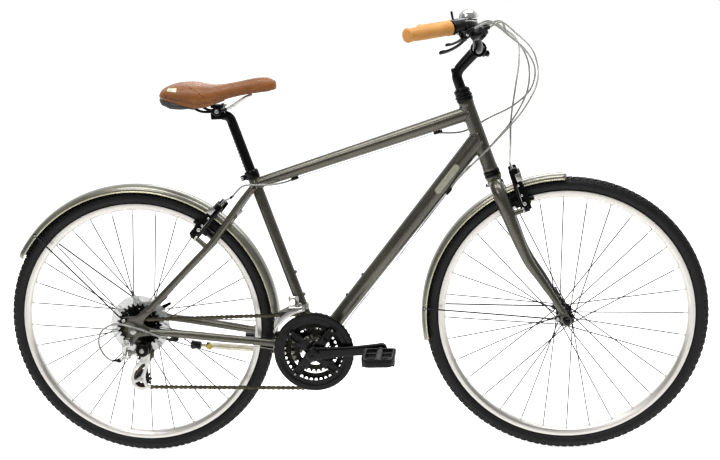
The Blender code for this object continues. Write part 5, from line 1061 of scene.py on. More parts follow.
piece("frame_tubes", "frame", [(frame_tubes(), PAINT)] + frame_fittings() + [(badge(), PALE)], ("frame",),
    50)


def make_collar():
    ring = lathe([(0.0183, -0.0085), (0.0183, 0.008), (0.0168, 0.012), (0.0133, 0.012), (0.0133, 0.0094),
        (0.0149, 0.0094), (0.0149, -0.0085)], seat(SEAT_LONG - 0.009), SEAT_UP, 48, True)
    parts = [(ring, BLACK)]
    for y in (-0.0042, 0.0042):
        parts.append((block(seat(SEAT_LONG - 0.009, -0.0225, y), (0.015, 0.0055, 0.0135), SEAT_FWD, SEAT_UP,
            0.0018), BLACK))
    low, high = seat(SEAT_LONG - 0.009, -0.0255, -0.007), seat(SEAT_LONG - 0.009, -0.0255, 0.007)
    parts += [
        (rod(low + Y * 0.001, high, 0.0032), TURNED),
        (screw_head(low + Y * 0.0005, -Y, h=0.0042), SILVER),
        (screw_head(high - Y * 0.0005, Y), SILVER)]
    piece("seat_clamp", "frame", parts, ("seat_collar",), sharp=38.0)


make_collar()


def headset_ring(name, s0, s1, rows, body, replaced):
    piece(name, body, [(lathe([*rows, (0.0148, s1), (0.0148, s0)], head(0), HEAD_UP, 56, True), BLACK)],
        (replaced,), sharp=38.0)


headset_ring("headset_cup_low", -0.0145, 0.0005, ((0.0206, -0.0145), (0.0208, -0.0105), (0.019, -0.0098),
    (0.019, -0.0085), (0.0207, -0.0078), (0.0205, -0.003), (0.0196, 0.0005)), "frame", "headset_lower")
top = HEAD_LONG
headset_ring("headset_cup_high", top + 0.0003, top + 0.0145,
    ((0.02, top + 0.0003), (0.0206, top + 0.004), (0.0212, top + 0.0075), (0.0196, top + 0.0083),
    (0.0196, top + 0.0097), (0.022, top + 0.0105), (0.0222, top + 0.0145)), "frame", "headset_upper")

# Fork
BLADE = (-0.0335, 0.0, 0.003), (-0.035, 0.0, 0.02), (-0.043, 0.0005, 0.0365), (-0.06, 0.0015,
    0.0462), (-0.09, 0.003, 0.05), (-0.1396, 0.0044, 0.051), (-0.2331, 0.0103, 0.0512), (-0.2933, 0.0257,
    0.0516), (-0.35, 0.0395, 0.0524), (-0.386, 0.0462, 0.053)
BLADE_R = 0.015, 0.0156, 0.0168, 0.0172, 0.0168, 0.0157, 0.0124, 0.0102, 0.008, 0.0066
FORK_END_Y = 0.0531
FORK_EYELET = -0.019, 0.0125
BRAKE_S = -0.113
NUT_TOP = 0.2103


def fork_parts():
    parts = [(lathe([(0, -0.033), (0.0155, -0.03), (0.0195, -0.024), (0.0206, -0.016), (0.0205, -0.0148),
        (0.0143, -0.0148), (0.0143, 0.194), (0.0, 0.194)], head(0), HEAD_UP, 56, r=0.0008), PAINT)]
    nut = [(0.0138, 0.1943), (0.0198, 0.1943), (0.0198, 0.1985), (0.0186, 0.199), (0.0186, 0.2),
        (0.0198, 0.2005), (0.0198, 0.2065), (0.0188, NUT_TOP), (0.0138, NUT_TOP)]
    parts.append((lathe(nut, head(0), HEAD_UP, 56, True), BLACK))
    for sign in (-1, 1):
        route = [head(s, n, y * sign) for s, n, y in BLADE]
        pts = even(span(route), 56)
        parts.append((sweep(pts, taper(BLADE_R, route, pts), 40, cap=0.7), PAINT))
        outline = [(-0.0105, 0.033), (0.006, 0.033), (0.0095, 0.01), (0.0115, 0.0), (0.01, -0.012),
            (-0.01, -0.012), (-0.011, -0.002), (-0.018, 0.005), (-0.026, 0.008), (-0.027, 0.016),
            (-0.02, 0.0205), (-0.012, 0.02)]
        outline = flat(outline, 0.003, 3)
        centre = FRONT + Y * FORK_END_Y * sign
        parts.append((plate(outline, 0.0056, centre, HEAD_FWD, HEAD_UP, (circle(0, 0, 0.0052),), 0.001),
            PAINT))
        base = head(BRAKE_S, 0.004, 0.045 * sign)
        parts.append((lathe([(0, 0.0), (0.008, 0.0), (0.0066, 0.018), (0.0063, 0.036), (0, 0.036)], base,
            HEAD_FWD, 28, r=0.001), PAINT))
        eye = FRONT + HEAD_FWD * FORK_EYELET[0] + HEAD_UP * FORK_EYELET[1] + Y * FORK_END_Y * sign
        parts.append((lathe(sleeve(0.0022, 0.0056, 0.0036), eye, Y, 24, True, 0.0008), PAINT))
    parts += [
        (rod(head(-0.0335, -0.014), head(-0.0335, -0.0215), 0.005), TURNED),
        (screw_head(head(-0.0335, -0.0212), -HEAD_FWD, 0.0045, 0.0038), BLACK),
        (screw_head(head(-0.0335, 0.014), HEAD_FWD, 0.0045), BLACK)]
    return parts


piece("fork_legs", "steering", fork_parts(), ("fork",), 45)


# Mudguards
def polar(centre, radius, degrees, y=0.0):
    return centre + vec(radius * cos(radians(degrees)), y, radius * sin(radians(degrees)))


def guard_skin(centre, outer, lip, half, start, sweep_angle, steps):
    """The crowned strip with a rolled edge along each side and rounded tips."""
    inside, outside = [], []
    across = 18
    for i in range(steps + 1):
        a = start + sweep_angle * i / steps
        d = radians(min(a - start, start + sweep_angle - a)) * outer
        w = half if d > 0.014 else half * (0.7 + 0.3 * sqrt(max(1 - ((0.014 - d) / 0.014) ** 2, 0)))
        top_row, low_row = [], []
        for k in range(across + 1):
            b = radians(-90 + 180 * k / across)
            r = lip + (outer - lip) * max(cos(b), 0) ** 0.72
            top_row.append(polar(centre, r, a, w * sin(b)))
            low_row.append(polar(centre, r - 0.001, a, (w - 0.0009) * sin(b)))
        outside.append(top_row)
        inside.append(list(reversed(low_row)))
    return grid([o + i for o, i in zip(outside, inside)], True), [[polar(centre, lip + 0.0004,
        start + sweep_angle * i / steps, (half - 0.0004) * s) for i in range(1, steps)] for s in (-1, 1)]


def guard_stay(sign, eye, eye_y, centre, radius, angle, half, lead):
    tip = polar(centre, radius, angle, (half - 0.0002) * sign)
    boss = eye + Y * eye_y * sign
    along = vec(tip.x - boss.x, 0, tip.z - boss.z).normalized()
    loop = [boss + (along * cos(radians(a)) + along.cross(Y) * sin(radians(a))) * 0.005 for a in range(20,
        341, 16)]
    wire = [boss + along * 0.006, boss + along * lead, boss.lerp(tip, 0.4), tip - along * 0.004]
    return [(sweep(loop, 0.0018, 12, cap=0.6), BLACK), (sweep(even(span(wire), 24), 0.0019, 14, cap=0.6),
        BLACK), (rod(boss - Y * 0.0026 * sign, boss + Y * 0.0026 * sign, 0.0046, soft=0.0005), TURNED),
        (screw_head(boss + Y * 0.0024 * sign, Y * sign, h=0.0026), SILVER),
        (rod(tip - Y * 0.0018 * sign, tip + Y * 0.0014 * sign, 0.0052), PLASTIC),
        (screw_head(tip + Y * 0.001 * sign, Y * sign, 0.003, 0.0012), TURNED)]


def make_guard(name, body, centre, sizes, start, sweep_angle, eye, eye_y, radius, angle, replaced,
        extra=()):
    outer, lip, half = sizes
    skin, edges = guard_skin(centre, outer, lip, half, start, sweep_angle, 96)
    parts = [(skin, GUARD)]
    for edge in edges:
        parts.append((sweep(edge, 0.0017, 12, cap=0.8), LIP))
    for sign in (-1, 1):
        parts += guard_stay(sign, eye, eye_y, centre, radius, angle, half, 0.018)
    piece(name, body, parts + list(extra), (replaced,), 50)


make_guard("rear_guard_skin", "frame", REAR, (0.3655, 0.348, 0.0262), 3.2, 145.7,
    REAR + vec(EYELET[0], 0, EYELET[1]), DROP_Y + 0.0067, 0.3525, 136.6, "rear_mudguard")
front_eye = FRONT + HEAD_FWD * FORK_EYELET[0] + HEAD_UP * FORK_EYELET[1]
bracket_tab = plate(flat([(-0.0075, -0.0105), (0.0075, -0.0105), (0.0075, 0.0105), (-0.0075, 0.0105)],
    0.003), 0.0016, head(-0.04, 0.0188), Y, HEAD_UP)
make_guard("front_guard_skin", "steering", FRONT, (0.3592, 0.345, 0.0262), 88.9, 100.3, front_eye,
    FORK_END_Y + 0.0065, 0.3495, 175.2, "front_mudguard", [(bracket_tab, TURNED)])


# Drivetrain
CHAIN_Y, COG_PITCH, BIG_COG_Y = -0.056, 0.00464, -0.03
SMALL_COG_Y = BIG_COG_Y - 7 * COG_PITCH
COG_TEETH, RING_TEETH = (28, 24, 21, 19, 17, 15, 13, 12), (48, 38, 28)
ARM_IN, ARM_OUT = 0.0702, 0.0832
CRANK_LENGTH, CRANK_RISE = 0.1725, 3.4
GUARD_Y = -0.0618


def gear_outline(teeth, tall=0.0031):
    """Teeth with rolled roots and narrow rounded tips."""
    rp = pitch_radius(teeth)
    shape_of = (-0.5, -0.0041), (-0.36, -0.0039), (-0.25, -0.002), (-0.17, 0.0012), (-0.08, tall), (0.08,
        tall), (0.17, 0.0012), (0.25, -0.002), (0.36, -0.0039)
    out = []
    for k in range(teeth):
        for share, rise in shape_of:
            a = 2 * pi * (k + share) / teeth
            out.append(((rp + rise) * cos(a), (rp + rise) * sin(a)))
    return out


def make_cassette():
    parts = []
    for k, teeth in enumerate(COG_TEETH):
        y = BIG_COG_Y - COG_PITCH * k
        rp = pitch_radius(teeth)
        holes = [circle(0, 0, 0.0172, 32)]
        if k < 3:
            n = 8 - k
            for j in range(n):
                a = 2 * pi * (j + 0.5 * k) / n
                r = rp * 0.66 + 0.004
                holes.append(circle(r * cos(a), r * sin(a), 0.0058 - 0.0012 * k, 14))
        parts.append((plate(gear_outline(teeth), 0.0018, REAR + Y * y, X, Z, holes, 0.0004), COG))
        if k:
            parts.append((lathe(sleeve(0.0172, 0.02, 0.0014), REAR + Y * (y + COG_PITCH / 2), Y, 36, True,
                0.0003, 1), PLASTIC))
    y = SMALL_COG_Y - 0.001
    parts.append((lathe([(0.011, y + 0.0005), (0.011, y - 0.0012), (0.015, y - 0.0018), (0.0185, y - 0.001),
        (0.0185, y)], REAR, Y, 40, True, 0.0004, 1), COG))
    notch = block((0.013, y - 0.0016, 0), (0.0028, 0.0014, 0.0016), segments=1)
    parts.append((spun(notch, 12, REAR, COG), COG))
    piece("cassette_cogs", "cassette", parts, ("cassette",), 32)


make_cassette()


def crank_dir(sign):
    return vec(cos(radians(CRANK_RISE)), 0, sin(radians(CRANK_RISE))) * -sign


def arm_blade(sign):
    """The forged arm, waisted, with round ends, and the middle of its tip."""
    d = crank_dir(sign)
    up = d.cross(Y)
    up = up if up.z > 0 else -up
    mid = BRACKET + Y * (ARM_IN + ARM_OUT) / 2 * sign
    pts = [mid + d * x for x in [0.005 + 0.1625 * i / 30 for i in range(31)]]
    radii = []
    for i in range(31):
        t = i / 30
        radii.append(0.0172 - 0.0034 * sin(pi * t) + (0.015 - 0.0172) * t)
    parts = [sweep(pts, radii, 40, (1.0, 0.42), up, 0.0, 0.62)]
    for x, r, half in ((0.0, 0.0188, 0.0064), (CRANK_LENGTH, 0.015, 0.0068)):
        parts.append(lathe([(0, -half), (r, -half), (r, half * 0.7), (r - 0.003, half), (0, half)],
            mid + d * x, Y * sign, 40, r=0.0016, n=3))
    return [(m, BLACK) for m in parts], mid + d * CRANK_LENGTH


def rect(u0, u1, v):
    return flat([(u0, -v), (u1, -v * 0.86), (u1, v * 0.86), (u0, v)], 0.0022, 3)


def spider():
    """The outward and the sideways direction of each of the four arms that carry the rings."""
    for k in range(4):
        a = radians(45 + CRANK_RISE + 90 * k)
        w = vec(cos(a), 0, sin(a))
        yield (w, w.cross(Y))


def make_crank_right():
    parts, tip = arm_blade(-1)
    rows = [(0, 0.08), (0.0085, 0.08), (0.0085, -0.038), (0.017, -0.0385), (0.0185, -0.06),
        (0.019, -ARM_OUT - 0.001), (0.014, -ARM_OUT - 0.004), (0, -ARM_OUT - 0.004)]
    parts += [
        (lathe(rows, BRACKET, steps=44, r=0.001), BLACK),
        (lathe([(0, 0), (0.0104, 0), (0.0104, 0.0006), (0.0088, 0.0013), (0.0036, 0.0013), (0.0034, 0.0003),
            (0, 0.0003)], BRACKET - Y * (ARM_OUT + 0.0038), -Y, 36, r=0.0003, n=1), PLASTIC)]
    for w, side in spider():
        outline = rounded([vec(0.008, -0.0145, 0), vec(0.045, -0.0108, 0), vec(0.076, -0.0118, 0),
            vec(0.0795, -0.01, 0), vec(0.0795, 0.01, 0), vec(0.076, 0.0118, 0), vec(0.045, 0.0108, 0),
            vec(0.008, 0.0145, 0)], 0.004, 4, True)
        outline = [(p.x, p.y) for p in outline]
        parts += [
            (plate(outline, 0.0042, BRACKET - Y * 0.0658, w, side, (rect(0.048, 0.07, 0.0066),), 0.0013),
                BLACK),
            (plate(outline, 0.0018, BRACKET - Y * 0.064, w, side), PLASTIC),
            (screw_head(BRACKET + w * 0.0755 - Y * 0.0676, -Y, 0.0026, 0.0014), TURNED)]
    parts.append((screw_head(tip - Y * 0.0064, -Y, 0.0062, 0.0012), TURNED))
    piece("crank_arm_right", "crank", parts, ("crank_right",))


def make_crank_left():
    parts = arm_blade(1)[0]
    parts += [
        (lathe([(0.0088, 0.04), (0.015, 0.04), (0.0162, 0.064), (0.0176, ARM_OUT + 0.002),
            (0.014, ARM_OUT + 0.0035), (0.0105, ARM_OUT + 0.0035), (0.01, ARM_OUT), (0.0088, 0.0802)],
            BRACKET, Y, 44, True, 0.001), BLACK),
        (lathe([(0, 0.0806), (0.0098, 0.0806), (0.0098, 0.0856), (0.0036, 0.086), (0.0034, 0.0845),
            (0, 0.0845)], BRACKET, Y, 36, False, 0.0004, 1), PLASTIC)]
    piece("crank_arm_left", "crank", parts, ("crank_left",))


make_crank_right()
make_crank_left()


def make_rings():
    parts = []
    inner = 0.08, 0.06, 0.04
    for k, teeth in enumerate(RING_TEETH):
        y = CHAIN_Y + 0.0075 * k
        parts.append((plate(gear_outline(teeth), 0.0021, BRACKET + Y * y, X, Z,
            (circle(0, 0, inner[k], 72),)), COG))
    for w, side in spider():
        tab = flat([(0.045, -0.0085), (0.083, -0.01), (0.083, 0.01), (0.045, 0.0085)], 0.004)
        parts += [
            (plate(tab, 0.0022, BRACKET + Y * CHAIN_Y, w, side, (), 0.0007), COG),
            (rod(BRACKET + w * 0.053 + Y * (CHAIN_Y - 0.0014), BRACKET + w * 0.053 + Y * (CHAIN_Y + 0.0164),
                0.0062, soft=0.0008), COG)]
        pad = flat([(0.04, -0.0075), (0.063, -0.0075), (0.063, 0.0075), (0.04, 0.0075)], 0.003, 3)
        for lift in (0.0075, 0.015):
            parts.append((plate(pad, 0.0021, BRACKET + Y * (CHAIN_Y + lift), w, side, (), 0.0006), COG))
    piece("ring_set", "crank", parts, ("chainrings",), 32)
    rows = [(0.0745, GUARD_Y - 0.0011), (0.0745, GUARD_Y + 0.0012), (0.1008, GUARD_Y + 0.0014),
        (0.1015, GUARD_Y + 0.0004), (0.1012, GUARD_Y - 0.001), (0.0985, GUARD_Y - 0.002),
        (0.0885, GUARD_Y - 0.0022), (0.0868, GUARD_Y - 0.0013), (0.086, GUARD_Y - 0.002),
        (0.085, GUARD_Y - 0.002), (0.0842, GUARD_Y - 0.0012), (0.0765, GUARD_Y - 0.0012)]
    parts = [(lathe(rows, BRACKET, Y, 144, True, 0.0004), BLACK)]
    for w, side in spider():
        tab = flat([(0.064, -0.0095), (0.079, -0.013), (0.079, 0.013), (0.064, 0.0095)], 0.003)
        parts.append((plate(tab, 0.0022, BRACKET + Y * GUARD_Y, w, side, (), 0.0006), BLACK))
    piece("ring_guard", "crank", parts, ("chain_guard",), 32)


make_rings()


def make_pedal(sign, side):
    centre = BRACKET + crank_dir(sign) * CRANK_LENGTH

    def p(dx, y, dz):
        return centre + vec(dx, y * sign, dz)

    inner, outer = 0.1, 0.196
    parts = [
        (lathe([(0, ARM_OUT + 0.0003), (0.0072, ARM_OUT + 0.0003), (0.0072, 0.0885), (0.0062, 0.089),
            (0.0066, 0.101), (0, 0.101)], centre, Y * sign, 32, r=0.0005), TURNED),
        (lathe([(0, 0.0995), (0.0112, 0.0995), (0.0114, 0.106), (0.0098, 0.11), (0.0092, 0.18),
            (0.0106, 0.185), (0.0106, 0.1925), (0.006, 0.1935), (0, 0.1935)], centre, Y * sign, 36,
            r=0.0008), PLASTIC)]
    outline = rounded([vec(-0.037, inner, 0), vec(-0.04, inner + 0.012, 0), vec(-0.04, outer - 0.016, 0),
        vec(-0.029, outer, 0), vec(0.029, outer, 0), vec(0.04, outer - 0.016, 0),
        vec(0.04, inner + 0.012, 0), vec(0.037, inner, 0)], 0.01, 5, True)
    hole = rounded([vec(-0.032, inner + 0.0065, 0), vec(-0.032, outer - 0.016, 0),
        vec(-0.024, outer - 0.0065, 0), vec(0.024, outer - 0.0065, 0), vec(0.032, outer - 0.016, 0),
        vec(0.032, inner + 0.0065, 0)], 0.006, 4, True)
    cage = plate([(q.x, q.y) for q in outline], 0.02, centre, X, Y * sign, ([(q.x, q.y) for q in hole],),
        0.0022)
    parts.append((cage, PLASTIC))
    for y in (inner + 0.028, outer - 0.03):
        parts.append((block(p(0, y, 0), (0.066, 0.006, 0.012), soft=0.002), PLASTIC))
    for dx in (-0.0374, 0.0374):
        for y in [inner + 0.014 + 0.0095 * i for i in range(8)]:
            for dz in (-0.0108, 0.0108):
                parts.append((block(p(dx, y, dz), (0.0044, 0.004, 0.0026), X, Z, 0.0008, 2), PLASTIC))
        parts.append((block(p(dx * 1.055, (inner + outer) / 2, 0), (0.0026, 0.046, 0.011), soft=0.001),
            REFLECT))
    parts.append((screw_head(p(0, 0.1932, 0), Y * sign, 0.0052, 0.002), PLASTIC))
    piece("pedal_block_" + side, "pedal_" + side, parts, ("pedal_" + side,))


make_pedal(-1, "right")
make_pedal(1, "left")

# Rear mech
KNUCKLE, TENSION = at(0.022, 0, 0.3011), at(0.0064, 0, 0.2169)
GUIDE = KNUCKLE + vec(-0.0065, 0, -0.014)
SLANT = vec(0, 0.75, -0.66).normalized()
LINK_AXIS = X.cross(SLANT).normalized()
LINK_END = KNUCKLE + Y * -0.0925
LINK_START = LINK_END - (vec(cos(radians(29)), 0, 0) - SLANT * sin(radians(29))) * 0.045
HANGER_BOLT = at(-0.0185, 0, 0.3189)
CAGE_OUTER_Y, CAGE_INNER_Y = SMALL_COG_Y - 0.0058, SMALL_COG_Y + 0.0058


def make_rear_mech():
    y0 = -(REAR_OUT + 0.0003)
    spine = LINK_START + vec(-0.0125, 0, 0)
    drum = lathe([(0, 0), (0.0105, 0), (0.0108, 0.004), (0.01, 0.0048), (0.01, 0.015), (0.0092, 0.0168),
        (0.0066, 0.017), (0, 0.017)], HANGER_BOLT + Y * y0, -Y, 40)
    parts = [(drum, SILVER), (screw_head(HANGER_BOLT + Y * (y0 - 0.0168), -Y, 0.0062, 0.0024), TURNED)]
    route = [HANGER_BOLT + Y * (y0 - 0.01), HANGER_BOLT + vec(-0.0085, y0 - 0.01, -0.012), spine]
    pts = even(span(route), 14)
    parts += [
        (sweep(pts, [0.0072 - 0.0014 * i / 13 for i in range(14)], 24, cap=0.7, square=0.8), SILVER),
        (block(spine, (0.0088, 0.0104, 0.0236), X, LINK_AXIS, 0.0026), SILVER)]
    for d in (-0.0091, 0.0091):
        ear = flat([(-0.011, -0.0052), (0.003, -0.005), (0.0062, 0), (0.003, 0.005), (-0.011, 0.0052)],
            0.003)
        parts += [
            (plate(ear, 0.0044, LINK_START + vec(-0.0015, 0, 0) + LINK_AXIS * d, X, LINK_AXIS.cross(X), (),
                0.001), SILVER),
            (screw_head(LINK_START + LINK_AXIS * (d + (0.002 if d > 0 else -0.002)),
                LINK_AXIS * (1 if d > 0 else -1), 0.0024, 0.0008), TURNED)]
    tip0, tip1 = at(-0.0388, -0.085, 0.2736), at(-0.05, -0.0851, 0.2734)
    parts.append((rod(spine + vec(0, -0.001, -0.003), at(-0.0396, -0.085, 0.2735), 0.0046, 0.0056), SILVER))
    way = (tip1 - tip0).normalized()
    parts += [
        (lathe([(0, 0), (0.005, 0), (0.0054, 0.001), (0.0054, 0.0075), (0.0044, 0.0088), (0.004, 0.0112),
            (0, 0.0112)], tip0, way, 32, r=0.0004), PLASTIC),
        (spun_about(block((0.0054, 0, 0.0042), (0.001, 0.0012, 0.0064), segments=1), 12, tip0, way),
            PLASTIC)]
    piece("mech_upper", "frame", parts, ("rear_mech_hanger",), 40)

    a, b = LINK_START, LINK_END
    along = (b - a).normalized()
    side = LINK_AXIS.cross(along)
    parts = []
    length = (b - a).length
    bar = flat([(-0.0052, -0.004), (length * 0.5, -0.0056), (length + 0.0052, -0.004),
        (length + 0.0052, 0.004), (length * 0.5, 0.005), (-0.0052, 0.004)], 0.0035)
    for d in (-0.0046, 0.0046):
        parts.append((plate(bar, 0.0022, a + LINK_AXIS * d, along, side, (), 0.0008), SILVER))
    parts.append((sweep([a + along * 0.008, (a + b) / 2, b - along * 0.008], 0.0048, 20, (0.9, 0.6),
        LINK_AXIS, 0.6, 0.7), SILVER))
    for p in (a, b):
        parts.append((lathe(sleeve(0.0026, 0.0052, 0.0058), p, LINK_AXIS, 28, True), SILVER))
    piece("mech_link", "rear_mech_link", parts, ("rear_mech_link",), 40)

    y1 = CAGE_OUTER_Y - 0.0011
    near, far = KNUCKLE + Y * y1, KNUCKLE + Y * (y1 - 0.03)
    shell = lathe([(0.004, 0), (0.0186, 0), (0.019, 0.002), (0.0182, 0.007), (0.0174, 0.008),
        (0.0174, 0.0095), (0.004, 0.0095)], near, -Y, 48, True, 0.0007)
    parts = [(shell, COG), (lathe([(0, 0.0195), (0.016, 0.0195), (0.0168, 0.0215), (0.0164, 0.027),
        (0.014, 0.0296), (0.01, 0.03), (0, 0.0292)], near, -Y, r=0.0008), COG),
        (screw_head(far + Y * 0.0008, -Y, 0.0062, 0.0016), TURNED)]
    for lift in (-0.0098, 0.0098):
        parts.append((block(KNUCKLE + Y * (y1 - 0.0148) + vec(0.007, 0, 0) + LINK_AXIS * lift * 0.9,
            (0.012, 0.015, 0.0052), X, LINK_AXIS, 0.0018), COG))
    parts.append((rod(LINK_END - LINK_AXIS * 0.0085, LINK_END + LINK_AXIS * 0.0085, 0.0023), TURNED))
    piece("mech_lower", "rear_mech_knuckle", parts, ("rear_mech_knuckle",), 40)

    t, k = TENSION - KNUCKLE, GUIDE - KNUCKLE

    def by_t(*spots):
        return [(t.x + u, t.z + v) for u, v in spots]

    outer = arc(0.03, 150, 312, 28, t.x, t.z) + by_t((0.0225, -0.019), (0.013, -0.013), (0.0098, -0.002),
        (0.01, 0.009), (0.0145, 0.024), (0.024, 0.043))
    outer += arc(0.014, -20, 190, 22) + by_t((0.004, 0.062), (-0.002, 0.05), (-0.014, 0.039),
        (-0.024, 0.027))
    upper = by_t((0.008, 0.044), (0.0125, 0.04), (0.0045, 0.022), (-0.001, 0.0105), (-0.007, 0.0068),
        (-0.0195, -0.001), (-0.0212, 0.005), (-0.0185, 0.016), (-0.0105, 0.029))
    lower = arc(0.0212, 207, 288, 14, t.x, t.z) + arc(0.0088, 290, 212, 6, t.x, t.z)
    holes = [flat(gap, 0.0015, 2) for gap in (upper, lower)]
    inner = arc(0.013, 180, 360, 20, t.x, t.z) + arc(0.012, 0, 180, 20, k.x, k.z)
    window = flat([(t.x * 0.72 - 0.005, t.z * 0.72), (t.x * 0.72 + 0.006, t.z * 0.72), (0.0, -0.03),
        (-0.01, -0.03)], 0.003)
    parts = [
        (plate(flat(outer, 0.004, 2), 0.0018, KNUCKLE + Y * CAGE_OUTER_Y, X, Z, holes), SILVER),
        (plate(inner, 0.0016, KNUCKLE + Y * CAGE_INNER_Y, X, Z, (window,)), SILVER)]
    for p in (TENSION, GUIDE):
        parts += [
            (rod(p + Y * (CAGE_OUTER_Y - 0.0006), p + Y * (CAGE_INNER_Y + 0.0016), 0.0032), TURNED),
            (screw_head(p + Y * (CAGE_OUTER_Y - 0.0006), -Y, 0.0046, 0.0012), TURNED)]
    piece("mech_cage", "rear_mech_cage", parts, ("rear_mech_cage",), 36)
    for name, p in (("guide_pulley", GUIDE), ("tension_pulley", TENSION)):
        holes = [circle(0, 0, 0.0062, 20)] + [circle(0.0112 * cos(a), 0.0112 * sin(a), 0.0022,
            10) for a in [2 * pi * j / 6 for j in range(6)]]
        parts = [
            (plate(gear_outline(11, 0.0026), 0.004, p + Y * SMALL_COG_Y, X, Z, holes, 0.0008), PLASTIC),
            (lathe(sleeve(0.0037, 0.0066, 0.0024), p + Y * SMALL_COG_Y, Y, 28, True, 0.0005), TURNED)]
        piece(name + "_wheel", name, parts, (name,), 36)


def spun_about(unit, count, origin, axis):
    """Copies of a unit made about Z, turned round an axis through a point."""
    mesh = grown(SPIN, {"Unit": unit, "Count": count, "Axis": (0, 0, 1), "Vary": 0.0, "Seed": 3,
        "Finish": PLASTIC})
    return moved(mesh, Matrix.Translation(Vector(origin)) @ basis(axis).to_4x4())


make_rear_mech()


# Chain
def tangent(c0, r0, s0, c1, r1, s1):
    d = c1 - c0
    a = atan2(d.y, d.x) - pi / 2 + asin(max(-1, min(1, (s0 * r0 - s1 * r1) / d.length)))
    n = Vector((cos(a), sin(a)))
    return c0 + n * r0 * s0, c1 + n * r1 * s1


def chain_path():
    hubs = [Vector((p.x, p.z)) for p in (BRACKET, REAR, GUIDE, TENSION)]
    radii = [pitch_radius(48), pitch_radius(12), pitch_radius(11), pitch_radius(11)]
    turn = [1, 1, -1, 1]
    planes = [CHAIN_Y, SMALL_COG_Y, SMALL_COG_Y, SMALL_COG_Y]
    ends = [tangent(hubs[i], radii[i], turn[i], hubs[(i + 1) % 4], radii[(i + 1) % 4],
        turn[(i + 1) % 4]) for i in range(4)]
    out = []
    for i in range(4):
        a0, a1 = atan2(*(ends[i - 1][1] - hubs[i]).yx), atan2(*(ends[i][0] - hubs[i]).yx)
        turned_by = (a1 - a0) * turn[i] % (2 * pi)
        steps = max(4, int(ceil(turned_by / radians(5))))
        for k in range(steps + 1):
            a = a0 + turn[i] * turned_by * k / steps
            out.append(vec(hubs[i].x + cos(a) * radii[i], planes[i], hubs[i].y + sin(a) * radii[i]))
    return out


def link_unit(gap, wide, rollers):
    """One link lying along X: two waisted side plates, with its rollers or its pins."""
    waist = flat(arc(0.0048, 75, 285, 9, -PITCH / 2) + [(0.0, -0.0031)] + arc(0.0048, -105, 105, 9,
        PITCH / 2) + [(0.0, 0.0031)], 0.0008, 1)
    parts = [plate(waist, 0.001, (0, y, 0), soft=0.0002) for y in (-gap, gap)]
    for x in (-PITCH / 2, PITCH / 2):
        parts.append(lathe(sleeve(0, 0.0017 if not rollers else 0.0038, wide), (x, 0, 0), Y, 10, False,
            0.0002, 1))
    return merged(parts)


def make_chain():
    path = chain_path()
    total = lengths(path + [path[0]])[-1]
    curve = bpy.data.curves.new("chain_path", "CURVE")
    curve.dimensions = "3D"
    spline = curve.splines.new("POLY")
    spline.points.add(len(path) - 1)
    for i, p in enumerate(path):
        spline.points[i].co = (*p, 1.0)
    spline.use_cyclic_u = True
    count = 2 * round(total / PITCH / 2)
    mesh = grown(LAID, {"Path": curve, "Outer": link_unit(0.0029, 0.0035, False),
        "Inner": link_unit(0.0018, 0.0012, True), "Count": count, "Finish": LINKS})
    piece("chain_links", "frame", [(mesh, LINKS)], ("chain",), 36)


make_chain()

# Front mech
SWING = at(0.404, -0.033, 0.414)


def make_front_mech():
    band = lathe([(SEAT_R + 0.0003, -0.0065), (SEAT_R + 0.0032, -0.0065), (SEAT_R + 0.0036, 0.0),
        (SEAT_R + 0.0032, 0.0065), (SEAT_R + 0.0003, 0.0065)], seat(0.106), SEAT_UP, 48, True)
    parts = [(band, SILVER), (block(at(0.416, -0.0212, 0.388), (0.018, 0.0124, 0.02), SEAT_FWD, SEAT_UP,
        0.003), SILVER), (block(at(0.405, -0.023, 0.404), (0.024, 0.007, 0.026), soft=0.0028), SILVER),
        (rod(SWING + vec(-0.0115, 0, 0), SWING + vec(0.0115, 0, 0), 0.0022), TURNED)]
    for dx in (-0.0095, 0.0095):
        parts.append((block(SWING + vec(dx, 0.004, -0.001), (0.003, 0.014, 0.01), soft=0.0012), SILVER))
    parts += [
        (rod(seat(0.106, 0.006, 0.015), seat(0.106, 0.006, 0.023), 0.0042, soft=0.001), SILVER),
        (screw_head(seat(0.106, 0.006, 0.0228), Y, 0.0034, 0.002), TURNED)]
    piece("front_mech_clamp", "frame", parts, ("front_mech_body",), 40)
    b = BRACKET
    outer = arc(0.109, 98, 152, 28) + [(-0.0995, 0.056), (-0.0925, 0.075), (-0.078, 0.095), (-0.056, 0.111),
        (-0.018, 0.119)]
    inner = arc(0.109, 100, 150, 24) + [(-0.1005, 0.06), (-0.0985, 0.08), (-0.086, 0.104), (-0.056, 0.119),
        (-0.02, 0.119)]
    parts = []
    for loop, y in ((outer, 0.0662), (inner, 0.0484)):
        smooth = flat(loop, 0.009)
        parts.append((plate(smooth, 0.0015, b - Y * y), TURNED))
    rib = [b + vec(0.1128 * cos(radians(a)), -0.0668, 0.1128 * sin(radians(a))) for a in range(102, 148, 3)]
    parts += [
        (sweep(rib, 0.0014, 10, cap=0.8), CHROME),
        (block(b + vec(-0.04, -0.0573, 0.117), (0.034, 0.0186, 0.003), soft=0.0011), CHROME),
        (rod(b + vec(-0.095, -0.066, 0.064), b + vec(-0.095, -0.0486, 0.064), 0.002), CHROME),
        (lathe(sleeve(0.0028, 0.006, 0.007), SWING, X, 28, True), SILVER)]
    foot = b + vec(-0.05, -0.05, 0.117)
    way = (foot - SWING).normalized()
    start = SWING + way * 0.0042
    parts.append((block(start.lerp(foot, 0.5), (0.013, 0.005, (foot - start).length), X, way, 0.0018),
        SILVER))
    piece("front_mech_blades", "front_mech_cage", parts, ("front_mech_cage",), 36)


make_front_mech()


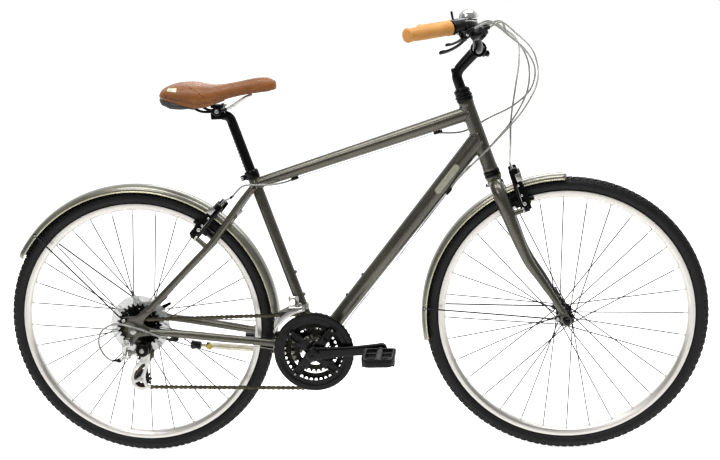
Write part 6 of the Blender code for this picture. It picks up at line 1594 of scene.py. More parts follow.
# Brakes
BRAKE_SET = 0.04
FRONT_BRAKE, REAR_BRAKE = head(BRAKE_S, 0.004), stay_point(0.283)


def bellows(a, b, r):
    """A rubber boot with folds between two points."""
    rows = [(0.0012, 0)]
    length = (Vector(b) - Vector(a)).length
    for k in range(7):
        x = length * (k + 0.5) / 7
        rows += [(r * (1.0 if k % 2 else 0.72), x - length / 28),
            (r * (1.0 if k % 2 else 0.72), x + length / 28)]
    rows.append((0.0012, length))
    return lathe([(0, 0)] + rows + [(0, length)], a, Vector(b) - Vector(a), 20, r=0.0002, n=1)


def brake_arm(name, body, base, up, back, sign, pivot_y, pad_rise, top_rise):
    def p(rise, y, depth):
        return base + up * rise + back * depth + Y * y * sign

    d = BRAKE_SET + 0.006
    route = [
        p(0, pivot_y, d),
        p(pad_rise, pivot_y - 0.002, d),
        p(pad_rise + 0.03, 0.04, d),
        p(top_rise * 0.75, 0.0388, d),
        p(top_rise, 0.033, d)]
    pts = even(span(route), 30)
    radii = taper((0.0078, 0.008, 0.0076, 0.0066, 0.0062), route, pts)
    parts = [
        (sweep(pts, radii, 24, (0.72, 1.7), Y, 0.7, 0.75), BLACK),
        (block(p(pad_rise + 0.001, 0.03, d - 0.004), (0.04, 0.008, 0.018), back, up, 0.003), PLASTIC)]
    for rise, wide in ((0.36, 0.0034), (0.62, 0.003)):
        parts.append((screw_head(p(top_rise * rise, 0.047, d), Y * sign, wide, 0.0022), SILVER))
    parts += [
        (block(p(top_rise * 0.8, 0.042, d + 0.008), (0.015, 0.006, 0.02), back, up, 0.002, 2), TURNED),
        (lathe([(0, 0), (0.0078, 0), (0.008, 0.003), (0.0074, 0.004), (0.007, 0.015), (0.006, 0.0165),
            (0, 0.0165)], p(0, pivot_y, BRAKE_SET - 0.0035), back, 32), BLACK),
        (screw_head(p(0, pivot_y, BRAKE_SET + 0.0128), back, 0.0048, 0.0038), SILVER)]
    coil = [p(0, pivot_y, BRAKE_SET - 0.004 + 0.0045 * k / 40) + (up * cos(k * 0.63) + Y * sin(k * 0.63))
        * 0.0088 for k in range(41)]
    parts.append((sweep(coil, 0.0006, 8), SILVER))
    spring = [coil[-1], p(0.03, pivot_y + 0.0065, BRAKE_SET + 0.002), p(0.06, 0.044, BRAKE_SET + 0.003),
        p(0.064, 0.0425, BRAKE_SET + 0.004)]
    parts += [
        (sweep(even(span(spring), 16), 0.0006, 8), SILVER),
        (rod(p(pad_rise, 0.0195, d), p(pad_rise, pivot_y + 0.01, d), 0.0032), TURNED)]
    for y0, y1, r in ((0.0235, 0.0265, 0.0062), (0.027, 0.0295, 0.0072), (0.0345, 0.037, 0.0066)):
        parts.append((rod(p(pad_rise, y0, d), p(pad_rise, y1, d), r, soft=0.0008), TURNED))
    parts.append((screw_head(p(pad_rise, pivot_y + 0.0078, d), Y * sign, 0.0048, 0.0042), SILVER))
    pad = [
        p(pad_rise, 0.019, BRAKE_SET - 0.034),
        p(pad_rise + 0.0006, 0.0194, BRAKE_SET - 0.016),
        p(pad_rise + 0.001, 0.0196, BRAKE_SET),
        p(pad_rise + 0.0004, 0.0194, BRAKE_SET + 0.016),
        p(pad_rise - 0.0006, 0.0188, BRAKE_SET + 0.03)]
    pts = even(span(pad), 18)
    parts.append((sweep(pts, [0.005 - 0.001 * abs(k - 8.5) / 8.5 for k in range(18)], 24, (0.86, 1.0), Y,
        0.5, 0.6), PLASTIC))
    for k in range(6):
        parts.append((block(p(pad_rise, 0.0157, BRAKE_SET - 0.027 + 0.01 * k), (0.0076, 0.0026, 0.0084),
            back, up, 0.0008, 2), PLASTIC))
    parts += [
        (screw_head(p(top_rise - 0.004, 0.033, d + 0.004), back, 0.0036, 0.003), SILVER),
        (rod(p(top_rise, 0.035, d), p(top_rise + 0.001, 0.02, d), 0.0044, 0.004, 24, 0.001), BLACK)]
    piece(name, body, parts, (body,))
    return p(top_rise, 0.0, d)


for side_name, sign in (("right", -1), ("left", 1)):
    FRONT_TOP = brake_arm("front_caliper_" + side_name, "front_brake_arm_" + side_name, FRONT_BRAKE,
        HEAD_UP, HEAD_FWD, sign, 0.045, 0.015, 0.0985)
    REAR_TOP = brake_arm("rear_caliper_" + side_name, "rear_brake_arm_" + side_name, REAR_BRAKE, STAY_UP,
        STAY_BACK, sign, 0.044, 0.023, 0.0985)

# Stem and bar
STEM = (0.13, 0.0), (0.18, 0.0), (0.222, 0.0), (0.242, 0.0012), (0.255, 0.01), (0.264, 0.025), (0.274,
    0.045), (0.28, 0.057)
BAR_S, BAR_N, BAR_R = 0.2858, 0.0717, 0.0111


def make_stem():
    centre = head(BAR_S, BAR_N)
    route = [head(s, n) for s, n in STEM]
    pts = even(span(route), 48)
    radii = [0.0127 + 0.0016 * max(0.0, (i - 30) / 17) for i in range(48)]
    parts = [
        (sweep(pts, radii, 40, cap=0.3), BLACK),
        (lathe([(0.0133, -0.021), (0.018, -0.021), (0.0196, -0.018), (0.02, 0.0), (0.0196, 0.018),
            (0.018, 0.021), (0.0133, 0.021)], centre, Y, 56, True, 0.001), BLACK),
        (block(head(BAR_S - 0.0165, BAR_N + 0.012), (0.02, 0.018, 0.012), HEAD_FWD, HEAD_UP, 0.0035), BLACK),
        (block(head(BAR_S - 0.005, BAR_N + 0.019), (0.004, 0.038, 0.0014), HEAD_FWD, HEAD_UP, 0.0005),
            PLASTIC),
        (screw_head(head(BAR_S - 0.0222, BAR_N + 0.015), -HEAD_UP), TURNED),
        (rod(head(0.245), head(0.2635), 0.009, 0.008, 24, 0.0012), BLACK),
        (screw_head(head(0.263), HEAD_UP, 0.0058, 0.0026), TURNED),
        (lathe([(0.0128, 0.21), (0.015, 0.21), (0.015, 0.2125), (0.0128, 0.214)], head(0), HEAD_UP, 40,
            True, 0.0004), PLASTIC)]
    piece("stem_neck", "steering", parts, ("stem",), sharp=45)


make_stem()

GRIP_IN, GRIP_OUT = (0.8235, 0.203, 1.0675), (0.7325, 0.29, 1.0575)
GRIP_LENGTH = (at(*GRIP_OUT) - at(*GRIP_IN)).length
BAR_MID = (0.8884, 0.0, 1.0138), (0.8884, 0.022, 1.0138), (0.8876, 0.04, 1.0155), (0.8856, 0.06,
    1.026), (0.8828, 0.082, 1.043), (0.88, 0.102, 1.056), (0.878, 0.124, 1.0672), (0.8735, 0.146, 1.0722)


def grip_line(sign, u):
    a, b = at(GRIP_IN[0], GRIP_IN[1] * sign, GRIP_IN[2]), at(GRIP_OUT[0], GRIP_OUT[1] * sign, GRIP_OUT[2])
    return a + (b - a).normalized() * u


def bar_half():
    shift = head(BAR_S, BAR_N) - at(*BAR_MID[0])
    half = [(at(x, y, z) + shift * (1 - i / 7), 0.0127 if i < 2 else BAR_R) for i,
        (x, y, z) in enumerate(BAR_MID)]
    for u in (-0.055, -0.035, 0.0, 0.06, GRIP_LENGTH - 0.004):
        half.append((grip_line(1, u), BAR_R))
    return half


BAR_HALF = bar_half()


def make_bar():
    left = [p for p, r in BAR_HALF]
    route = [vec(p.x, -p.y, p.z) for p in reversed(left)] + left[1:]
    radii = [r for p, r in BAR_HALF]
    radii = list(reversed(radii)) + radii[1:]
    pts = span(route, 7)
    out = []
    for i in range(len(pts)):
        k = min(i // 7, len(radii) - 2)
        t = (i - 7 * k) / 7
        out.append(radii[k] + (radii[k + 1] - radii[k]) * t * t * (3 - 2 * t))
    piece("bar_tube", "steering", [(sweep(pts, out, 40, cap=0.0), BLACK)], ("handlebar",), sharp=38.0)


make_bar()


def make_grip(sign, side_name):
    line = (grip_line(sign, 1) - grip_line(sign, 0)).normalized()
    end = GRIP_LENGTH
    rows = [(0, end), (0.0118, end), (0.0156, end - 0.0012), (0.0162, end - 0.0035), (0.0158, end - 0.0062),
        (0.0148, end - 0.0082)]
    n = 26
    for i in range(n):
        x = end - 0.012 - (end - 0.024) * i / (n - 1)
        swell = 0.0148 + 0.0004 * sin(pi * i / (n - 1))
        rows += [(swell, x + 0.0012), (swell - 0.00025, x), (swell, x - 0.001)]
    rows += [(0.015, 0.0098), (0.0163, 0.0082), (0.0165, 0.005), (0.0162, 0.001), (0.0117, 0.0005),
        (0.0117, end - 0.0036), (0, end - 0.0036)]
    parts = [(lathe(rows, grip_line(sign, 0), line, r=0.0003, n=1), TAN)]
    piece("grip_sleeve_" + side_name, "steering", parts, ("grip_" + side_name,), 60)


# Controls
RIGHT_TIP = at(0.8082, -0.26, 1.0182)
EXIT_RISE = 0.0165
LEVER_PIVOT = -0.03, 0.029
LEVER_ROUTE = (-0.03, 0.029), (-0.018, 0.037), (0.0, 0.0445), (0.025, 0.0515), (0.045, 0.0545), (0.059,
    0.0545)
POD = -0.073, 0.025


def control_axes(sign):
    out = (grip_line(sign, 1) - grip_line(sign, 0)).normalized()
    reach = vec(RIGHT_TIP.x, -RIGHT_TIP.y * sign, RIGHT_TIP.z) - grip_line(sign, 0)
    lever = (reach - out * reach.dot(out)).normalized()
    return out, lever, out.cross(lever)


def control_point(sign, u, w, a=0.0):
    out, lever, across = control_axes(sign)
    return grip_line(sign, 0) + out * u + lever * w + across * a


def exit_way(sign, kind):
    if kind == "shift":
        return vec(0.86, -0.4 * sign, 0.3).normalized()
    out, lever, across = control_axes(sign)
    return (out * -0.016 + lever * 0.002 + across * 0.0125 * (1 if across.x > 0 else -1)).normalized()


def control_exit(sign, kind, back=0.0):
    way = exit_way(sign, kind)
    if kind == "shift":
        return at(0.912, 0.148 * sign, 1.066) + way * back
    across = control_axes(sign)[2]
    return control_point(sign, -0.05, 0.02) + across * EXIT_RISE * (1 if across.x > 0 else -1) + way * back


def barrel(mouth, way):
    """A ribbed cable adjuster with its lock ring, ending at the mouth."""
    start = mouth - way * 0.0185
    parts = [(lathe([(0, 0), (0.0034, 0), (0.0036, 0.005), (0.005, 0.0056), (0.005, 0.0076),
        (0.0038, 0.0082), (0.004, 0.009), (0.0046, 0.0096), (0.0044, 0.0165), (0.0036, 0.0185),
        (0.0025, 0.0185), (0, 0.018)], start, way, 28, r=0.0003, n=1), PLASTIC)]
    rib = block((0.0045, 0, 0.013), (0.0008, 0.0009, 0.0064), segments=1)
    parts.append((spun_about(rib, 12, start, way), PLASTIC))
    return parts


def make_controls(sign, side_name):
    out, lever, across = control_axes(sign)
    away = across * (1 if across.z < 0 else -1)

    def cp(u, w, a=0.0):
        return control_point(sign, u, w, a)

    ring = lathe([(0.0118, -0.04), (0.0158, -0.04), (0.0163, -0.037), (0.0163, -0.007), (0.0158, -0.004),
        (0.0118, -0.004)], cp(0, 0), out, 44, True, 0.0008)
    parts = [(ring, PLASTIC), (block(cp(-0.03, 0.0172), (0.0225, 0.0125, 0.009), out, lever, 0.0025),
        PLASTIC)]
    for a in (-1, 1):
        ear = flat([(-0.0085, -0.01), (0.0085, -0.01), (0.007, 0.006), (0.0, 0.01), (-0.007, 0.006)], 0.004)
        parts += [
            (plate(ear, 0.0032, cp(-0.03, 0.027, a * 0.0062), out, lever, (), 0.001), PLASTIC),
            (screw_head(cp(-0.03, 0.029, a * 0.0076), across * a, 0.0036, 0.0016), TURNED)]
    arm = [cp(-0.04, 0.0205), cp(-0.05, 0.0212), cp(-0.064, 0.0225)]
    parts += [
        (sweep(even(span(arm), 10), 0.0066, 24, (0.95, 0.9), lever, 0.5, 0.7), PLASTIC),
        (screw_head(cp(-0.013, 0.015, 0), lever, 0.004, 0.003), SILVER)]
    pod_pts = [cp(POD[0] + x, POD[1] + 0.0012 * sin(x * 90)) for x in [-0.0205 + 0.041 * i / 14
        for i in range(15)]]
    pod_r = [0.0126 * (1 - 0.24 * (abs(i - 7) / 7) ** 3) for i in range(15)]
    parts += [
        (sweep(pod_pts, pod_r, 36, (0.9, 0.98), lever, 0.25, 0.55), PLASTIC),
        (lathe([(0, 0), (0.0104, 0), (0.0104, 0.0006), (0.0086, 0.0016), (0.006, 0.0014), (0, 0.0018)],
            cp(POD[0], POD[1]) - away * 0.0112, -away, 40, r=0.0004), BLACK),
        (block(cp(POD[0] - 0.001, POD[1] + 0.0104), (0.026, 0.012, 0.0016), out, lever, 0.0006), BLACK),
        (lathe([(0, 0), (0.01, 0), (0.0096, 0.006), (0.008, 0.0108), (0, 0.0112)],
            cp(POD[0] - 0.004, POD[1] + 0.004), cp(-0.006, 0.0105) - cp(0, 0), 32, r=0.0012), PLASTIC)]
    for kind in ("shift", "brake"):
        parts += barrel(control_exit(sign, kind), exit_way(sign, kind))
    parts += [
        (sweep([cp(-0.05, 0.02), control_exit(sign, "brake", -0.016)], 0.0052), PLASTIC),
        (sweep([cp(POD[0] - 0.01, POD[1]), control_exit(sign, "shift", -0.016)], 0.0054), PLASTIC)]
    piece("control_pod_" + side_name, "steering", parts, ("control_" + side_name,), 40)

    route = [cp(u, w) for u, w in LEVER_ROUTE]
    pts = even(span(route), 34)
    radii = taper((0.0052, 0.0054, 0.0056, 0.0052, 0.005, 0.0058), route, pts)
    pivot = cp(*LEVER_PIVOT)
    parts = [
        (sweep(pts, radii, 24, (0.66, 1.05), lever, 0.95, 0.8), BLACK),
        (rod(pivot - across * 0.0042, pivot + across * 0.0042, 0.0062, soft=0.001), BLACK),
        (block(cp(-0.0235, 0.0335), (0.01, 0.0075, 0.006), out, lever, 0.0018), BLACK)]
    piece("lever_blade_" + side_name, "brake_lever_" + side_name, parts, ("brake_lever_" + side_name,))

    pivot = control_point(sign, -0.07, 0.025) + away * 0.015
    tip = pivot - lever * 0.02 + out * 0.008 + away * 0.0086
    way = (tip - pivot).normalized()
    parts = [(lathe([(0, -0.0036), (0.008, -0.0036), (0.0082, 0.0), (0.0078, 0.003), (0.005, 0.0034),
        (0, 0.003)], pivot, away, 36), PLASTIC)]
    pts = even([pivot + away * 0.0006, (pivot + tip) / 2 + away * 0.0005, tip + away * 0.0004], 12)
    parts += [
        (sweep(pts, [0.0062, 0.006, 0.0057, 0.0054, 0.0052, 0.0052, 0.0053, 0.0056, 0.006, 0.0064, 0.0068,
            0.0068], 24, (0.36, 1.0), away, 0.9, 0.8), PLASTIC),
        (lathe([(0, -0.002), (0.0066, -0.002), (0.0076, 0.0), (0.0072, 0.0022), (0.004, 0.0028),
            (0, 0.0022)], tip, away, 32), PLASTIC)]
    for k in range(4):
        parts.append((block(tip - way * (0.0036 - 0.0024 * k) + away * 0.0026, (0.0009, 0.009, 0.001), way,
            away, 0.0003, 1), PLASTIC))
    piece("thumb_lever_" + side_name, "shift_lever_" + side_name, parts, ("shift_lever_" + side_name,))


for side_name, sign in (("right", -1), ("left", 1)):
    make_grip(sign, side_name)
    make_controls(sign, side_name)

# Bell
BELL, BELL_R = at(0.8646, -0.101, 1.087), 0.0226


def make_bell():
    points = [p for p, r in BAR_HALF]
    i = max((k for k in range(len(points) - 1) if points[k].y <= 0.113))
    p, q = vec(points[i].x, -points[i].y, points[i].z), vec(points[i + 1].x, -points[i + 1].y,
        points[i + 1].z)
    centre, way = (p + q) / 2, (q - p).normalized()
    parts = [(lathe([(0.0119, -0.0055), (0.0148, -0.0055), (0.0152, 0.0), (0.0148, 0.0055),
        (0.0119, 0.0055)], centre, way, 40, True), BLACK)]
    up = BELL - centre
    up = (up - way * up.dot(way)).normalized()
    parts += [
        (rod(centre + up * 0.014, BELL - vec(0, 0, 0.004), 0.0046, 0.0062, 24, 0.001), BLACK),
        (lathe([(0, -0.0062), (0.0185, -0.006), (0.0205, -0.0048), (0.0205, -0.0022), (0, -0.002)], BELL,
            Z), BLACK)]
    dome = [(0.0217, -0.0012), (BELL_R, -0.001), (BELL_R + 0.0001, 0.0006), (BELL_R - 0.0003, 0.003)]
    for k in range(1, 12):
        a = radians(14 + 76 * k / 11)
        dome.append(((BELL_R - 0.0003) * cos(a) ** 0.86 if k < 11 else 0.0,
            0.0005 + 0.0232 * sin(a) * 0.985))
    parts += [
        (lathe(dome, BELL, Z, 72, r=0.0003, n=1), CHROME),
        (lathe([(0, 0), (0.0046, 0), (0.0042, 0.001), (0.0016, 0.0016), (0, 0.0014)],
            BELL + vec(0, 0, 0.0229), Z, 24, r=0.0003, n=1), CHROME)]
    piece("bell_dome", "steering", parts, ("bell",), 40)
    pivot = BELL + vec(-0.0105, 0.008, -0.0085)
    tip = at(0.836, -0.0975, pivot.z)
    route = [pivot, pivot.lerp(tip, 0.5), tip, tip + vec(-0.0065, 0, 0.0075), tip + vec(-0.0095, 0, 0.023)]
    pts = even(span(route), 26)
    parts = [
        (sweep(pts, taper((0.0028, 0.0026, 0.0028, 0.0034, 0.0038), route, pts), 20, (0.75, 1.15), Z, 0.9),
            PLASTIC),
        (rod(pivot - vec(0, 0, 0.0024), pivot + vec(0, 0, 0.003), 0.005, soft=0.0008), PLASTIC)]
    piece("bell_thumb", "bell_lever", parts, ("bell_lever",), 45)


make_bell()

# Cables
HOUSING_R, WIRE_R = 0.0024, 0.0009


def cord(points, radius, per=10, count=None):
    pts = span(points, per)
    pts = even(pts, count or max(12, int(lengths(pts)[-1] / 0.006)))
    return sweep(pts, radius, 14, cap=0.4)


def ferrule(point, way, length=0.011):
    way = Vector(way).normalized()
    return lathe([(0.001, 0), (0.0034, 0), (0.0034, length * 0.3), (0.003, length * 0.36), (0.003, length),
        (0.001, length)], Vector(point), way, 20, True, 0.0003, 1)


def under_shell(y, angle, drop=0.002):
    a = radians(angle)
    return BRACKET + vec(cos(a) * (SHELL_R + drop), y, sin(a) * (SHELL_R + drop))


def noodle(points, boot_a, boot_b, wire_end):
    """The bent silver guide, its rubber boot and the wire on to the far arm."""
    pts = even(span(points), 24)
    return [(sweep(pts, [0.0027] * 20 + [0.0026, 0.0024, 0.0021, 0.0018], 16, cap=0.4), SILVER),
        (bellows(boot_a, boot_b, 0.0044), PLASTIC), (sweep([boot_a, wire_end], WIRE_R, 8, cap=0.4), TURNED)]


def front_brake_cable():
    out, way = control_exit(1, "brake", 0.0006), exit_way(1, "brake")
    top = FRONT_TOP
    bend = [at(0.956, -0.04, 0.775), top + HEAD_UP * 0.018 - Y * 0.03, top + HEAD_UP * 0.006 - Y * 0.015,
        top - Y * 0.01]
    route = [out, out + way * 0.035, at(0.953, 0.11, 1.055), at(0.9825, 0.06, 1.023),
        at(0.982, 0.015, 0.9765), at(0.97, -0.02, 0.9125), at(0.9585, -0.036, 0.843),
        at(0.956, -0.04, 0.775)]
    pts = span(route + bend[1:])
    parts = [(sweep(even(pts[:len(route) * 10 - 16], 90), HOUSING_R, 14, cap=0.4), CABLE)]
    guide = pts[len(route) * 10 - 18:]
    parts.append((ferrule(guide[0], guide[0] - guide[2]), BLACK))
    parts += noodle(guide, top - Y * 0.01, top + Y * 0.012, top + Y * 0.03)
    piece("front_brake_housing", "steering", parts, ("cable_front_brake",), 50)


front_brake_cable()


def steer_lead(name, route, stop_way):
    """A housing from the bars to its stop on the frame."""
    parts = [(cord(route, HOUSING_R), CABLE), (ferrule(route[-1], Vector(stop_way) * -1, 0.013), BLACK)]
    ob = piece(name, None, parts, (), 50)
    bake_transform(ob)
    return ob


def rear_brake_cable():
    out, way = control_exit(-1, "brake", 0.0006), exit_way(-1, "brake")
    lead = [out, out + way * 0.035, at(0.9615, -0.135, 1.0385), at(0.9975, -0.075, 1.0035),
        at(1.0185, -0.015, 0.9575), at(1.008, 0.028, 0.908), at(0.9645, 0.043, 0.869),
        at(0.91, 0.042, 0.844), at(0.845, 0.034, 0.813), at(0.8, 0.01, 0.813), tt_under(0.7751, 0.0036)]
    steer_lead("rear_brake_housing", lead, lead[-1] - tt_under(0.8, 0.0036))
    run = [
        tt_under(0.7751, 0.0036),
        tt_under(0.66, 0.0036),
        tt_under(0.54, 0.0036),
        tt_under(0.4177, 0.0036)]
    top = REAR_TOP
    tail = [tt_under(0.4177, 0.0036), tt_under(0.396, 0.005), at(0.37, -0.025, 0.704),
        at(0.336, -0.037, 0.706), at(0.298, -0.04, 0.705), top + vec(0.033, -0.036, 0.022),
        top + vec(0.012, -0.025, 0.012), top + vec(0.002, -0.012, 0.002), top - Y * 0.008]
    pts = span(tail)
    parts = [
        (sweep(even(run, 30), WIRE_R, 8, cap=0.4), TURNED),
        (sweep(even(pts[:52], 50), HOUSING_R, 14, cap=0.4), CABLE),
        (ferrule(pts[0], pts[2] - pts[0]), BLACK),
        (ferrule(pts[51], pts[49] - pts[51], 0.01), BLACK)]
    parts += noodle(pts[49:], top - Y * 0.008, top + Y * 0.013, top + Y * 0.03)
    piece("rear_brake_wire", "frame", parts, ("cable_rear_brake",), 50)


rear_brake_cable()


def shift_lead(sign, stop_y):
    out, way = control_exit(sign, "shift", 0.0006), exit_way(sign, "shift")
    if sign > 0:
        loop = [
            at(0.9815, 0.08, 1.042),
            at(1.0155, 0.052, 1.005),
            at(1.028, 0.03, 0.96),
            at(1.0205, -0.012, 0.9195),
            at(0.987, -0.046, 0.8665),
            at(0.9505, -0.062, 0.827),
            at(0.8925, -0.052, 0.768)]
    else:
        loop = [
            at(0.9515, -0.1, 1.0495),
            at(0.9845, -0.06, 1.017),
            at(1.004, -0.02, 0.968),
            at(1.0, 0.02, 0.904),
            at(0.966, 0.046, 0.837),
            at(0.9235, 0.054, 0.786),
            at(0.8805, 0.044, 0.7435)]
    return [out, out + way * 0.03] + loop + [dt_under(0.83, stop_y * 1.5, 0.005),
        dt_under(0.78, stop_y, 0.0034)]


def gear_cables():
    lead = shift_lead(1, -0.012)
    steer_lead("front_shift_housing", lead, lead[-1] - lead[-2])
    route = [lead[-1], dt_under(0.6, -0.007, 0.0034), dt_under(0.4, 0, 0.0034),
        dt_under(0.22, 0.007, 0.0034), under_shell(0.008, -42, 0.004), under_shell(0.006, -80, 0.0034),
        under_shell(0.003, -120, 0.0034), under_shell(0.0, -160, 0.005), seat(0.025, -0.02),
        seat(0.06, -0.019, -0.004), seat(0.092, -0.018, -0.011)]
    piece("front_shift_wire", "frame", [(sweep(even(span(route), 90), WIRE_R, 8, cap=0.4), TURNED)],
        ("cable_front_shift",), 50)
    lead = shift_lead(-1, 0.012)
    steer_lead("rear_shift_housing", lead, lead[-1] - lead[-2])
    route = [lead[-1], dt_under(0.6, 0.007, 0.0034), dt_under(0.4, 0, 0.0072),
        dt_under(0.22, -0.007, 0.0034), under_shell(-0.009, -42, 0.004), under_shell(-0.012, -80, 0.0034),
        under_shell(-0.016, -112, 0.004), at(0.404, -0.025, 0.266), at(0.3, -0.045, 0.293),
        at(0.2, -0.056, 0.307), at(0.132, -0.064, 0.3185), at(0.11, -0.067, 0.3205)]
    loop = [
        at(0.11, -0.067, 0.3205),
        at(0.0896, -0.07, 0.3212),
        at(0.055, -0.079, 0.337),
        at(0.0127, -0.087, 0.357),
        at(-0.0459, -0.083, 0.369),
        at(-0.086, -0.076, 0.348),
        at(-0.0965, -0.0745, 0.316),
        at(-0.082, -0.079, 0.285),
        at(-0.062, -0.0845, 0.2734),
        at(-0.0508, -0.0851, 0.2734)]
    parts = [
        (sweep(even(span(route), 110), WIRE_R, 8, cap=0.4), TURNED),
        (cord(loop, HOUSING_R), CABLE),
        (ferrule(loop[1], loop[2] - loop[1]), BLACK),
        (ferrule(loop[-1], loop[-2] - loop[-1], 0.008), BLACK)]
    piece("rear_shift_wire", "frame", parts, ("cable_rear_shift",), 50)


gear_cables()

# Seat post
TILT = at(0.2421, 0, 0.8905)


def make_post():
    rows = [(0, 0.29), (0.012, 0.29), (POST_R, 0.2915), (POST_R, 0.605), (0.0, 0.605)]
    parts = [(lathe(rows, seat(0), SEAT_UP, 56), BLACK)]
    route = [seat(0.6), seat(0.618, -0.001), seat(0.627, -0.008), seat(0.63, -0.015)]
    parts.append((sweep(even(span(route), 14), 0.0124, 36, cap=0.6), BLACK))
    cradle = flat([(-0.019, -0.0215), (0.019, -0.0215), (0.019, -0.005), (0.0128, -0.0004), (0.0, -0.0122),
        (-0.0128, -0.0004), (-0.019, -0.005)], 0.004)
    parts.append((plate(cradle, 0.032, TILT, soft=0.0026), BLACK))
    for i in range(9):
        parts.append((block(seat(0.485 + 0.009 * i, -0.0126), (0.001, 0.011, 0.0022), SEAT_FWD, SEAT_UP,
            0.0004, 1), PLASTIC))
    piece("post_tube", "seat_post", parts, ("seat_post",))


make_post()

# Saddle
ROWS = (0.105, 0.042, 0.942, 0.935, 0.931), (0.114, 0.064, 0.953, 0.937, 0.9285), (0.132, 0.077, 0.961,
    0.938, 0.924), (0.156, 0.0835, 0.965, 0.937, 0.917), (0.184, 0.0825, 0.9645, 0.9335, 0.908), (0.208,
    0.073, 0.96, 0.929, 0.9035), (0.228, 0.059, 0.956, 0.929, 0.906), (0.248, 0.045, 0.9555, 0.932,
    0.913), (0.27, 0.0355, 0.957, 0.935, 0.92), (0.296, 0.0295, 0.9605, 0.938, 0.9255), (0.324, 0.0255,
    0.965, 0.941, 0.9295), (0.35, 0.023, 0.968, 0.943, 0.932), (0.373, 0.02, 0.9665, 0.944, 0.9345), (0.387,
    0.013, 0.959, 0.945, 0.937)


def saddle_row(x):
    """Half width, crown, side and lower edge at any X, smooth between the measured sections."""
    i = 0
    while i < len(ROWS) - 2 and ROWS[i + 1][0] < x:
        i += 1
    a, b, c, d = (ROWS[max(min(k, len(ROWS) - 1), 0)] for k in (i - 1, i, i + 1, i + 2))
    t = min(max((x - b[0]) / (c[0] - b[0]), 0), 1)
    out = []
    for j in range(1, 5):
        sa = (c[j] - a[j]) / max(c[0] - a[0], 1e-06) * (c[0] - b[0])
        sb = (d[j] - b[j]) / max(d[0] - b[0], 1e-06) * (c[0] - b[0])
        out.append(b[j] * (2 * t ** 3 - 3 * t ** 2 + 1) + sa * (t ** 3 - 2 * t ** 2 + t) + c[j]
            * (3 * t ** 2 - 2 * t ** 3) + sb * (t ** 3 - t ** 2))
    return out


def saddle_half(x):
    """The skin's half section at X, from the crown to the lower edge, as 25 points."""
    w, top, side, low = saddle_row(x)
    h = top - side
    keys = [
        vec(x, 0.0, top),
        vec(x, w * 0.42, top - h * 0.07),
        vec(x, w * 0.74, top - h * 0.27),
        vec(x, w * 0.94, top - h * 0.62),
        vec(x, w, side),
        vec(x, w * 0.985, (side + low) / 2),
        vec(x, w - 0.003, low)]
    return even(span(keys, 8), 25)


def on_saddle(x, z, sign=-1, lift=0.0004):
    """A point on the side of the cover at a height, lifted off the hide."""
    half = saddle_half(x)
    best = min(half[4:], key=lambda p: abs(p.z - z))
    out = vec(0, 1, 0.25).normalized() * lift
    return at(best.x, (best.y + out.y) * sign, best.z + out.z)


def make_saddle():
    xs = []
    for i in range(64):
        t = i / 63
        xs.append(0.105 + 0.282 * (t + 0.5 * 0.16 * sin(2 * pi * t) * -1))
    rows = []
    for x in xs:
        w, top, side, low = saddle_row(x)
        half = saddle_half(x)
        inner = max(w - 0.0144, w * 0.45)
        rise = min(0.011, (side - low) * 0.45)
        under = [
            vec(x, w - 0.0048, low - 0.0004),
            vec(x, w - 0.0066, low + 0.001),
            vec(x, inner, low + rise),
            vec(x, 0.0, low + rise)]
        ring = [at(p.x, p.y, p.z) for p in half + under]
        ring += [at(p.x, -p.y, p.z) for p in reversed((half + under)[1:-1])]
        rows.append(ring)
    tail, nose = rows[0], rows[-1]
    for shrink, push in ((0.8, 0.0022), (0.45, 0.0036)):
        for ring, sign, store in ((tail, -1, 0), (nose, 1, 1)):
            c = sum(ring, vec(0, 0, 0)) / len(ring)
            new = [c + (p - c) * shrink + vec(push * sign * 0.8, 0, 0) for p in ring]
            if store == 0:
                rows.insert(0, new)
            else:
                rows.append(new)
    parts = [(grid(rows, True), HIDE)]
    seams = []
    for sign in (-1, 1):
        seam = [
            on_saddle(0.179, 0.96, sign),
            on_saddle(0.189, 0.954, sign),
            on_saddle(0.2005, 0.947, sign),
            on_saddle(0.212, 0.9395, sign),
            on_saddle(0.22, 0.93, sign),
            on_saddle(0.2265, 0.918, sign)]
        seams.append(even(span(seam), 40))
        edge = [at(x, (saddle_half(x)[22].y + 0.0002) * sign, saddle_half(x)[22].z)
            for x in [0.112 + 0.268 * i / 60 for i in range(61)]]
        seams.append(edge)
    for k, line in enumerate(seams):
        parts.append((sweep(line, 0.0006, 8), HIDE))
        dots = even(line, 22 if k % 2 == 0 else 74)
        for a, b in zip(dots, dots[1:]):
            way = (b - a).normalized()
            off = vec(0, 1 if a.y > 0 else -1, 0) * 0.0006 + vec(0, 0,
                0.0016 if k % 2 else 0) + (vec(-0.0018, 0, 0) if k % 2 == 0 else vec(0, 0, 0))
            parts.append((sweep([a + off + way * 0.0006, b + off - way * 0.0008], 0.00042, 6, cap=0.8),
                THREAD))
    ob = piece("saddle_hide", "saddle", parts, ("saddle_cover",), 60)

    label_rows = []
    for i in range(13):
        x = 0.1335 + 0.0265 * i / 12
        edge = min(i, 12 - i) / 12 * 0.0265
        tall = 0.0046 if edge > 0.0046 else sqrt(max(0.0046 ** 2 - (0.0046 - edge) ** 2, 1e-08))
        row = []
        for j in range(5):
            p = on_saddle(x, 0.95 + tall * (j - 2) / 2, -1, 0.0008)
            row.append(p)
        for j in range(5):
            p = on_saddle(x, 0.95 - tall * (j - 2) / 2, -1, 0.0)
            row.append(p)
        label_rows.append(row)
    piece("saddle_label", "saddle", [(grid(label_rows, True), CREAM)], (), 60)


THREAD = enamel("seam_thread", "7a4420", "5a2f14", 0.6)
make_saddle()


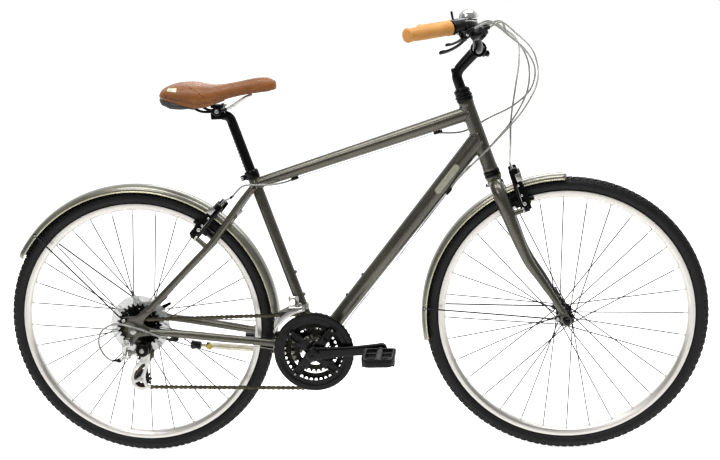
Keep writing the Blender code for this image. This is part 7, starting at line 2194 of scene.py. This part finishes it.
SKIRT = (0.108, 0.9235), (0.124, 0.912), (0.146, 0.9045), (0.168, 0.903), (0.19, 0.904), (0.22,
    0.905), (0.248, 0.912)


def make_saddle_base():
    rows = []
    for i in range(50):
        x = 0.11 + 0.262 * i / 49
        w, top, side, low = saddle_row(x)
        y = max(w - 0.015, w * 0.42)
        z = low + min(0.011, (side - low) * 0.45) - 0.0004
        ring = [
            vec(0, z),
            vec(y, z),
            vec(y * 1.01, z - 0.003),
            vec(y * 0.94, z - 0.0052),
            vec(0, z - 0.006)]
        pts = [at(x, p[0], p[1]) for p in ring] + [at(x, -p[0], p[1]) for p in reversed(ring[1:-1])]
        rows.append(pts)
    parts = [(grid(rows, True), BASE_GREY)]
    rim, tall = [], []
    for i in range(46):
        x = 0.108 + 0.14 * i / 45
        w, top, side, low = saddle_row(x)
        k = max((j for j in range(len(SKIRT) - 1) if SKIRT[j][0] <= x + 1e-09))
        t = (x - SKIRT[k][0]) / (SKIRT[k + 1][0] - SKIRT[k][0])
        edge = SKIRT[k][1] + (SKIRT[k + 1][1] - SKIRT[k][1]) * t * t * (3 - 2 * t)
        rim.append(at(x, w - 0.0072, (low + edge) / 2))
        tall.append(max((low - edge) / 2 + 0.0012, 0.002))
    rim = [vec(p.x, -p.y, p.z) for p in reversed(rim)] + rim
    parts.append((sweep(rim, list(reversed(tall)) + tall, 20, (1.0, 0.55), Z), BASE_GREY))
    for sign in (-1, 1):
        bump = [
            at(0.162, 0.05 * sign, 0.9075),
            at(0.174, 0.042 * sign, 0.905),
            at(0.188, 0.036 * sign, 0.902)]
        parts.append((sweep(even(span(bump), 10), 0.0072, 20, (0.7, 1.0), Z, 0.8, 0.8), BASE_GREY))
    for i in range(6):
        x = 0.15 + 0.018 * i
        w, top, side, low = saddle_row(x)
        z = low + min(0.011, (side - low) * 0.45) - 0.0062
        parts.append((block(at(x, 0, z), (0.0024, min(w * 1.1, 0.085), 0.0026), soft=0.0008), BASE_GREY))
    piece("saddle_shell", "saddle", parts, ("saddle_base",), 45)


RAIL = (0.174, 0.035, 0.9087), (0.188, 0.0345, 0.901), (0.201, 0.031, 0.8935), (0.214, 0.026, 0.89), (0.242,
    0.0225, 0.8905), (0.26, 0.022, 0.8925), (0.278, 0.021, 0.9005), (0.3, 0.018, 0.914), (0.315, 0.013,
    0.9222), (0.324, 0.006, 0.925), (0.326, 0.0, 0.9254)


def make_rails():
    left = [at(*p) for p in RAIL]
    pts = even(span(left), 60)
    cut = 34
    parts = []
    for sign in (-1, 1):
        side_pts = [vec(p.x, p.y * sign, p.z) for p in pts]
        parts += [(sweep(side_pts[:cut + 1], 0.0035), BLACK), (sweep(side_pts[cut:], 0.0035), SILVER)]
    parts += [
        (lathe([(0, -0.0275), (0.0105, -0.0275), (0.012, -0.0255), (0.012, 0.0255), (0.0105, 0.0275),
            (0, 0.0275)], TILT), BLACK),
        (block(TILT + vec(0, 0, 0.011), (0.032, 0.048, 0.0066), soft=0.0024), BLACK)]
    for dx in (-0.011, 0.011):
        parts.append((screw_head(TILT + vec(dx, 0, 0.0142), Z, 0.0042, 0.0034), TURNED))
    for y in (-0.0285, 0.0285):
        parts.append((screw_head(TILT + vec(0, y * 0.965, 0), (0, 1 if y > 0 else -1, 0), 0.006, 0.002),
            TURNED))
    piece("saddle_rails_wire", "saddle", parts, ("saddle_rails",))


make_saddle_base()
make_rails()

# Kickstand
STAND_CREAM = metal("stand_alloy", "d5d0ba", "b3ae9a", 0.38, 0.15)


def make_stand():
    base = STAND_PIVOT + STAND_AXIS * 0.008
    parts = [(lathe([(0, 0.0008), (0.01, 0.0008), (0.0104, 0.003), (0.0104, 0.013), (0.0092, 0.015),
        (0, 0.015)], STAND_PIVOT, STAND_AXIS, 40, r=0.0008), STAND_CREAM)]
    pts = even([base, base + STAND_FOLDED * 0.1, base + STAND_FOLDED * 0.252], 26)
    parts += [
        (sweep(pts, [0.0086 - 0.001 * i / 25 for i in range(26)], 32, cap=0.25), STAND_CREAM),
        (screw_head(STAND_PIVOT + STAND_AXIS * 0.0148, STAND_AXIS, 0.006), TURNED),
        (lathe([(0.0048, 0.244), (0.0086, 0.244), (0.0088, 0.248), (0.0086, 0.253), (0.0048, 0.253)], base,
            STAND_FOLDED, 32, True), PLASTIC)]
    piece("stand_leg", "kickstand", parts, ("kickstand_leg",))
    parts = [
        (rod(base + STAND_FOLDED * 0.2, base + STAND_FOLDED * 0.277, 0.0044), STAND_CREAM),
        (lathe([(0, 0.27), (0.0074, 0.27), (0.009, 0.272), (0.0104, 0.284), (0.0124, 0.295),
            (0.0118, 0.2962), (0, 0.2962)], base, STAND_FOLDED, 40, r=0.0008), PLASTIC)]
    piece("stand_foot", "kickstand_foot", parts, ("kickstand_foot",))
    right = STAND_FOLDED.cross(Z).normalized()
    right = right if right.y < 0 else -right
    knob = base + STAND_FOLDED * 0.243 + right * 0.007
    piece("stand_knob", "kickstand", [(lathe([(0, 0), (0.007, 0), (0.0084, 0.0012), (0.0082, 0.0034),
        (0.005, 0.0046), (0, 0.0048)], knob, right, 32, r=0.0008), YELLOW)], (), 38.0)


make_stand()


# Studio: a pale floor that keeps the shadow, a big soft overhead light and paler strips
def add_light(name, place, target, wide, deep, power, colour=(1, 1, 1)):
    data = bpy.data.lights.new(name, "AREA")
    data.shape = "RECTANGLE"
    data.size, data.size_y = wide, deep
    data.energy = power
    data.color = colour
    ob = placed(name, data)
    ob.location = place
    ob.rotation_euler = (Vector(target) - Vector(place)).to_track_quat("-Z", "Y").to_euler()
    return ob


def white_for(tree, depth, near, far):
    """1 for camera and see-through rays and for reflections of the backdrop behind the bike, else 0."""
    ray = tree.nodes.new("ShaderNodeLightPath")
    last = tree_node(tree, "ShaderNodeMapRange", {"Value": depth, "From Min": near,
        "From Max": far}).outputs[0]
    for operation, name in (("MULTIPLY", "Is Glossy Ray"), ("MAXIMUM", "Is Camera Ray"),
            ("MAXIMUM", "Is Transmission Ray")):
        last = tree_node(tree, "ShaderNodeMath", {0: last, 1: ray.outputs[name]},
            operation=operation).outputs[0]
    return last


def make_studio():
    floor = bpy.data.meshes.new("floor")
    bm = bmesh.new()
    rows = [[bm.verts.new((x, y, 0)) for x in (-9, 9)] for y in (-5, 40)]
    bm.faces.new((rows[0][0], rows[0][1], rows[1][1], rows[1][0]))
    bm.to_mesh(floor)
    bm.free()
    k = Look("studio_floor", "f4f4f4", 0.0, 0.9)
    cloud = k.noise(1.5, 2.0)
    y = k.add("ShaderNodeSeparateXYZ", {"Vector": k.where}).outputs["Y"]
    seen = white_for(k.mat.node_tree, y, -2.5, 0.4)
    glow = k.math("MULTIPLY", k.range(y, 0.5, 3.0, 0.86, 1.05), k.range(seen, 0.0, 1.0, 0.3, 1.0))
    k.set(Base_Color=k.mix(cloud, lin("f2f2f2"), lin("f7f7f7")), Emission_Color=lin("ffffff"),
        Emission_Strength=glow, Specular_IOR_Level=0.0)
    floor.materials.append(k.mat)
    ob = placed("floor", floor)
    add_light("overhead", (0.1, -0.5, 3.0), (0.0, 0.0, 0.4), 3.4, 1.1, 84)
    add_light("front_soft", (-1.6, -3.6, 3.4), (0.0, 0.0, 0.5), 1.6, 0.8, 40)
    add_light("rim_strip", (0.4, 2.6, 2.4), (0.0, 0.0, 0.6), 3.2, 0.8, 30)
    world = bpy.data.worlds.new("studio")
    world.use_nodes = True
    tree = world.node_tree
    back = tree.nodes["Background"]
    where = tree.nodes.new("ShaderNodeTexCoord").outputs["Generated"]
    split = tree_node(tree, "ShaderNodeSeparateXYZ", {0: where}).outputs
    ramp = tree_node(tree, "ShaderNodeMapRange", {"Value": split["Z"], "From Min": -0.1, "From Max": 1.0,
        "To Min": 0.1, "To Max": 0.55}).outputs[0]
    pick = tree_node(tree, "ShaderNodeMix", {0: white_for(tree, split["Y"], -0.25, 0.5), 2: ramp, 3: 1.0})
    back.inputs["Color"].default_value = 1, 1, 1, 1
    tree.links.new(pick.outputs[0], back.inputs["Strength"])
    scene.world = world


make_studio()
